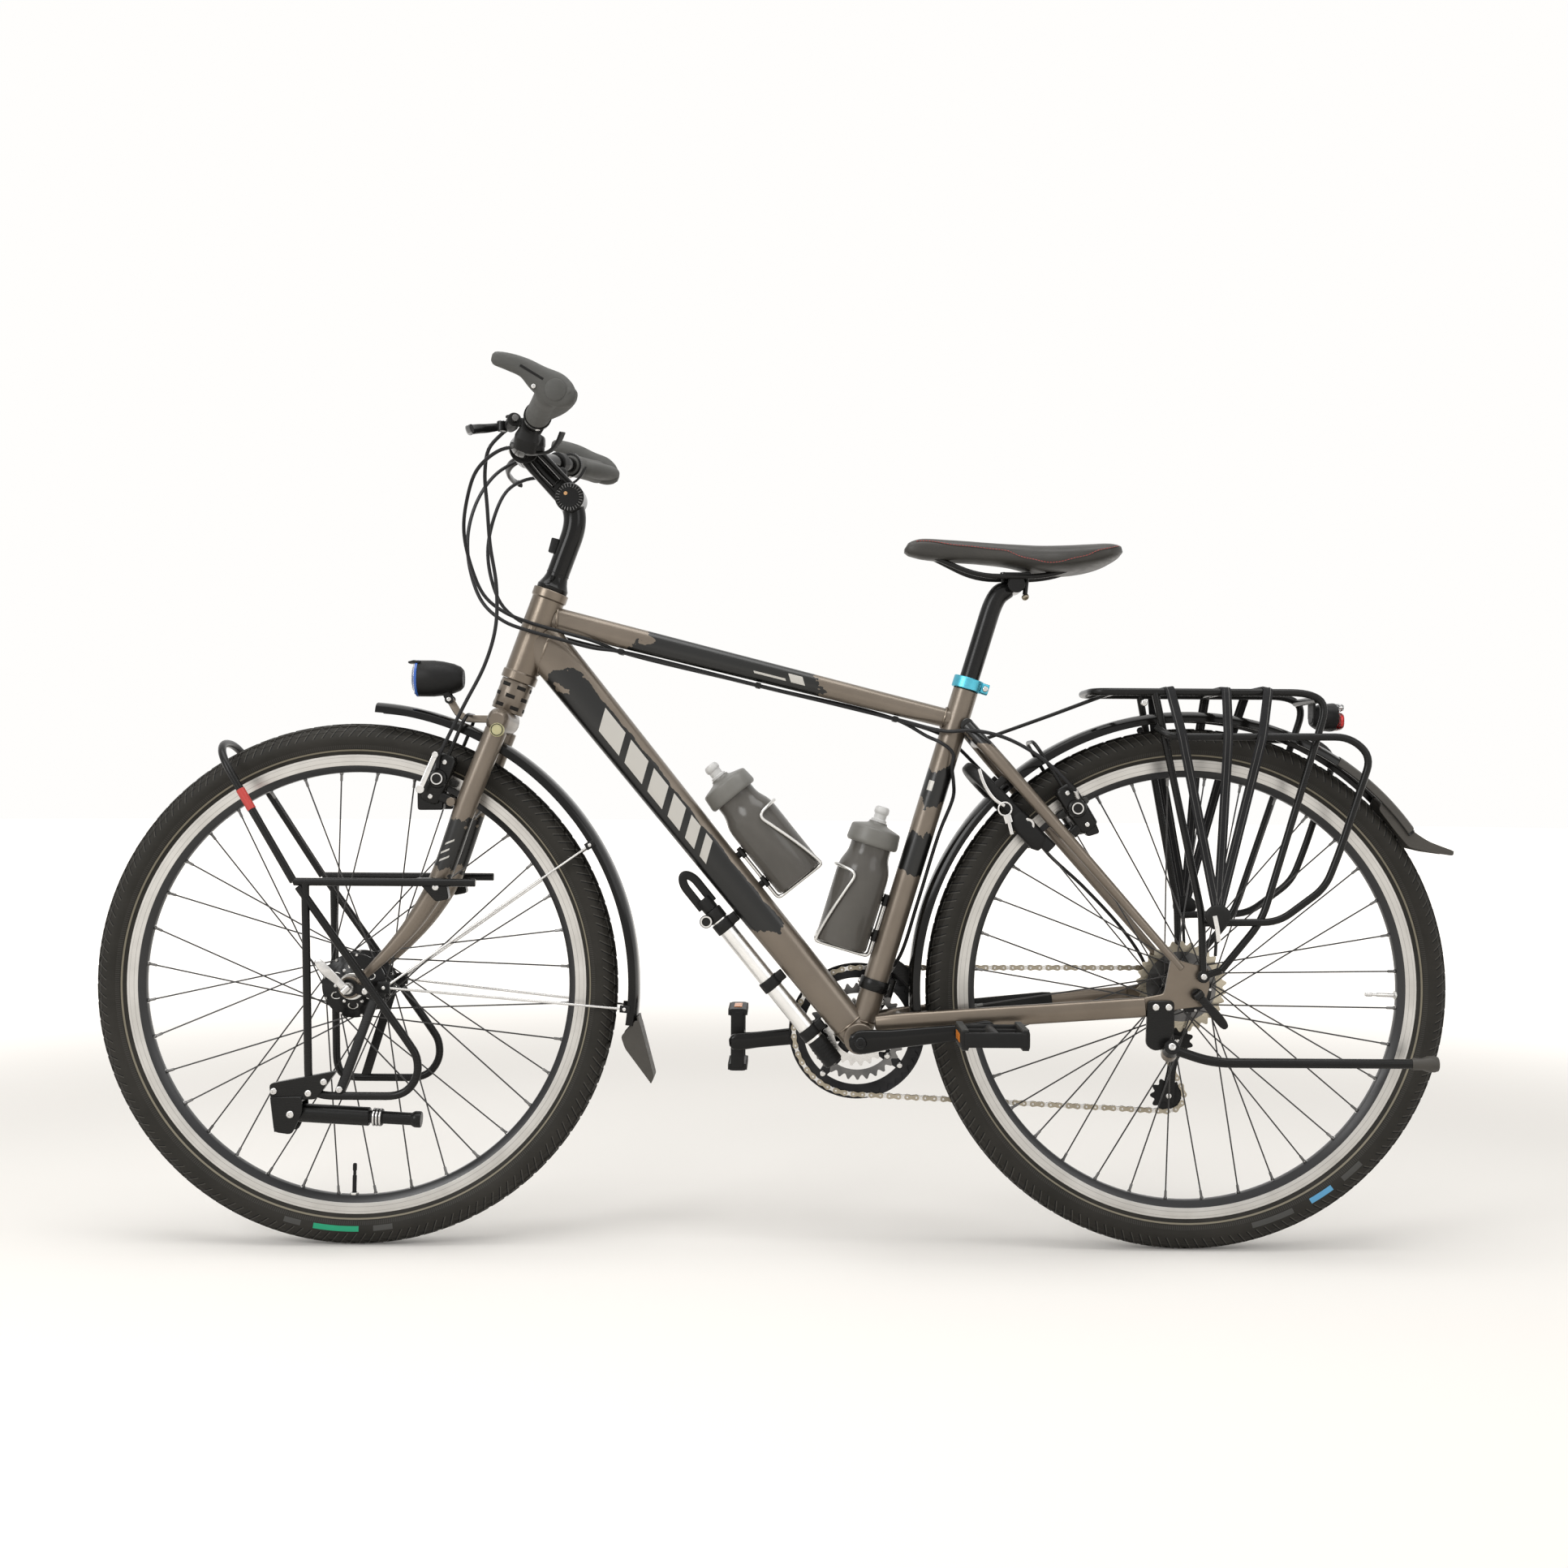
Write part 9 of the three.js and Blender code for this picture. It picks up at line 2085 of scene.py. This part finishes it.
def chain_lane(x):
    reach = OUTER_RING
    share = (x - BRACKET.x - reach) / (GUIDE.x - BRACKET.x - 2 * reach)
    return RING_PLACE + (COG_PLACE - RING_PLACE) * min(max(share, 0), 1)


run = chain_run()
total = sum((b - a).length for a, b in zip(run, run[1:]))
link_count = 2 * round(total / PITCH / 2)
pins = even(run, total / link_count)[:link_count]
pins = [Vector((p.x, chain_lane(p.x), p.z)) for p in pins]


def link_plate(y, half):
    outline = []
    for end in (-1, 1):
        for i in range(7):
            angle = (-math.pi / 2 + math.pi * i / 6) if end > 0 else (math.pi / 2 + math.pi * i / 6)
            outline.append(Vector((end * PITCH / 2 + math.cos(angle) * half, 0,
                                   math.sin(angle) * half)))
        outline.append(Vector((0, 0, end * half * 0.62)))
    return plate(outline, y - 0.45, y + 0.45, 0.15)


outer_link = merged(link_plate(-2.7, 4.1), link_plate(2.7, 4.1))
inner_link = merged(link_plate(-1.7, 4.1), link_plate(1.7, 4.1))
outer_places = []
inner_places = []
pin_places = []
for i in range(link_count):
    first = pins[i]
    second = pins[(i + 1) % link_count]
    way = second - first
    turn = Euler((0, -math.atan2(way.z, way.x), 0))
    (outer_places if i % 2 else inner_places).append(((first + second) / 2, turn, 1))
    pin_places.append((first, Euler(), 1))
spread("chain_outer_links", outer_link, outer_places, brass, "frame", ["chain"])
spread("chain_inner_links", inner_link, inner_places, steel, "frame")
pin = merged(turned(((0, -3.4), (1.5, -3.4), (1.8, -3), (1.8, 3), (1.5, 3.4), (0, 3.4)), Vector(),
                    RIGHT, 8), turned(((1.8, -1.25), (3.6, -1.25), (3.6, 1.25), (1.8, 1.25),
                                       (1.8, -1.25)), Vector(), RIGHT, 10))
spread("chain_pins", pin, pin_places, steel, "frame")

# Front derailleur: a clamp on the seat tube, its body and a cage over the rings.
mech_at = on_seat(74)
fd = [turned(((17.5, -8), (20.6, -8), (21.2, -7.2), (21.2, 7.2), (20.6, 8), (17.5, 8), (17.5, -8)),
             mech_at, SEAT_UP, 40), block(on_seat(62, 20, 20), on_seat(88, 20, 20), 12, 9.6, 20,
                                          SEAT_BEHIND)]
for y in (RING_PLACE + 5.2, RING_PLACE - 5.2 - RING_STEP):
    arc = []
    for i in range(13):
        angle = math.radians(40 + 40 * i / 12)
        arc.append(BRACKET + Vector((math.cos(angle) * (OUTER_RING + 16), y,
                                     math.sin(angle) * (OUTER_RING + 16))))
    fd.append(swept(arc, [(0.8, 10 - 0.2 * abs(i - 6)) for i in range(13)], 16, first_up=(0.6, 0, 0.8),
                    square=5))
for angle in (math.radians(41), math.radians(79)):
    at = BRACKET + ray(angle) * (OUTER_RING + 22)
    fd.append(block(at + RIGHT * (RING_PLACE - 11), at + RIGHT * (RING_PLACE + RING_STEP), 3.4, 1, 12))
fd.append(straight(on_seat(80, 20, 24),
                   BRACKET + Vector((math.cos(1.15), 0,
                                     math.sin(1.15))) * (OUTER_RING + 18) + RIGHT * 43, 4.5, 16))
piece("front_mech", fd, "frame", black_coat, ["front_derailleur"])
screws("front_mech_screws", [(on_seat(74, -21.4, 0), -SEAT_BEHIND), (on_seat(84, 20, 32.2), RIGHT),
                             (on_seat(68, 20, 32.2), RIGHT)], 3.6, "frame")

# Bottles: smoky squeeze bottles with a waist, a screw cap and a pale nozzle, each in a
# wire cage that two bolted clips hold.
BOTTLE_RADIUS = 36.5
CAGE_GAP = 0.8
CAGE_WIRE = 2.2
CLIP_TOP = 110.08
DOWN_UP = Vector((-0.6318, 0, 0.7751))
DOWN_ASIDE = Vector((0.7751, 0, 0.6318))
SEAT_AHEAD = Vector((-SEAT_UP.z, 0, SEAT_UP.x))
BOTTLES = (("lower", on_seat(112, -61), SEAT_UP, SEAT_AHEAD, 61, "seat_tube_bottle", "cage_seat_tube"),
           ("upper", BRACKET + DOWN_UP * 220 + DOWN_ASIDE * 74, DOWN_UP, DOWN_ASIDE, 74,
            "down_tube_bottle", "cage_down_tube"))


def smoky_finish(name, low, high, through, rough):
    made = finish_base(name, low, high, rough, grain=300, bump=0.03, gloss=0.45, rough_spread=0.02)[0]
    shader = made.node_tree.nodes["Principled BSDF"]
    shader.inputs["Transmission Weight"].default_value = through
    shader.inputs["IOR"].default_value = 1.4
    return made


smoky = smoky_finish("smoky_bottle", (0.105, 0.098, 0.088), (0.128, 0.120, 0.108), 0.12, 0.18)
cap_grey = finish_base("bottle_cap_grey", (0.150, 0.146, 0.132), (0.185, 0.180, 0.164), 0.40,
                       grain=1500, bump=0.12)[0]
nozzle_pale = smoky_finish("nozzle_pale", (0.66, 0.655, 0.64), (0.74, 0.735, 0.72), 0.15, 0.35)
body_profile = ((0, 2), (28, 2), (31, 0), (34.6, 0.6), (36.4, 4), (36.5, 98), (36.3, 105), (35.6, 111),
                (34.2, 116.5), (32.2, 121.5), (30.2, 126.5), (28.9, 131.5), (28.4, 137), (28.4, 143.9),
                (0, 143.9))
cap_profile = ((0, 144.2), (33.4, 144.2), (35, 145.6), (36, 147.4), (36.1, 150), (35.4, 158),
               (34.7, 165.6), (34, 167.4), (32.4, 168.6), (27, 170.4), (20, 172.4), (15, 174),
               (13.2, 175.4), (12.5, 178), (0, 178))
nozzle_profile = ((0, 178.2), (11, 178.2), (11, 181), (8.6, 182.2), (8.6, 189), (10, 190.6),
                  (10.4, 193), (10, 196.6), (8.2, 199.4), (4.4, 200), (4, 198.6), (0, 198))
for name, base, up, away, offset, body, cage in BOTTLES:
    piece(f"bottle_{name}_body", turned(body_profile, base, up, 64), body, smoky,
          [f"bottle_{name}"])
    piece(f"bottle_{name}_cap", turned(cap_profile, base, up, 64), body, cap_grey)
    piece(f"bottle_{name}_nozzle", turned(nozzle_profile, base, up, 40), body, nozzle_pale)
    reach = BOTTLE_RADIUS + CAGE_GAP + CAGE_WIRE

    def on_cage(along, turn, radius=reach):
        return base + up * along + away * radius * math.cos(turn) + RIGHT * radius * math.sin(turn)

    low = -3
    back = reach + 1.1
    parts = []
    for hand in SIDES:
        rows = ((0, 3, 0.15), (0.05, 9, 0.165), (0.3, 46, 0.27), (0.55, 82, 0.37), (0.68, 98, 0.405),
                (0.76, 104, 0.36), (0.87, 106, 0.2), (1, 106.4, 0))
        wire = [on_cage(along, hand * math.pi * turn)
                for share, along, turn in smooth_between(rows, 48)]
        root = [on_cage(80, math.pi, back) + RIGHT * hand * 7,
                on_cage(low, math.pi, back) + RIGHT * hand * 7, on_cage(low, hand * math.pi * 0.145)]
        parts.append(swept(rounded(root + wire[:1], 7)[:-1] + wire, CAGE_WIRE, 12, first_up=RIGHT))
    piece(f"cage_{name}_wires", parts, "frame", alloy, [cage])
    bolts = []
    blocks = []
    for share in (0.28, 0.72):
        middle = on_cage(low - CAGE_WIRE, math.pi, back).lerp(on_cage(CLIP_TOP, math.pi, back), share)
        bolts.append((middle + away * 2.4, away))
        blocks.append(block(middle + up * 8, middle - up * 8, 12, 3.4, 20, away))
        blocks.append(straight(middle, middle - away * (offset - reach - 14), 4.6, 16))
    piece(f"cage_{name}_clips", blocks, "frame", black_plastic)
    screws(f"cage_{name}_screws", bolts, 4.2, "frame")

# Pump: an alloy barrel with black ends and clips, and the handle's loop.
def on_pump(along, offset=49):
    return BRACKET + DOWN_UP * along - DOWN_ASIDE * offset


barrel = turned(((0, 34), (12, 34), (12, 246), (0, 246)), on_pump(0), DOWN_UP, 48)
barrel_metal = metal_finish("pump_alloy", (0.78, 0.77, 0.75), (0.86, 0.85, 0.83), 0.36)[0]
piece("pump_tube", barrel, "frame", barrel_metal, ["pump_barrel"])
ends_parts = [
    turned(((0, -8), (11.8, -8), (13.2, -6.6), (13.4, -4), (13.4, 24), (12.9, 30), (12.4, 34.4),
            (0, 34.4)), on_pump(0), DOWN_UP, 40),
    turned(((0, 245), (12.4, 245), (13, 246), (13, 260.6), (12, 262), (0, 262)), on_pump(0), DOWN_UP,
           40),
]
for share in (0.2, 0.52, 0.9):
    along = -8 + 270 * share
    ends_parts.append(turned(((12, -8), (13.8, -8), (14.4, -7.2), (14.4, 7.2), (13.8, 8), (12, 8),
                              (12, -8)), on_pump(along), DOWN_UP, 40))
    ends_parts.append(block(on_pump(along, 40), on_pump(along, 26), 8.4, 7.4, 18, DOWN_UP))
for i in range(5):
    ends_parts.append(turned(((13.2, 0), (13.9, 0.6), (13.9, 2), (13.2, 2.6), (13.2, 0)),
                             on_pump(2 + i * 5), DOWN_UP, 40))
piece("pump_ends", ends_parts, "frame", black_plastic)
knob = Vector((-98.2, -13.4, 446.6))
piece("pump_knob_ring", turned(((5.8, 0), (8.2, 0), (8, 1.3), (6, 1.3), (5.8, 0)), knob, LEFT, 32),
      "frame", steel)
piece("pump_knob", turned(((0, -3), (9, -3), (9, -0.4), (8.6, 0.1), (0, 0.3)), knob, LEFT, 32), "frame",
      black_plastic)
handle_at = 262.3
PUMP_ROD = 150
loop = rounded([on_pump(handle_at + 8, 40), on_pump(314, 40), on_pump(326, 49), on_pump(314, 58),
                on_pump(handle_at + 8, 58)], 10)
handle = [turned(((0, 0), (10, 0), (10.8, 0.8), (10.8, 17.6), (10, 19.2), (0, 19.2)),
                 on_pump(handle_at), DOWN_UP, 36),
          swept(loop, [(6, 4)] * len(loop), 20, first_up=RIGHT, square=3)]
piece("pump_handle_loop", handle, "pump_rod", black_plastic, ["pump_handle"])
piece("pump_slide_rod", straight(on_pump(handle_at - PUMP_ROD), on_pump(handle_at + 2), 3.6, 20),
      "pump_rod", steel)


# Cables: hoses from the levers that pass the head tube and run below the top tube, the
# front brake's own hose, their clips and metal ferrules.
HOSE_RADIUS = 2.5
HOSE_STEP = 6


def smooth_cable(points):
    """A centripetal curve through the points, read at an even step."""
    points = [Vector(point) for point in points]
    padded = [points[0] * 2 - points[1]] + points + [points[-1] * 2 - points[-2]]
    made = []
    for i in range(len(padded) - 3):
        p0, p1, p2, p3 = padded[i:i + 4]
        t0 = 0
        t1 = t0 + max((p1 - p0).length, 1e-3) ** 0.5
        t2 = t1 + max((p2 - p1).length, 1e-3) ** 0.5
        t3 = t2 + max((p3 - p2).length, 1e-3) ** 0.5
        for k in range(12):
            t = t1 + (t2 - t1) * k / 12
            a1 = p0 * ((t1 - t) / (t1 - t0)) + p1 * ((t - t0) / (t1 - t0))
            a2 = p1 * ((t2 - t) / (t2 - t1)) + p2 * ((t - t1) / (t2 - t1))
            a3 = p2 * ((t3 - t) / (t3 - t2)) + p3 * ((t - t2) / (t3 - t2))
            b1 = a1 * ((t2 - t) / (t2 - t0)) + a2 * ((t - t0) / (t2 - t0))
            b2 = a2 * ((t3 - t) / (t3 - t1)) + a3 * ((t - t1) / (t3 - t1))
            made.append(b1 * ((t2 - t) / (t2 - t1)) + b2 * ((t - t1) / (t2 - t1)))
    made.append(points[-1])
    return even(made, HOSE_STEP)


ROUTES = {
    "rear_brake_front": ((-372, 98, 1098), (-402, 84, 1078), (-424, 45, 1034), (-432, 8, 978),
                         (-424, -16, 925), (-404, -30, 880), (-374, -37, 855), (-338, -37, 842),
                         (-300, -34, 832), (-255, -23, 821)),
    "rear_brake_back": ((228, -26, 710), (262, -43, 711), (300, -52, 703), (335, -62, 686),
                        (365, -68, 664), (388, -67, 642), (401, -58, 628)),
    "front_shift_front": ((-371, -118, 1073), (-402, -98, 1052), (-420, -70, 1018), (-428, -48, 975),
                          (-418, -38, 925), (-402, -31, 890), (-376, -30, 869), (-342, -30, 855),
                          (-300, -28, 843), (-255, -14, 831)),
    "front_shift_back": ((204, -12, 703), (222, -24, 694), (238, -26, 680), (237, -24, 660),
                         (240, -15, 640), (241, 0, 620)),
    "rear_shift_front": ((-367, 118, 1073), (-390, 88, 1052), (-404, 60, 1010), (-410, 44, 960),
                         (-402, 36, 915), (-388, 33, 884), (-366, 31, 864), (-336, 30, 850),
                         (-300, 29, 838), (-255, 20, 826)),
    "rear_shift_back": ((228, 28, 706), (250, 40, 690), (280, 55, 662), (310, 61, 632), (345, 63, 592),
                        (377, 63, 545), (433, 70, 493), (490, 82, 433), (520, 87, 390), (537, 87, 345),
                        (545, 83, 312)),
    "front_brake": ((-371, -98, 1098), (-388, -92, 1080), (-394, -86, 1050), (-392, -78, 1005),
                    (-389, -70, 955), (-381, -65, 900), (-382, -64, 845), (-396, -64, 795),
                    (-424, -62, 740), (-447, -58, 695), (-459, -54.5, 670)),
}
top_down = -top_up
top_span = (TOP_SEAT - TOP_HEAD).length
CLIP_SHARES = (.2, .53, .86)


def lane_point(share, lane):
    return TOP_HEAD + top_way * top_span * share + top_down * (22 - 4 * share) + RIGHT * lane * 7.2


def lane_points(lane):
    return [lane_point(share, lane) for share in CLIP_SHARES]


def master_exit(side):
    at, line = lever_places(side)[:2]
    return at - line * 32.3 + AHEAD_OF_BAR


def pod_exit(side):
    return lever_places(side)[3] + Vector((-18.3, 0, 0))


def cylinder_top(axle, share):
    at = at_wheel(axle, share) + Vector((0, 0, 14.3))
    at.y = -53.5
    return at


hose_black = finish_base("hose_black", (0.012, 0.012, 0.013), (0.020, 0.020, 0.021), 0.38, grain=1800,
                         bump=0.12, gloss=0.22)[0]
shift_top = on_seat(80.4, 20.4, 22) + Vector((0, 0, 14.3))
cable_runs = {
    "rear_brake": [master_exit(1), *ROUTES["rear_brake_front"], *lane_points(-1),
                   *ROUTES["rear_brake_back"], cylinder_top(REAR_AXLE, REAR_CYLINDER)],
    "front_shift": [pod_exit(-1), *ROUTES["front_shift_front"], *lane_points(0),
                    *ROUTES["front_shift_back"], on_seat(300, 23.4), on_seat(200, 23.4),
                    on_seat(125, 23.4, 11), shift_top],
    "rear_shift": [pod_exit(1), *ROUTES["rear_shift_front"], *lane_points(1),
                   *ROUTES["rear_shift_back"], Vector((KNUCKLE.x - 14.8, 79.5, KNUCKLE.z))],
}
hoses = [swept(smooth_cable(points), HOSE_RADIUS, 12, first_up=RIGHT) for points in cable_runs.values()]
hose_mesh = mesh_of("frame_hoses", merged(*hoses))
hose_mesh.materials.append(hose_black)
hose_piece = bpy.data.objects.new("frame_hoses", hose_mesh)
scene.collection.objects.link(hose_piece)
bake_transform(hose_piece)
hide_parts("frame_cables")
front_run = smooth_cable([master_exit(-1), *ROUTES["front_brake"],
                          cylinder_top(FRONT_AXLE, FRONT_CYLINDER)])
piece("front_hose", swept(front_run, HOSE_RADIUS, 12, first_up=RIGHT), "steering", hose_black,
      ["front_brake_hose"])
clips = [block(at - RIGHT * 11, at + RIGHT * 11, 4.2, 3.9, 18, top_down) for at in lane_points(0)]
piece("cable_clips", clips, "frame", black_plastic)
ferrules = []
for points in cable_runs.values():
    end = Vector(points[-1])
    way = (end - Vector(points[-2])).normalized()
    ferrules.append(straight(end - way * 12, end + way * 1, 3.4, 16))
piece("cable_ferrules", ferrules, "frame", steel)
